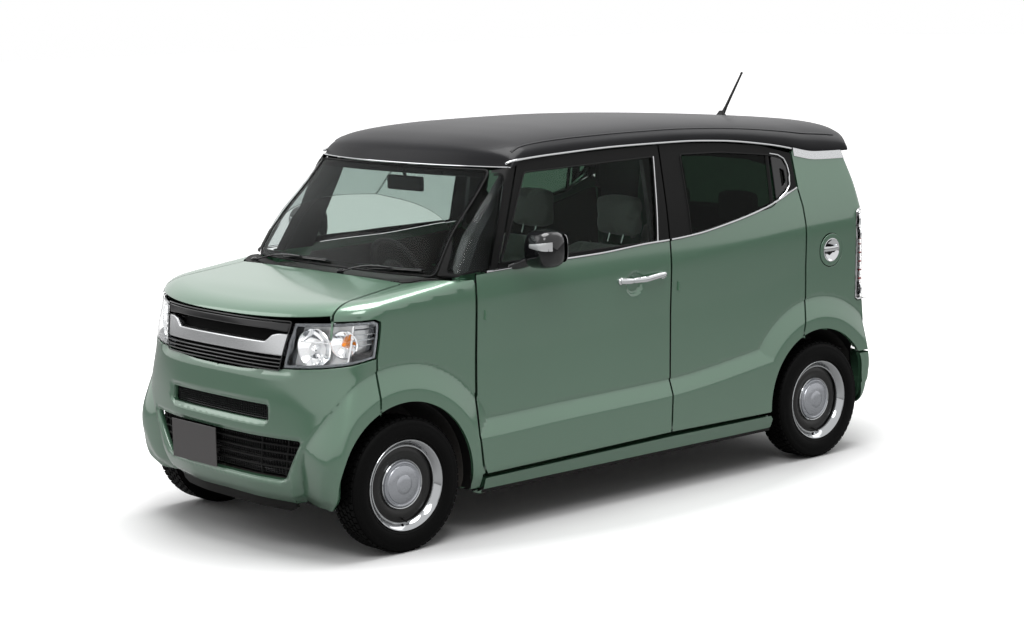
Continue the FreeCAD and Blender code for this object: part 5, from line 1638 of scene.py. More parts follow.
def clip_outline(outline: Sequence[Sequence[float]], lift: float, upper: bool) -> Array:
    """One part of a side outline, split along the waist line.

    Args:
        outline: the closed outline by station and height.
        lift: how far over the waist the cut runs.
        upper: whether the part over the waist is kept.

    Returns:
        The part's outline.
    """
    p = resample(outline, 5)
    side = p[:, 1] > BELTLINE(p[:, 0]) + lift
    keep = side if upper else ~side
    start = int(np.flatnonzero(keep & ~np.roll(keep, 1))[0])
    run = np.roll(p, -start, axis=0)[: int(keep.sum())]
    first, last = run[0], run[-1]
    cut = belt_points(min(first[0], last[0]), max(first[0], last[0]), lift)
    if last[0] > first[0]:
        cut = cut[::-1]
    return np.concatenate([run, cut])


@dataclass
class Doors:
    """The four side doors.

    Attributes:
        depth: how deep a door's edge is.
        pane_depth: how far in the glass lies.
    """

    depth: float = 44.0
    pane_depth: float = 7.0

    def build(self) -> None:
        """Make all four doors."""
        for side in Side:
            self.front(side)
            self.rear(side)

    def door(self, name: str, side: Side, outline: Sequence[Sequence[float]], pane: Sequence[Sequence[float]],
             body: str, top_finish: Finish, node: str, pane_node: str, glass: Finish,
             divider: Sequence[Sequence[float]] = ()) -> None:
        """One door: painted panel, black sash, glass and the trim inside.

        Args:
            name: front_door or rear_door.
            side: the car's side.
            outline: the whole door by station and height.
            pane: its window.
            body: the body it moves with.
            top_finish: the sash's finish.
            node: the CAD door.
            pane_node: the CAD glass.
            glass: the pane's finish.
            divider: two points of an upright bar across the window.
        """
        word = f"{name}_{side.word}"
        low = shrink(clip_outline(outline, 0.0, False))
        creases = list(SIDE_CREASES)
        y0, z0, r0 = CUP
        if name == "front_door":
            ring = np.array([(y0 + r0 * math.cos(a), z0 + r0 * math.sin(a))
                             for a in np.linspace(0, 2 * math.pi, 40)])
            creases = [ring, (ring - [y0, z0]) * 0.55 + [y0, z0]] + [
                part for line in creases for part in split_round(line, y0, z0, r0 + 8)]
        skin = Panel(side_surface, low, (), creases, step=16, thick=self.depth, inward=(-1, 0, 0))
        Shop.piece(skin.build(f"{word}_skin", side), body, [PAINT, PAINT], [node])
        high = clip_outline(outline, 0.0, True)
        window = rounded(pane, 16)
        sash = Panel(set_in(side_surface, 2.0), shrink(high), [window], step=22, thick=26, inward=(-1, 0, 0),
                     roll=2.0)
        Shop.piece(sash.build(f"{word}_sash", side), body, [top_finish, TRIM_BLACK])
        sheet = Panel(set_in(side_surface, self.pane_depth), offset_outline(window, 5), step=60, roll=0.8,
                      thick=4)
        Shop.piece(sheet.build(f"{word}_pane", side), body, [glass, glass], [pane_node])
        trim = Soup()
        face = set_in(side_surface, 1.5)
        trim.tube(face(resample(offset_outline(window, -1.0), 9)), 3.2, sides=8, closed=True)
        Shop.piece(trim.build(f"{word}_seal", side), body, [SEAL])
        bright = Soup()
        belt = belt_points(outline_range(high)[0] + 8, outline_range(high)[1] - 8, 2.0)
        bright.tube(set_in(side_surface, -0.5)(belt), 5.0, sides=8, flat=1.0)
        if name == "front_door":
            rear_edge = resample([(y + 4, z) for y, z in pane[2:4]], 20, False)
            bright.tube(set_in(side_surface, 0.5)(rear_edge), 4.0, sides=8, up=(1, 0, 0))
        else:
            bright.tube(set_in(side_surface, -0.5)(resample(REAR_HOOK, 12, False)), 3.4, sides=8)
        Shop.piece(bright.build(f"{word}_belt_trim", side), body, [CHROME])
        if divider:
            bar = Soup()
            bar.tube(set_in(side_surface, 5)(resample(divider, 20, False)), 12, sides=8, flat=0.35,
                     up=(1, 0, 0))
            Shop.piece(bar.build(f"{word}_divider", side), body, [TRIM_BLACK])
        self.trim(word, side, low, body)

    def trim(self, word: str, side: Side, outline: Array, body: str) -> None:
        """The moulded lining inside a door, with its armrest, pull and pocket."""
        inner = offset_outline(np.asarray(outline), -34)
        y0, y1 = outline_range(inner)
        mid = (y0 + y1) / 2
        depth = self.depth

        def face(p: Array) -> Array:
            """The lining, bulged for an armrest."""
            q = side_surface(p)
            arm = 30 * smooth(70.0, 30.0, np.abs(p[:, 1] - 740)) * smooth(330.0, 250.0, np.abs(p[:, 0] - mid))
            q[:, 0] = 733 - depth - 24 - arm - 8 * smooth(600.0, 400.0, p[:, 1])
            return q

        def turned(p: Array) -> Array:
            """The lining seen from the cabin: stations run backwards."""
            return face(p * [-1, 1])

        shell = Panel(turned, inner * [-1, 1], (), step=26, thick=22, roll=6, inward=(1, 0, 0))
        Shop.piece(shell.build(f"{word}_lining", side), body, [CABIN_PLASTIC, CABIN_PLASTIC])
        soup = Soup()
        soup.box((640, mid - 150, 585), (668, mid + 150, 660), 8)
        x = 733 - depth - 58
        pull = [(x, mid - 130, 842), (x - 22, mid - 115, 846), (x - 24, mid + 60, 846), (x, mid + 78, 842)]
        soup.tube(np.array(pull), 9, sides=10)
        soup.box((x - 6, mid - 215, 868), (x + 22, mid - 165, 892), 5)
        Shop.piece(soup.build(f"{word}_armrest", side), body, [CABIN_PLASTIC])

    def front(self, side: Side) -> None:
        """A front door with its handle over the cup."""
        body = f"front_door_{side.word}"
        self.door("front_door", side, FRONT_DOOR, FRONT_PANE, body, TRIM_BLACK, body,
                  f"front_door_glass_{side.word}", DOOR_GLASS)
        soup = Soup()
        y0 = CUP[0]
        path = np.array([(y, 0.0) for y in np.linspace(y0 - 92, y0 + 178, 22)])
        path[:, 1] = 988 - 5 * np.cos((path[:, 0] - y0) / 160 * math.pi)
        grip = side_surface(np.stack([path[:, 0], np.full(22, 1002.0)], 1))
        grip[:, 2] = path[:, 1]
        grip[:, 0] += 8 + 18 * np.sin(np.linspace(0, math.pi, 22)) ** 0.5
        soup.tube(grip, 13.0, sides=14, flat=0.7, up=(1, 0, 0))
        for y in (y0 - 90, y0 + 168):
            centre = side_surface(np.array([[y, 988.0]]))[0]
            soup.lathe([(-4, 17), (8, 16), (13, 11), (15, 0.1)], centre, (1, 0, 0), 28)
        lock = side_surface(np.array([[y0 + 170, 988.0]]))[0]
        soup.lathe([(12, 9), (17, 8.5), (18, 0.1)], lock, (1, 0, 0), 24, slot=1)
        Shop.piece(soup.build(f"door_handle_{side.word}", side), body, [CHROME, GLOSS_BLACK])

    def rear(self, side: Side) -> None:
        """A rear door; its handle is a black upright grip in the window frame."""
        body = f"rear_door_{side.word}"
        self.door("rear_door", side, REAR_DOOR, REAR_PANE, body, TRIM_BLACK, body,
                  f"rear_door_glass_{side.word}", DARK_GLASS, REAR_DIVIDER)
        shape = rounded([(992, 1462), (1062, 1444), (1088, 1400), (1082, 1318), (992, 1262)], 10)
        hollow = rounded([(1040, 1404), (1068, 1392), (1072, 1336), (1040, 1316)], 8)
        grip = Panel(set_in(side_surface, -1.5), shape, [hollow], step=16, roll=3, thick=7)
        Shop.piece(grip.build(f"rear_handle_{side.word}", side), body, [GLOSS_BLACK, GLOSS_BLACK])


def split_round(line: Array, y: float, z: float, radius: float) -> list[Array]:
    """A line broken where it would run through a disc."""
    free = np.hypot(line[:, 0] - y, line[:, 1] - z) > radius
    parts, run = [], []
    for point, good in zip(line, free):
        if good:
            run.append(point)
        elif run:
            parts.append(np.array(run))
            run = []
    if len(run) > 1:
        parts.append(np.array(run))
    return [part for part in parts if len(part) > 1]


def outline_range(outline: Array) -> tuple[float, float]:
    """The first and last station of an outline."""
    return float(outline[:, 0].min()), float(outline[:, 0].max())


@dataclass
class SideBody:
    """What stays still along the sides: sill, rear quarter, front pillar and the drip moulding."""

    def build(self) -> None:
        """Make both sides."""
        for side in Side:
            self.sill(side)
            self.quarter(side)
            self.pillar(side)
            self.moulding(side)
            self.liner(side)

    def sill(self, side: Side) -> None:
        """The painted sill under the doors, flares' lower corners included."""
        foot = height_angle(2 * AXLE_HEIGHT - 198)
        first = arch_arc(FRONT_AXLE, -foot, -foot + 0.1)[0]
        last = arch_arc(REAR_AXLE, 180 + foot, 180 + foot + 0.1)[0]
        top = [(920, 262), (262, 264), (-820, 252), (-846, 250)]
        outline = np.array([(-846, 186), (first[0] + 60, 186), (900, 186), (last[0] - 8, 190),
                            (last[0], 198), (last[0] + 2, 240), *top])
        panel = Panel(set_in(side_surface, -7), shrink(resample(outline, 9), 0.5), (), (), step=14, thick=22,
                      inward=(-1, 0, 0), roll=7)
        Shop.piece(panel.build(f"sill_{side.word}", side), "body", [PAINT, TRIM_BLACK])
        under = Soup().box((560, -850, 178), (716, 930, 196), 4)
        Shop.piece(under.build(f"sill_underside_{side.word}", side), "body", [TRIM_BLACK])

    def quarter(self, side: Side) -> None:
        """The rear quarter from the door to the tailgate, wrapped round the corner."""
        arch = arch_arc(REAR_AXLE, REAR_FOOT, height_angle(476.5), count=40)
        door = [tuple(arch[0]), *REAR_EDGE[::-1], (1134.5, 1473)]
        wall = side_trace(arch, REAR, closed=False)
        low = resample([(wall[-1][0], 476.5), (-REAR.from_width(628, 476.5), 476.5)], 8, False)[1:]
        inner = rear_trace([(628, 472), (628, 1160), (589, 1384), (587, 1450)], closed=False)
        top = side_trace([(1560, 1456), (1330, 1458), (1238, 1466), (1143.5, 1485)], REAR, closed=False)
        high = np.concatenate([resample([(inner[-1][0], 1452), (top[0][0], 1456)], 8, False)[1:-1], top])
        down = side_trace(resample(door[::-1], 8, False), REAR, closed=False)
        outline = np.concatenate([wall, low, inner, high, down])
        lamp = offset_outline(RearEnd.lamp_outline(), 2.0)
        y0, z0, reach = LID[0], LID[1], LID[2] + 2
        lid = np.array([(REAR.from_station(y0 + reach * math.cos(a), z0), z0 + reach * math.sin(a))
                        for a in np.linspace(0, 2 * math.pi, 64, endpoint=False)]) * [-1, 1]
        lid[:, 0] = -np.abs(lid[:, 0])
        holes = [lamp, lid] if side is Side.LEFT else [lamp]
        creases = []
        for line in SIDE_CREASES:
            part = line[line[:, 0] > 1140]
            if len(part) > 2:
                creases += split_round(flat_trace(part, REAR, 10, closed=False), lid[:, 0].mean(), z0,
                                       LID[2] + 12)
        panel = Panel(quarter_surface, shrink(outline), holes, creases, step=16, thick=16)
        nodes = [f"side_skin_{side.word}"]
        Shop.piece(panel.build(f"rear_quarter_{side.word}", side), "body", [PAINT, PAINT], nodes)

    def pillar(self, side: Side) -> None:
        """The black front pillar round the corner pane, and the pane."""
        window = rounded(CORNER_PANE, 14)
        base = set_in(CABIN_FACE, 1.0)
        front = front_trace([(633, 1097), (589, 1514)], CABIN, closed=False)
        rear = side_trace([(-563, 1536), (-741, 1110), (-861, 1105)], CABIN, step=12, closed=False)
        shape = np.concatenate([front, rear])
        hole = side_trace(window, CABIN, step=12)
        panel = Panel(base, shrink(shape, 1.0), [hole], step=20, thick=24, roll=4)
        Shop.piece(panel.build(f"front_pillar_{side.word}", side), "body", [TRIM_BLACK, TRIM_BLACK])
        pane = Panel(set_in(CABIN_FACE, 6), offset_outline(hole, 5), step=50, thick=4, roll=0.8)
        nodes = ["quarter_windows"] if side is Side.LEFT else []
        Shop.piece(pane.build(f"corner_pane_{side.word}", side), "body", [SCREEN_GLASS, SCREEN_GLASS], nodes)

    def moulding(self, side: Side) -> None:
        """The bright moulding along the roof's edge."""
        soup = Soup().tube(roof_edge_path(), 7.5, sides=10, flat=0.75)
        Shop.piece(soup.build(f"drip_moulding_{side.word}", side), "body", [CHROME])

    def liner(self, side: Side) -> None:
        """The dark lining of the rear wheel opening."""
        ring = arch_arc(REAR_AXLE, -14, 194, ARCH_EDGE + 5, 48)
        reach = 716 - 70 * smooth(1500.0, 1600.0, ring[:, 0])
        soup = Soup().grid(np.array([[(x, y, z) for x in (far, 0.5 * far + 280, 560)]
                                     for far, (y, z) in zip(reach, ring)]))
        Shop.piece(soup.build(f"rear_liner_{side.word}", side), "body", [TRIM_BLACK])


def roof_edge_path() -> Array:
    """The line of the drip moulding in space, from the front pillar's head to the rear quarter."""
    y = np.linspace(-610, 1134, 92)
    z = pchip([p[0] for p in DRIP], [p[1] for p in DRIP])(y)
    path = side_surface(np.stack([y, z], 1))
    path[:, 0] += 3 - 17 * smooth(-545.0, -610.0, y)
    return path


def quarter_surface(p: Array) -> Array:
    """The rear quarter: the dressed rear form, its upper part leaning in with the cabin."""
    q = REAR_FACE(p)
    straight = -(np.abs(p[:, 0]) - REAR.length)
    side = side_surface(np.stack([q[:, 1], p[:, 1]], 1))
    mix = smooth(40.0, -60.0, straight)
    sign = np.sign(q[:, 0])
    q[:, 0] = q[:, 0] * (1 - mix) + sign * side[:, 0] * mix
    return q


# ------------------------------------------------------------------ roof, tail and glass
@dataclass
class Roof:
    """The black roof with its lining, header strip, rear silver band and antenna.

    Attributes:
        thick: thickness of the roof panel's edge.
    """

    thick: float = 15.0

    def build(self) -> None:
        """Make the roof's pieces."""
        span, run = ROOF_SPAN, ROOF_RUN
        outline = rounded([(-span, 0), (span, 0), (span, run), (-span, run)], 26)
        bands = [np.array([(x, r) for r in np.linspace(14, run - 14, 160)])
                 for x in (-700, -620, -540, 540, 620, 700)]
        ends = [np.array([(x, r) for x in np.linspace(-740, 740, 90)]) for r in
                (12, 28, 48, 75, 110, run - 30, run - 70, run - 120, run - 180)]
        skin = Panel(roof_surface, outline, (), bands + ends, step=30, thick=self.thick, roll=4)
        Shop.piece(skin.build("roof_skin"), "body", [ROOF_BLACK, TRIM_BLACK], ["roof_panel"])
        self.header()
        self.lining()
        self.antenna()
        for side in Side:
            self.band(side)
            self.rib(side)

    def header(self) -> None:
        """The bright strip between windscreen and roof."""
        across = np.linspace(-708, 708, 70)
        path = roof_surface(np.stack([across, np.full_like(across, 1.0)], 1)) + [0, -1, 0]
        Shop.piece(Soup().tube(path, 5.0, sides=8, flat=0.8).build("header_strip"), "body", [CHROME])

    def rib(self, side: Side) -> None:
        """The shallow rail along the roof's side."""
        run = np.linspace(150, ROOF_RUN - 180, 90)
        path = roof_surface(np.stack([np.full_like(run, 500.0), run], 1))
        path[:, 2] -= 3
        Shop.piece(Soup().tube(path, 9.0, sides=10, flat=0.5).build(f"roof_rail_{side.word}", side), "body",
                   [ROOF_BLACK])

    def lining(self) -> None:
        """The pale cloth lining under the roof, and the sun visors."""
        across = np.linspace(-590, 590, 30)
        run = np.linspace(90, ROOF_RUN - 130, 50)
        rows = np.array([roof_surface(np.stack([across, np.full_like(across, r)], 1)) for r in run])
        rows[..., 2] -= 34
        soup = Soup().grid(rows[:, ::-1])
        lifted = rows.copy()
        lifted[..., 2] += 8
        soup.grid(lifted)
        Shop.piece(soup.build("roof_lining", weld=False), "body", [HEADLINER])
        visors = Soup()
        for x in (-330, 330):
            visors.box((x - 210, -612, 1512), (x + 210, -470, 1530), 7)
        Shop.piece(visors.build("sun_visors"), "body", [HEADLINER])
        tail = Soup().box((-600, 1500, 1412), (600, 1526, 1498), 6)
        Shop.piece(tail.build("rear_header"), "body", [TRIM_BLACK])

    def band(self, side: Side) -> None:
        """The brushed band under the roof's rear edge."""
        y = np.linspace(1150, 1640, 60)
        top = ROOF_EDGE(y) + 2
        low = top - 38
        rows = []
        for z in (low, low * 0.5 + top * 0.5, top):
            line = np.stack([[REAR.from_station(v, w) for v, w in zip(y, z)], z], 1) * [-1, 1]
            rows.append(quarter_surface(line))
        face = np.array(rows)
        out = np.array([3.0, 0, 0])
        front = face + out
        back = face - [6.0, 0, 0]
        loop = np.concatenate([front, back[::-1]])
        soup = Soup().grid(loop, wrap_u=True)
        Shop.piece(soup.build(f"roof_silver_band_{side.word}", side), "body", [SATIN])

    def antenna(self) -> None:
        """The rod antenna on its rubber foot."""
        foot, tip = np.array([0.0, 1366.5, 1601.0]), np.array([0.0, 1522.5, 1820.0])
        way = (tip - foot) / np.linalg.norm(tip - foot)
        soup = Soup().lathe([(-6, 34), (4, 33), (14, 24), (26, 15), (34, 9)], foot, (0, 0, 1), 36)
        soup.lathe([(18, 11), (30, 10), (60, 8), (62, 0.1)], foot, way, 24)
        length = float(np.linalg.norm(tip - foot))
        soup.lathe([(55, 7.5), (length - 14, 5.0), (length - 13, 6.0), (length - 4, 6.0), (length - 1, 0.1)],
                   foot, way, 16)
        Shop.piece(soup.build("antenna_rod"), "body", [TRIM_BLACK], ["antenna"])


@dataclass
class RearEnd:
    """Tailgate, rear bumper, tail lamps and the rear window.

    Attributes:
        side_x: half width of the tailgate.
        top_z: height of its upper edge.
    """

    side_x: float = 625.5
    top_z: float = 1430.0

    @staticmethod
    def lamp_outline() -> Array:
        """The tail lamp's outline on the rear form, from the tailgate round to the side."""
        inner = [(-REAR.from_width(640, z), z) for z in (1172.0, 1060.0, 900.0, 732.0)]
        outer = [(-REAR.from_station(y, z), z) for y, z in (
            (1562, 730.0), (1546, 742.0), (1546, 800.0), (1546, 960.0), (1546, 1100.0), (1549, 1160.0),
            (1562, 1172.0))]
        return resample(inner + outer, 8)

    def build(self) -> None:
        """Make the rear's pieces."""
        self.tailgate()
        self.bumper()
        for side in Side:
            self.lamp(side)

    def tailgate(self) -> None:
        """The painted tailgate with its window, garnish, wiper and blank plate recess."""
        half = [(self.side_x, 482), (self.side_x, 1160), (587, 1384), (584, self.top_z)]
        outline = [(x, z) for x, z in half] + [(-x, z) for x, z in half[::-1]]
        window = rounded([(-512, 1130), (512, 1130), (492, 1410), (-492, 1410)], 34)
        plate = rounded([(-205, 700), (205, 700), (190, 560), (-190, 560)], 18)
        shape = rear_trace(outline)
        hole, recess = rear_trace(window), rear_trace(plate)
        creases = []
        for z in (1095, 1086, 905, 896, 520):
            creases.append(rear_trace([(x, z) for x in np.linspace(600, -600, 60)], closed=False))

        def face(p: Array) -> Array:
            """The tailgate, stepped under the window and above the bumper."""
            q = REAR_FACE(p)
            q[:, 1] += 7 * smooth(900.0, 908.0, p[:, 1]) * smooth(1098.0, 1088.0, p[:, 1]) - 7
            return q

        skin = Panel(face, shrink(shape), [hole, recess], creases, step=18, thick=34)
        Shop.piece(skin.build("tailgate_skin"), "tailgate", [PAINT, PAINT], ["tailgate"])
        pane = Panel(set_in(REAR_FACE, 9), offset_outline(hole, 9), step=40, thick=4, roll=1)
        Shop.piece(pane.build("rear_window_pane"), "tailgate", [DARK_GLASS, DARK_GLASS], ["tailgate_glass"])
        seal = Soup().tube(set_in(REAR_FACE, 6)(resample(hole, 9)), 5.0, sides=8, closed=True)
        Shop.piece(seal.build("rear_window_seal"), "tailgate", [SEAL])
        dish = Panel(set_in(REAR_FACE, 24), offset_outline(recess, 8), step=30, thick=3)
        Shop.piece(dish.build("plate_recess"), "tailgate", [PAINT, PAINT])
        blank = rear_trace(rounded([(-160, 572), (160, 572), (160, 690), (-160, 690)], 8))
        made = Panel(set_in(REAR_FACE, 14), blank, step=30, thick=3, roll=1.2)
        Shop.piece(made.build("rear_plate_blank"), "tailgate", [PLATE, TRIM_BLACK])
        bar = rear_trace(rounded([(-250, 722), (250, 722), (244, 762), (-244, 762)], 10))
        made = Panel(set_in(REAR_FACE, -1), bar, step=20, thick=24, roll=6)
        Shop.piece(made.build("tailgate_garnish"), "tailgate", [CHROME, CHROME])
        wiper = Soup()
        face_out = set_in(REAR_FACE, -6)
        arm = face_out(rear_trace([(70, 1122), (330, 1150)], closed=False, step=18))
        wiper.tube(arm, 6.0, sides=8, flat=0.7)
        wiper.tube(face_out(rear_trace([(120, 1146), (480, 1150)], closed=False, step=18)), 4.5, sides=8)
        centre, normal = place_on(REAR_FACE, -REAR.from_width(70, 1118), 1118, -2)
        wiper.lathe([(-6, 17), (8, 16), (13, 10), (14, 0.1)], centre, normal, 28)
        Shop.piece(wiper.build("rear_wiper"), "tailgate", [GLOSS_BLACK])
        lining = Panel(lambda p: REAR_FACE(p * [-1, 1]) - [0, 52, 0], shrink(shape, 42) * [-1, 1],
                       [offset_outline(hole, 6) * [-1, 1]], step=36, thick=14, roll=5, inward=(0, 1, 0))
        Shop.piece(lining.build("tailgate_lining"), "tailgate", [CABIN_PLASTIC, CABIN_PLASTIC])

    def bumper(self) -> None:
        """The rear bumper with its black lower part and reflectors."""
        arch = arch_arc(REAR_AXLE, height_angle(206), height_angle(474), count=30)
        arch[:, 0] -= 34 * smooth(474.0, 340.0, arch[:, 1])
        wall = side_trace(arch, REAR, closed=False)
        top = resample([(wall[-1][0], 474), (0, 476)], 8, False)[1:]
        low = rear_trace([(0, 214), (500, 210), (640, 206)], closed=False)
        half = np.concatenate([low, wall, top])
        outline = both_halves(half)
        creases = []
        for share in BAND_LINES:
            ring = contour(share, REAR_AXLE, -8, 60, 50)
            line = flat_trace(ring, REAR, 9, closed=False)
            creases += [line, line * [-1, 1]]
        for z in (330, 322):
            creases.append(rear_trace([(x, z) for x in np.linspace(560, -560, 60)], closed=False))

        def face(p: Array) -> Array:
            """The bumper's face, standing proud above a recessed lower part."""
            q = REAR_FACE(p)
            q[:, 1] -= 9 * smooth(329.0, 321.0, p[:, 1]) * smooth(1000.0, 880.0, np.abs(p[:, 0]))
            return q

        skin = Panel(face, shrink(outline), (), creases, step=17, thick=22)
        Shop.piece(skin.build("rear_bumper_skin"), "body", [PAINT, TRIM_BLACK], ["rear_bumper"])
        valance = rear_trace(rounded([(-430, 222), (430, 222), (470, 316), (-470, 316)], 16))
        made = Panel(set_in(REAR_FACE, 7), valance, step=24, thick=10, roll=3)
        Shop.piece(made.build("rear_valance"), "body", [TRIM_BLACK, TRIM_BLACK])
        for side in Side:
            spot = rounded([(520, 352), (600, 352), (600, 376), (520, 376)], 9)
            spot = np.array([(-REAR.from_width(x, z), z) for x, z in spot])
            made = Panel(set_in(REAR_FACE, -1.0), spot, step=12, thick=8, roll=3)
            Shop.piece(made.build(f"rear_reflector_{side.word}", side), "body", [RED_LENS, RED_LENS])

    def lamp(self, side: Side) -> None:
        """An upright tail lamp: clear ends and a ladder of red and clear cells."""
        outline = self.lamp_outline()
        cover = Panel(REAR_FACE, shrink(outline, 1.0), step=14, roll=6, thick=4)
        nodes = ["tail_lamps"] if side is Side.LEFT else []
        Shop.piece(cover.build(f"tail_cover_{side.word}", side), "body", [LENS, LENS], nodes)
        bezel = Panel(set_in(REAR_FACE, 9), shrink(outline, 2.0), step=14, roll=3, thick=46)
        Shop.piece(bezel.build(f"tail_housing_{side.word}", side), "body", [GLOSS_BLACK, REFLECTOR])
        trim = Soup().tube(REAR_FACE(shrink(outline, 4.0)), 4.0, sides=8, closed=True)
        Shop.piece(trim.build(f"tail_trim_{side.word}", side), "body", [CHROME])
        cells, red = Soup(), Soup()
        face = set_in(REAR_FACE, 7)
        middle = float(outline[:, 0].min() + outline[:, 0].max()) / 2
        for z, radius in ((1124, 33), (1052, 30)):
            centre, normal = place_on(REAR_FACE, middle, z, 12)
            cells.lathe([(-4, radius + 4), (5, radius), (2, radius - 5), (-8, 0.1)], centre, normal, 32)
        for z in np.arange(1000, 830, -21.0):
            rung = np.array([(middle - 56, z), (middle + 56, z)])
            row = red if int(z / 21) % 2 else cells
            row.tube(face(resample(rung, 12, False)), 8.5, sides=10, flat=0.45)
        centre, normal = place_on(REAR_FACE, middle, 785, 12)
        cells.lathe([(-4, 36), (5, 32), (2, 26), (-8, 0.1)], centre, normal, 32)
        Shop.piece(cells.build(f"tail_clear_cells_{side.word}", side), "body", [REFLECTOR])
        Shop.piece(red.build(f"tail_red_cells_{side.word}", side), "body", [RED_LENS])


def rear_trace(points: Sequence[Sequence[float]], step: float = 8.0, closed: bool = True) -> Array:
    """A rear-view (x, z) outline laid on the rear form, +X to the car's left."""
    return np.array([(-REAR.from_width(x, z), z) for x, z in resample(points, step, closed)])


@dataclass
class Glazing:
    """The windscreen with its dark border, seal and inner mirror.

    Attributes:
        low: its lower left-hand corner, X and height.
        high: its upper left-hand corner.
    """

    low: tuple = (628.0, 1099.0)
    high: tuple = (585.0, 1511.0)

    def build(self) -> None:
        """Make the windscreen."""
        (x0, z0), (x1, z1) = self.low, self.high
        outline = rounded([(-x0, z0), (x0, z0), (x1, z1), (-x1, z1)], 30)
        shape = front_trace(outline, CABIN)
        pane = Panel(set_in(CABIN_FACE, 2.0), shape, [], step=26, thick=5, roll=1.5)
        Shop.piece(pane.build("windscreen_pane"), "body", [SCREEN_GLASS, SCREEN_GLASS], ["windscreen"])
        border = Panel(set_in(CABIN_FACE, 8.0), shape, [offset_outline(shape, -26)], step=20, thick=1.5,
                       roll=0.5)
        Shop.piece(border.build("windscreen_border"), "body", [DEEP_BLACK, DEEP_BLACK])
        seal = Soup().tube(set_in(CABIN_FACE, 2)(resample(shape, 12)), 4.5, sides=8, closed=True)
        Shop.piece(seal.build("windscreen_seal"), "body", [SEAL])
        mirror = Soup().box((-118, -655, 1392), (118, -628, 1456), 12)
        mirror.tube(np.array([(0, -640, 1450), (0, -652, 1490), (0, -668, 1512)]), 8, sides=10, up=(0, 1, 0))
        Shop.piece(mirror.build("inner_mirror"), "body", [TRIM_BLACK])
        glass = Soup().box((-108, -627.5, 1399), (108, -626, 1449), 0.6)
        Shop.piece(glass.build("inner_mirror_glass"), "body", [CHROME])


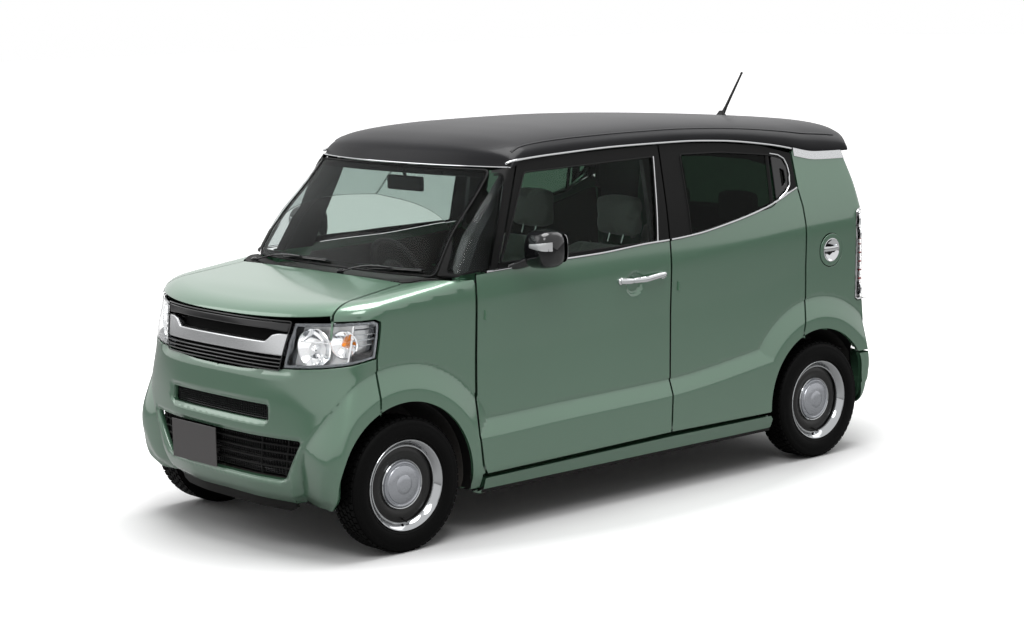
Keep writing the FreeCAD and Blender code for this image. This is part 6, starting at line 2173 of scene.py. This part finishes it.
# ------------------------------------------------------------------ mirrors, fuel lid and wheels
@dataclass
class Details:
    """Door mirrors, the fuel lid and its recess."""

    def build(self) -> None:
        """Make the small outside parts."""
        for side in Side:
            self.mirror(side)
        self.fuel_lid()

    def mirror(self, side: Side) -> None:
        """One door mirror: gloss housing, turn lamp, arm and glass."""
        body = f"front_door_{side.word}"
        soup = Soup()
        rows = []
        for t in np.linspace(0, 1, 25):
            x = 756 + 160 * t
            grow = (1 - abs(2 * t - 1) ** 5) ** 0.5 if 0 < t < 1 else 0.0
            grow = max(grow, 0.03)
            cy, cz = -568 - 12 * t, 1187 + 3 * t
            hy, hz = (80 - 10 * t) * grow, (84 - 8 * t) * grow
            ring = []
            for a in np.linspace(0, 2 * math.pi, 36, endpoint=False):
                c, s = math.cos(a), math.sin(a)
                r = (abs(c) ** 3.2 + abs(s) ** 3.2) ** (-1 / 3.2)
                y = cy + hy * r * c
                ring.append((x, min(y, -508.0 - 12 * t), cz + hz * r * s))
            rows.append(ring)
        soup.grid(np.array(rows), wrap_v=True)
        arm = []
        for t in np.linspace(0, 1, 9):
            x, z = 716 + 72 * t, 1116 + 40 * t ** 1.5
            w, h = 46 - 12 * t, 17 + 8 * t
            arm.append([(x, -634 + 66 * t + w * math.cos(a), z + h * math.sin(a))
                        for a in np.linspace(0, 2 * math.pi, 20, endpoint=False)])
        soup.grid(np.array(arm), wrap_v=True)
        nodes = [f"door_mirror_{side.word}"]
        Shop.piece(soup.build(f"mirror_housing_{side.word}", side), body, [GLOSS_BLACK], nodes)
        lens = []
        for t in np.linspace(0.40, 0.985, 16):
            x = 756 + 160 * t
            grow = (1 - abs(2 * t - 1) ** 5) ** 0.5
            hy = (80 - 10 * t) * grow + 1.6
            tall = 8 + 11 * (t - 0.40) / 0.6
            middle = -568 - 12 * t
            lens.append([(x, middle - hy * (1 - 0.02 * abs(v) ** 3), 1206 + tall * v)
                         for v in np.linspace(-1, 1, 9)])
        front = np.array(lens)
        back = front + [0, 5, 0]
        rows = np.concatenate([front, back[:, ::-1]], axis=1)
        Shop.piece(Soup().grid(rows, wrap_v=True).build(f"mirror_turn_lamp_{side.word}", side), body, [FROST])
        glass = Soup()
        ring = []
        for a in np.linspace(0, 2 * math.pi, 40, endpoint=False):
            c, s = math.cos(a), math.sin(a)
            r = (abs(c) ** 4 + abs(s) ** 4) ** (-0.25)
            ring.append((841 + 62 * r * c, 0.0, 1190 + 62 * r * s))
        ring = np.array(ring)
        middle = np.array([841, 0.0, 1190])
        rows = [ring + [0, -508.2, 0], ring + [0, -506.6, 0],
                (ring - middle) * 0.96 + middle + [0, -505.8, 0],
                (ring - middle) * 0.01 + middle + [0, -505.0, 0]]
        glass.grid(np.array(rows), wrap_v=True)
        Shop.piece(glass.build(f"mirror_glass_{side.word}", side), body, [CHROME])

    def fuel_lid(self) -> None:
        """The round fuel lid: painted ring, bright dish with a finger bar, and its dark cup."""
        y0, z0, r0 = LID

        def turn(r: float) -> Array:
            """A circle about the lid's middle."""
            a = np.linspace(0, 2 * math.pi, 72, endpoint=False)
            return np.stack([y0 + r * np.cos(a), z0 + r * np.sin(a)], 1)

        skin = Panel(plain_side, turn(r0 - 1), [turn(56)], step=10, thick=6, roll=2.5)
        Shop.piece(skin.build("fuel_lid_ring"), "fuel_lid", [PAINT, PAINT], ["fuel_lid"])
        centre = plain_side(np.array([[y0, z0]]))[0]
        normal = Panel(plain_side, np.zeros((1, 2))).normals_at(np.array([[y0, z0]]))[0]
        dish = Soup().lathe([(-10, 57), (1.5, 56.5), (3, 54), (1.5, 51), (-5, 46), (-9, 36), (-12, 20),
                             (-13, 0.1)], centre, normal, 64)
        Shop.piece(dish.build("fuel_lid_dish"), "fuel_lid", [CHROME])
        bar = Soup()
        path = [centre + normal * (2 - 5 * (t / 50) ** 2) + [0, t, 6] for t in np.linspace(-50, 50, 14)]
        bar.tube(np.array(path), 12, sides=12, flat=0.4, up=tuple(normal))
        Shop.piece(bar.build("fuel_lid_bar"), "fuel_lid", [CHROME])
        shade = Soup().lathe([(-8.5, 38), (-11.5, 22), (-12, 0.1)], centre + [0, 0, -12], normal, 40)
        Shop.piece(shade.build("fuel_lid_pocket"), "fuel_lid", [GLOSS_BLACK])
        cup = Soup().lathe([(-4, 86), (-34, 84), (-36, 60), (-37, 0.1)], centre, normal, 48)
        Shop.piece(cup.build("fuel_cup"), "body", [DEEP_BLACK])
        cap = Soup().lathe([(-36, 34), (-18, 33), (-15, 28), (-14, 0.1)], centre, normal, 40)
        cap.box((centre[0] - 18, y0 - 5, z0 - 26), (centre[0] - 9, y0 + 5, z0 + 26), 2)
        Shop.piece(cap.build("fuel_cap"), "body", [TRIM_BLACK])


def plain_side(p: Array) -> Array:
    """The left side without the lid's own sinking."""
    q = side_surface(p)
    lid = np.hypot(p[:, 0] - LID[0], p[:, 1] - LID[1])
    q[:, 0] += 2.0 * (1 - smooth(LID[2] - 4, LID[2] + 3, lid)) * (lid < LID[2] + 3)
    return q


@dataclass
class TreadTree:
    """A Geometry Nodes tree that sets tread blocks round a wheel.

    Attributes:
        name: the tree's name.
    """

    name: str = "tread blocks"

    def tree(self) -> bpy.types.NodeTree:
        """The tree, built the first time it is asked for.

        Returns:
            The node tree, with named inputs for its sizes.
        """
        if self.name in bpy.data.node_groups:
            return bpy.data.node_groups[self.name]
        tree = bpy.data.node_groups.new(self.name, "GeometryNodeTree")
        face = tree.interface
        for label, kind in (("Geometry", "Geometry"), ("Blocks", "Int"), ("Radius", "Float"),
                            ("Size", "Vector"), ("Offset", "Float"), ("Phase", "Float"),
                            ("Slant", "Float"), ("Finish", "Material")):
            face.new_socket(label, in_out="INPUT", socket_type="NodeSocket" + kind)
        face.new_socket("Geometry", in_out="OUTPUT", socket_type="NodeSocketGeometry")
        given = put(tree, "NodeGroupInput").outputs
        ring = put(tree, "GeometryNodeMeshCircle", Vertices=given["Blocks"], Radius=given["Radius"])
        place = put(tree, "GeometryNodeTransform", Geometry=ring.outputs["Mesh"],
                    Rotation=(0, math.pi / 2, 0))
        spin = add(tree, "CombineXYZ", X=given["Phase"])
        spun = put(tree, "GeometryNodeTransform", Geometry=place.outputs["Geometry"],
                   Rotation=spin.outputs["Vector"])
        block = put(tree, "GeometryNodeMeshCube", Size=given["Size"])
        slant = add(tree, "CombineXYZ", Z=given["Slant"])
        leaning = put(tree, "GeometryNodeTransform", Geometry=block.outputs["Mesh"],
                      Rotation=slant.outputs["Vector"])
        aim = put(tree, "FunctionNodeAlignRotationToVector", axis="Z", pivot_axis="X",
                  Vector=put(tree, "GeometryNodeInputPosition").outputs["Position"])
        many = put(tree, "GeometryNodeInstanceOnPoints", Points=spun.outputs["Geometry"],
                   Instance=leaning.outputs["Geometry"], Rotation=aim.outputs["Rotation"])
        shift = add(tree, "CombineXYZ", X=given["Offset"])
        moved = put(tree, "GeometryNodeTransform", Geometry=many.outputs["Instances"],
                    Translation=shift.outputs["Vector"])
        real = put(tree, "GeometryNodeRealizeInstances", Geometry=moved.outputs["Geometry"])
        dress = put(tree, "GeometryNodeSetMaterial", Geometry=real.outputs["Geometry"],
                    Material=given["Finish"])
        put(tree, "NodeGroupOutput", Geometry=dress.outputs["Geometry"])
        return tree

    def row(self, values: dict) -> tuple[Array, list]:
        """One row of blocks, evaluated to a plain mesh.

        Args:
            values: input values by name.

        Returns:
            Its points in millimetres and its faces.
        """
        seed = bpy.data.objects.new("row", bpy.data.meshes.new("row"))
        bpy.context.scene.collection.objects.link(seed)
        modifier = seed.modifiers.new("blocks", "NODES")
        modifier.node_group = self.tree()
        sockets = {item.name: item.identifier for item in self.tree().interface.items_tree
                   if item.item_type == "SOCKET" and item.in_out == "INPUT"}
        for label, value in values.items():
            modifier[sockets[label]] = value
        graph = bpy.context.evaluated_depsgraph_get()
        mesh = bpy.data.meshes.new_from_object(seed.evaluated_get(graph))
        points = np.array([v.co[:] for v in mesh.vertices]) / MM
        faces = [tuple(p.vertices) for p in mesh.polygons]
        seed.modifiers.clear()
        bpy.data.objects.remove(seed)
        bpy.data.meshes.remove(mesh)
        return points, faces


@dataclass
class RoadWheels:
    """Tyres, rims, trim rings and hub caps.

    Attributes:
        rows: each row of tread blocks, as its place across the tread and its lag in blocks.
        blocks: how many blocks a row has.
    """

    blocks: int = 58
    rows: tuple = ((-51.0, 0.0), (-25.5, 0.5), (0.0, 0.0), (25.5, 0.5), (51.0, 0.0))

    def build(self) -> None:
        """Make the four wheels."""
        for end, y in (("front", FRONT_AXLE), ("rear", REAR_AXLE)):
            for side in Side:
                self.wheel(end, y, side)

    def wheel(self, end: str, y: float, side: Side) -> None:
        """One wheel on its own body.

        Args:
            end: front or rear.
            y: the axle's station.
            side: the car's side.
        """
        word = f"{end}_{side.word}"
        body = f"{word}_wheel"
        hub = np.array([TRACK, y, AXLE_HEIGHT])
        side_profile = [(52, 178), (58, 184), (66, 191), (70, 197), (72.5, 199), (72.2, 202), (74.5, 206),
                        (77, 218), (77.5, 229), (76.5, 243), (74.6, 249), (75.0, 252), (73, 259), (69, 266),
                        (63.5, 270.5), (57, 272.4)]
        profile = [(-a, r) for a, r in side_profile] + side_profile[::-1]
        tyre = Soup().lathe(profile, hub, (1, 0, 0), 128, closed=True)
        tree = TreadTree()
        for k, (x, phase) in enumerate(self.rows):
            edge = abs(x) > 40
            points, faces = tree.row({"Blocks": self.blocks, "Radius": 275.1 * MM,
                                      "Size": ((19.0 if edge else 20.5) * MM, 22.5 * MM, 6.0 * MM),
                                      "Offset": x * MM, "Phase": phase * 2 * math.pi / self.blocks,
                                      "Slant": 0.0 if edge else 0.28, "Finish": RUBBER.material()})
            tyre.add(points + hub, faces)
        Shop.piece(tyre.build(f"{word}_tyre_rubber", side, weld=False), body, [RUBBER], [f"{word}_tyre"])
        disc = Soup()
        disc.lathe([(-56, 178.5), (-62, 184), (-64, 180), (-58, 170), (-44, 163), (22, 160), (34, 158),
                    (33, 152), (35, 146), (38, 134), (37, 120), (33, 110), (30, 100), (30, 55), (30, 0.2),
                    (22, 0.2), (22, 98), (26, 112), (30, 134), (22, 148), (14, 152), (-44, 155),
                    (-56, 164)][::-1], hub, (1, 0, 0), 96)
        for k in range(4):
            a = math.pi / 4 + k * math.pi / 2
            centre = hub + [30, 50 * math.cos(a), 50 * math.sin(a)]
            disc.lathe([(-2, 10), (9, 10), (12, 6), (13, 0.1)], centre, (1, 0, 0), 6)
        Shop.piece(disc.build(f"{word}_steel_disc", side), body, [STEEL], [f"{word}_rim"])
        ring = Soup().lathe([(57, 179), (63, 187), (66.5, 188.5), (68, 187), (67, 183), (62, 178)], hub,
                            (1, 0, 0), 112, closed=True)
        ring.lathe([(40, 161), (44, 161.5), (44, 157), (38, 156)], hub, (1, 0, 0), 112, closed=True)
        ring.lathe([(31, 104), (38, 103.5), (41, 101), (39, 97), (32, 96)], hub, (1, 0, 0), 80, closed=True)
        ring.lathe([(62, 178), (67, 183), (64, 179.5), (58, 172), (50, 166), (43, 161), (40, 161), (46, 168),
                    (54, 175)], hub, (1, 0, 0), 112, slot=1, closed=True)
        # the ring's darker chrome is a painted dark reflection, and the groove's shadowed chrome is painted
        # shade
        Shop.piece(ring.build(f"{word}_trim_ring", side), body, [RING_CHROME, DARK_CHROME])
        cap = Soup().lathe([(30, 96.5), (38, 96), (43, 93), (44, 88), (41, 84), (41, 80), (45, 77), (49, 66),
                            (52, 50), (53, 40), (55.5, 37), (58, 26), (59.5, 12), (60, 0.1)], hub, sides=80)
        Shop.piece(cap.build(f"{word}_hub_cap", side), body, [GREY_CAP])
        stem = Soup().tube(np.array([hub + [32, 0, -146], hub + [48, 0, -150], hub + [60, 0, -152]]), 4,
                           sides=10, up=(0, 1, 0))
        Shop.piece(stem.build(f"{word}_valve_stem", side), body, [TRIM_BLACK])


# ------------------------------------------------------------------ the cabin
@dataclass
class Cushion:
    """A padded piece: a rounded form blown up as cloth, then sewn.

    Attributes:
        name: the piece's name.
        low: its lowest corner before it swells.
        high: its highest corner.
        lean: how far it leans back over its height, mm.
        channels: X of the sewn channels that run up or along it.
        cross: shares of its length at which a channel runs across.
        grid: voxel size.
        cap: the most that a point may move.
    """

    name: str
    low: tuple
    high: tuple
    lean: float = 0.0
    channels: tuple = ()
    cross: tuple = ()
    grid: float = 10.0
    cap: float = 24.0

    def form(self) -> tuple[Array, list]:
        """The form before it swells: a rounded, slightly waisted block as a net."""
        lo, hi = np.asarray(self.low, float), np.asarray(self.high, float)
        centre, half = (lo + hi) / 2, (hi - lo) / 2
        rows = []
        for a in np.linspace(-math.pi / 2, math.pi / 2, 15):
            ring = []
            for b in np.linspace(0, 2 * math.pi, 48, endpoint=False):
                n = np.array([math.cos(a) * math.cos(b), math.cos(a) * math.sin(b), math.sin(a)])
                r = (np.abs(n) ** 7.0).sum() ** (-1 / 7.0)
                ring.append(centre + half * n * r)
            rows.append(ring)
        rows = np.array(rows)
        soup = Soup().grid(rows, wrap_v=True)
        return np.concatenate(soup.verts), soup.faces

    def shear(self, points: Array) -> Array:
        """Points leaned back with the cushion."""
        out = points.copy()
        out[:, 1] += self.lean * (points[:, 2] - self.low[2]) / (self.high[2] - self.low[2])
        return out

    def build(self, node: Sequence[str] = ()) -> None:
        points, faces = self.form()
        obj = new_object(self.name, points, faces)
        drop_repeats(obj.data)
        remesh = obj.modifiers.new("net", "REMESH")
        remesh.mode, remesh.voxel_size = "VOXEL", self.grid * MM
        graph = bpy.context.evaluated_depsgraph_get()
        net = bpy.data.meshes.new_from_object(obj.evaluated_get(graph))
        obj.modifiers.clear()
        obj.data = net
        start = self.read(net)
        swollen = self.inflate(obj)
        move = swollen - start
        size = np.linalg.norm(move, axis=1)[:, None]
        moved = start + move * np.minimum(1, self.cap / np.maximum(size, 1e-6))
        lo, hi = np.asarray(self.low) - 14, np.asarray(self.high) + 14
        moved = np.clip(moved, lo, hi)
        moved = self.shear(self.sew(moved))
        net.vertices.foreach_set("co", (moved * MM).ravel())
        net.update()
        net.polygons.foreach_set("use_smooth", [True] * len(net.polygons))
        subdivide(obj, 1)
        Shop.piece(obj, "body", [CLOTH], node)

    @staticmethod
    def read(mesh: bpy.types.Mesh) -> Array:
        """A mesh's points in millimetres."""
        co = np.empty(len(mesh.vertices) * 3)
        mesh.vertices.foreach_get("co", co)
        return co.reshape(-1, 3) / MM

    def inflate(self, obj: bpy.types.Object) -> Array:
        """The points after twenty frames of cloth under pressure.

        Args:
            obj: the cushion's net; its modifier is removed again.

        Returns:
            The moved points in millimetres.
        """
        cloth = obj.modifiers.new("cloth", "CLOTH")
        settings = cloth.settings
        settings.use_pressure, settings.uniform_pressure_force = True, 4.0
        settings.effector_weights.gravity = 0.0
        settings.quality = 4
        cloth.collision_settings.use_collision = False
        cloth.point_cache.frame_start, cloth.point_cache.frame_end = 1, 20
        scene = bpy.context.scene
        for step in range(1, 21):
            scene.frame_set(step)
        graph = bpy.context.evaluated_depsgraph_get()
        mesh = bpy.data.meshes.new_from_object(obj.evaluated_get(graph))
        points = self.read(mesh)
        bpy.data.meshes.remove(mesh)
        obj.modifiers.clear()
        scene.frame_set(1)
        return points

    def sew(self, points: Array) -> Array:
        """Press the sewn channels into the swollen form."""
        lo, hi = np.asarray(self.low, float), np.asarray(self.high, float)
        centre, half = (lo + hi) / 2, (hi - lo) / 2
        depth = np.zeros(len(points))
        for x in self.channels:
            depth = np.maximum(depth, np.exp(-((points[:, 0] - x) / 9.0) ** 2))
        tall = half[2] > half[1]
        run = 2 if tall else 1
        for share in self.cross:
            at = lo[run] + share * (hi[run] - lo[run])
            depth = np.maximum(depth, np.exp(-((points[:, run] - at) / 9.0) ** 2) * 0.8)
        thin = 1 if tall else 2
        pull = -np.sign(points[:, thin] - centre[thin]) * 9.0 * depth
        out = points.copy()
        out[:, thin] += pull
        return out


def subdivide(obj: bpy.types.Object, levels: int) -> None:
    """Apply a subdivision to a piece's mesh."""
    modifier = obj.modifiers.new("smooth", "SUBSURF")
    modifier.levels = modifier.render_levels = levels
    graph = bpy.context.evaluated_depsgraph_get()
    mesh = bpy.data.meshes.new_from_object(obj.evaluated_get(graph))
    obj.modifiers.clear()
    obj.data = mesh


@dataclass
class Cabin:
    """Dashboard, steering wheel, seats, carpet and small controls.

    Attributes:
        wheel_radius: outer radius of the steering wheel.
        wheel_hub: its middle.
        wheel_rake: its axis's tilt, degrees.
    """

    wheel_radius: float = 182.0
    wheel_hub: tuple = (-335.0, -424.5, 985.0)
    wheel_rake: float = 28.0

    def build(self) -> None:
        """Make the cabin."""
        self.dashboard()
        self.steering_wheel()
        self.front_seat()
        self.rear_seat()
        self.floor()

    def dashboard(self) -> None:
        """The dashboard: a soft top, a stepped face, vents, screen, binnacle and lever."""
        soup = Soup()
        profile = [(-1018, 1000), (-1018, 1052), (-960, 1058), (-860, 1056), (-790, 1046), (-752, 1024),
                   (-742, 990), (-760, 962), (-764, 930), (-716, 918), (-706, 880), (-716, 820), (-770, 760),
                   (-820, 700), (-850, 656), (-960, 648)]
        rows = []
        for x in np.linspace(-612, 612, 60):
            t = abs(x) / 612
            bow = 10 * t ** 3
            rows.append([(x, y - (bow if y > -900 else 0), z - 6 * t ** 4) for y, z in profile])
        soup.grid(np.array(rows), wrap_v=True)
        for x in (-612, 612):
            ring = [(x, y - 10, z - 6) for y, z in profile]
            mid = np.mean(ring, axis=0)
            net = np.array([ring, [tuple(mid + (np.array(p) - mid) * 0.01) for p in ring]])
            soup.grid(net if x < 0 else net[::-1], wrap_v=True)
        hood = []
        for a in np.linspace(0, math.pi, 15):
            hood.append([(-335 + 150 * math.cos(a) * s, y, 1000 + 58 * math.sin(a) * s)
                         for y, s in ((-880, 0.9), (-740, 1.0), (-728, 0.97), (-760, 0.9))])
        soup.grid(np.array(hood))
        Shop.piece(soup.build("dash_shell"), "body", [CABIN_PLASTIC], ["dashboard"])
        face = Soup()
        face.box((-120, -768, 938), (120, -748, 1028), 5)
        for x in (-560, -175, 175, 560):
            face.box((x - 44, -772, 950), (x + 44, -752, 1010), 8)
            for k in range(5):
                face.box((x - 38, -756, 957 + 10 * k), (x + 38, -746, 960 + 10 * k), 1)
        for x in (-66, 0, 66):
            face.lathe([(-4, 27), (14, 26), (17, 20), (18, 0.1)], (x, -716, 880), (0, 1, 0), 28)
        face.box((-30, -712, 770), (30, -660, 850), 9)
        face.tube(np.array([(0, -700, 815), (0, -640, 842), (0, -628, 860)]), 11, sides=10, up=(1, 0, 0))
        face.box((200, -716, 800), (560, -708, 868), 3)
        Shop.piece(face.build("dash_controls"), "body", [GLOSS_BLACK])
        dials = Soup()
        for x in (-400, -270):
            dials.lathe([(-2, 46), (4, 45), (5, 42), (1, 40), (0.5, 0.1)], (x, -752, 1004), (0, 1, 0), 40)
        Shop.piece(dials.build("dash_dials"), "body", [SATIN])

    def steering_wheel(self) -> None:
        """The wheel's rim, three spokes and boss, with its column."""
        rake = math.radians(self.wheel_rake)
        axis = np.array([0, math.cos(rake), math.sin(rake)])
        across = np.array([1.0, 0, 0])
        rise = np.cross(axis, across) * -1
        rise = rise if rise[2] > 0 else -rise
        hub = np.array(self.wheel_hub)
        r = self.wheel_radius - 15
        a = np.linspace(0, 2 * math.pi, 72, endpoint=False)
        path = hub + r * (np.cos(a)[:, None] * across + np.sin(a)[:, None] * rise)
        soup = Soup().tube(path, 14.5, sides=14, closed=True, up=tuple(axis))
        for angle in (0.0, math.pi, -math.pi / 2):
            way = across * math.cos(angle) + rise * math.sin(angle)
            spoke = np.array([hub - axis * 22 + way * t for t in np.linspace(30, r, 8)])
            spoke += axis * (22 * np.linspace(0, 1, 8)[:, None] ** 2)
            soup.tube(spoke, 20, sides=10, flat=0.45, up=tuple(axis))
        soup.lathe([(-70, 24), (-46, 52), (-30, 74), (-12, 76), (0, 64), (5, 40), (6, 0.1)], hub - axis * 8,
                   axis, 40)
        Shop.piece(soup.build("steering_rim"), "steering_wheel", [CABIN_PLASTIC], ["steering_wheel"])
        column = Soup().lathe([(-330, 40), (-120, 46), (-84, 44), (-80, 0.1)], hub, axis, 28)
        for x in (-1, 1):
            start = hub - axis * 110 + across * x * 30
            column.tube(np.array([start, start + across * x * 120 - axis * 4]), 8, sides=8)
        Shop.piece(column.build("steering_column"), "body", [CABIN_PLASTIC])

    def front_seat(self) -> None:
        """The front bench: two-place cushion and back, with head rests."""
        Cushion("front_cushion", (-546, -245, 505), (546, 206, 626), channels=(-440, -16, 16, 440),
                cross=(0.12, 0.5)).build(["front_seat"])
        Cushion("front_back_left", (14, 150, 622), (546, 236, 1112), lean=107, channels=(150, 410),
                cross=(0.3, 0.75)).build()
        Cushion("front_back_right", (-546, 150, 622), (-14, 236, 1112), lean=107, channels=(-150, -410),
                cross=(0.3, 0.75)).build()
        for x, word in ((300, "left"), (-300, "right")):
            Cushion(f"front_head_{word}", (x - 128, 332, 1128), (x + 128, 404, 1306), grid=7.0,
                    cap=14).build()
        self.posts("front_seat_posts", (-300, 300), 352, 1095, 1145)
        frame_soup = Soup()
        frame_soup.box((-540, -230, 470), (540, 200, 500), 10)
        for x in (-480, -120, 120, 480):
            frame_soup.box((x - 18, -220, 247), (x + 18, 190, 290), 5)
            frame_soup.box((x - 9, -180, 280), (x + 9, -120, 480), 3)
            frame_soup.box((x - 9, 90, 280), (x + 9, 150, 480), 3)
        Shop.piece(frame_soup.build("front_seat_frame"), "body", [CABIN_PLASTIC])

    def rear_seat(self) -> None:
        """The rear bench with two backs and head rests."""
        Cushion("rear_cushion", (-414, 734, 552), (414, 1150, 676), channels=(-6, 6), cross=(0.15, 0.55)
                ).build(["rear_seat"])
        Cushion("rear_back_left", (8, 1096, 664), (414, 1172, 1098), lean=92, channels=(110, 310),
                cross=(0.35,)).build()
        Cushion("rear_back_right", (-414, 1096, 664), (-8, 1172, 1098), lean=92, channels=(-110, -310),
                cross=(0.35,)).build()
        for x, word in ((230, "left"), (-230, "right")):
            Cushion(f"rear_head_{word}", (x - 115, 1206, 1112), (x + 115, 1272, 1256), grid=7.0,
                    cap=12).build()
        self.posts("rear_seat_posts", (-230, 230), 1228, 1080, 1125)
        base = Soup().box((-405, 750, 485), (405, 1140, 548), 10)
        Shop.piece(base.build("rear_seat_base"), "body", [CABIN_PLASTIC])

    @staticmethod
    def posts(name: str, places: Sequence[float], y: float, low: float, high: float) -> None:
        """The head rests' bright posts."""
        soup = Soup()
        for x in places:
            for dx in (-45, 45):
                soup.tube(np.array([(x + dx, y - 20, low), (x + dx, y, high)]), 6, sides=10, up=(1, 0, 0))
        Shop.piece(soup.build(name), "body", [CHROME])

    def floor(self) -> None:
        """The carpet over the floor pan."""
        y = np.array([-1030, -1000, -940, -860, -300, 300, 900, 945, 960, 1100, 1560])
        z = np.array([420, 330, 270, 250, 250, 250, 250, 256, 482, 484, 484])
        half = np.interp(y, [-1030, -1000, -940, -860], [360, 400, 500, 640])
        rows = [[(x, v, w + 2 + (18 * math.exp(-(x / 90) ** 2) if w < 260 else 0))
                 for x in np.linspace(-h, h, 40)] for v, w, h in zip(y, z, half)]
        soup = Soup().grid(np.array(rows)[:, ::-1])
        Shop.piece(soup.build("cabin_carpet", weld=False), "body", [CARPET])


# finishes of the CAD nodes that stay in sight
FRAME_FINISHES = {
    "floor_pan": UNDER, "front_bulkhead": UNDER, "rear_wheel_wells": UNDER, "side_frame_left": FRAME_PAINT,
    "side_frame_right": FRAME_PAINT, "front_subframe": UNDER, "rear_axle_beam": UNDER, "exhaust": BARE,
    "fuel_tank": UNDER, "engine_block": CAST, "knuckle_left": CAST, "knuckle_right": CAST,
}


# ------------------------------------------------------------------ floor, light and camera
@dataclass
class Studio:
    """A pale floor, soft lamps and the camera.

    Attributes:
        azimuth: the camera's bearing from the car's nose towards its left side, degrees.
        elevation: its height angle, degrees.
        distance: from its target, mm.
        roll: its turn about its own axis, degrees.
        lens: focal length for a sensor 36 mm wide.
        target: the point it looks at.
        lamps: each lamp's name, place in metres, size in metres and power in watts.
    """

    azimuth: float = 49.02
    elevation: float = 8.46
    distance: float = 10262.0
    roll: float = -1.24
    lens: float = 78.09
    target: tuple = (0.0, -38.6, 777.0)
    lamps: tuple = (("key", (5.0, -4.5, 7.5), 4.0, 210.0), ("fill", (-6.5, -6.0, 5.5), 6.0, 110.0),
                    ("back", (1.0, 7.5, 6.5), 6.0, 130.0), ("top", (0.0, 0.0, 7.5), 6.0, 620.0))

    def build(self) -> None:
        """Make the floor, the world, the lamps and the camera."""
        self.floor()
        self.world()
        for name, at, size, power in self.lamps:
            lamp = bpy.data.lights.new(name, "AREA")
            lamp.shape, lamp.size, lamp.energy = "DISK", size, power
            obj = bpy.data.objects.new(name, lamp)
            obj.location = at
            obj.rotation_euler = (Vector((0, 0, 0.6)) - Vector(at)).to_track_quat("-Z", "Y").to_euler()
            bpy.context.scene.collection.objects.link(obj)
        self.camera()

    def floor(self) -> None:
        """A wide white floor that keeps the car's shadow."""
        soup = Soup().grid(np.array([[(x, y, 0.0) for y in (-60000, 60000)] for x in (-60000, 60000)]))
        obj = soup.build("studio_floor", weld=False)
        material = bpy.data.materials.new("studio_floor")
        material.use_nodes = True
        tree = material.node_tree
        shader = tree.nodes["Principled BSDF"]
        path = add(tree, "LightPath").outputs
        cloud = add(tree, "TexNoise", Scale=3.0)
        level = add(tree, "MapRange", Value=cloud.outputs["Fac"], To_Min=0.88, To_Max=0.92)
        feed(tree, shader.inputs["Roughness"], level.outputs["Result"])
        feed(tree, shader.inputs["Base Color"],
             blend(tree, path["Is Camera Ray"], (0.42, 0.42, 0.42, 1), (0.80, 0.80, 0.80, 1)))
        feed(tree, shader.inputs["Emission Color"], (1, 1, 1, 1))
        oval = add(tree, "VectorMath", add(tree, "TexCoord").outputs["Object"], (1.75, 1.0, 1.0),
                   operation="MULTIPLY")
        reach = add(tree, "VectorMath", oval.outputs["Vector"], operation="LENGTH")
        far = add(tree, "MapRange", Value=reach.outputs["Value"], From_Min=1.8, From_Max=3.3,
                  To_Min=0.0, To_Max=1.0)
        seen = add(tree, "Math", path["Is Camera Ray"], path["Is Transmission Ray"], operation="MAXIMUM")
        glow = add(tree, "Math", seen.outputs[0], far.outputs["Result"], operation="MULTIPLY")
        feed(tree, shader.inputs["Emission Strength"], glow.outputs[0])
        obj.data.materials.append(material)

    def world(self) -> None:
        """A soft sky for light, white where it is seen, mirrored or looked at through glass."""
        world = bpy.data.worlds.new("studio")
        bpy.context.scene.world = world
        world.use_nodes = True
        tree = world.node_tree
        back = tree.nodes["Background"]
        back.inputs["Color"].default_value = (1, 1, 1, 1)
        path = add(tree, "LightPath").outputs
        seen = add(tree, "Math", path["Is Camera Ray"], path["Is Transmission Ray"], operation="MAXIMUM")
        more = add(tree, "Math", seen.outputs[0], path["Is Glossy Ray"], operation="MAXIMUM")
        level = add(tree, "MapRange", Value=more.outputs[0], To_Min=0.24, To_Max=1.0)
        feed(tree, back.inputs["Strength"], level.outputs["Result"])

    def camera(self) -> None:
        """The camera, at the three-quarter view from the car's left front."""
        az, el, roll = (math.radians(a) for a in (self.azimuth, self.elevation, self.roll))
        back = Vector((math.cos(el) * math.sin(az), -math.cos(el) * math.cos(az), math.sin(el)))
        target = Vector(self.target) * MM
        data = bpy.data.cameras.new("camera")
        data.lens, data.sensor_width = self.lens, 36.0
        data.clip_end = 200.0
        obj = bpy.data.objects.new("camera", data)
        obj.location = target + back * self.distance * MM
        turn = (-back).to_track_quat("-Z", "Y")
        obj.rotation_mode = "QUATERNION"
        obj.rotation_quaternion = turn @ Quaternion((0, 0, 1), roll)
        bpy.context.scene.collection.objects.link(obj)
        bpy.context.scene.camera = obj


def dress_frame(finishes: dict) -> None:
    """Give each CAD node that stays in sight its finish.

    Args:
        finishes: finish by node name.
    """
    for name, finish in finishes.items():
        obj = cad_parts[name]
        for slot in obj.material_slots:
            slot.material = finish.material()
        LOG.info("node %s in %s", name, finish.name)


def write_sizes() -> None:
    """Bring the view layer up to date."""
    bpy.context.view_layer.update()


def main() -> None:
    """Build the car, sub-assembly by sub-assembly."""
    logging.basicConfig(level=logging.INFO, format="%(message)s")
    bpy.context.scene.view_settings.view_transform = "Standard"
    for part in (FrontEnd(), Hood(), SideBody(), Doors(), Roof(), RearEnd(), Glazing(), Details(),
                 RoadWheels(), Cabin(), Studio()):
        part.build()
        LOG.info("built %s, %d pieces so far", type(part).__name__, Shop.made)
    dress_frame(FRAME_FINISHES)
    write_sizes()


if __name__ == "__main__":
    main()
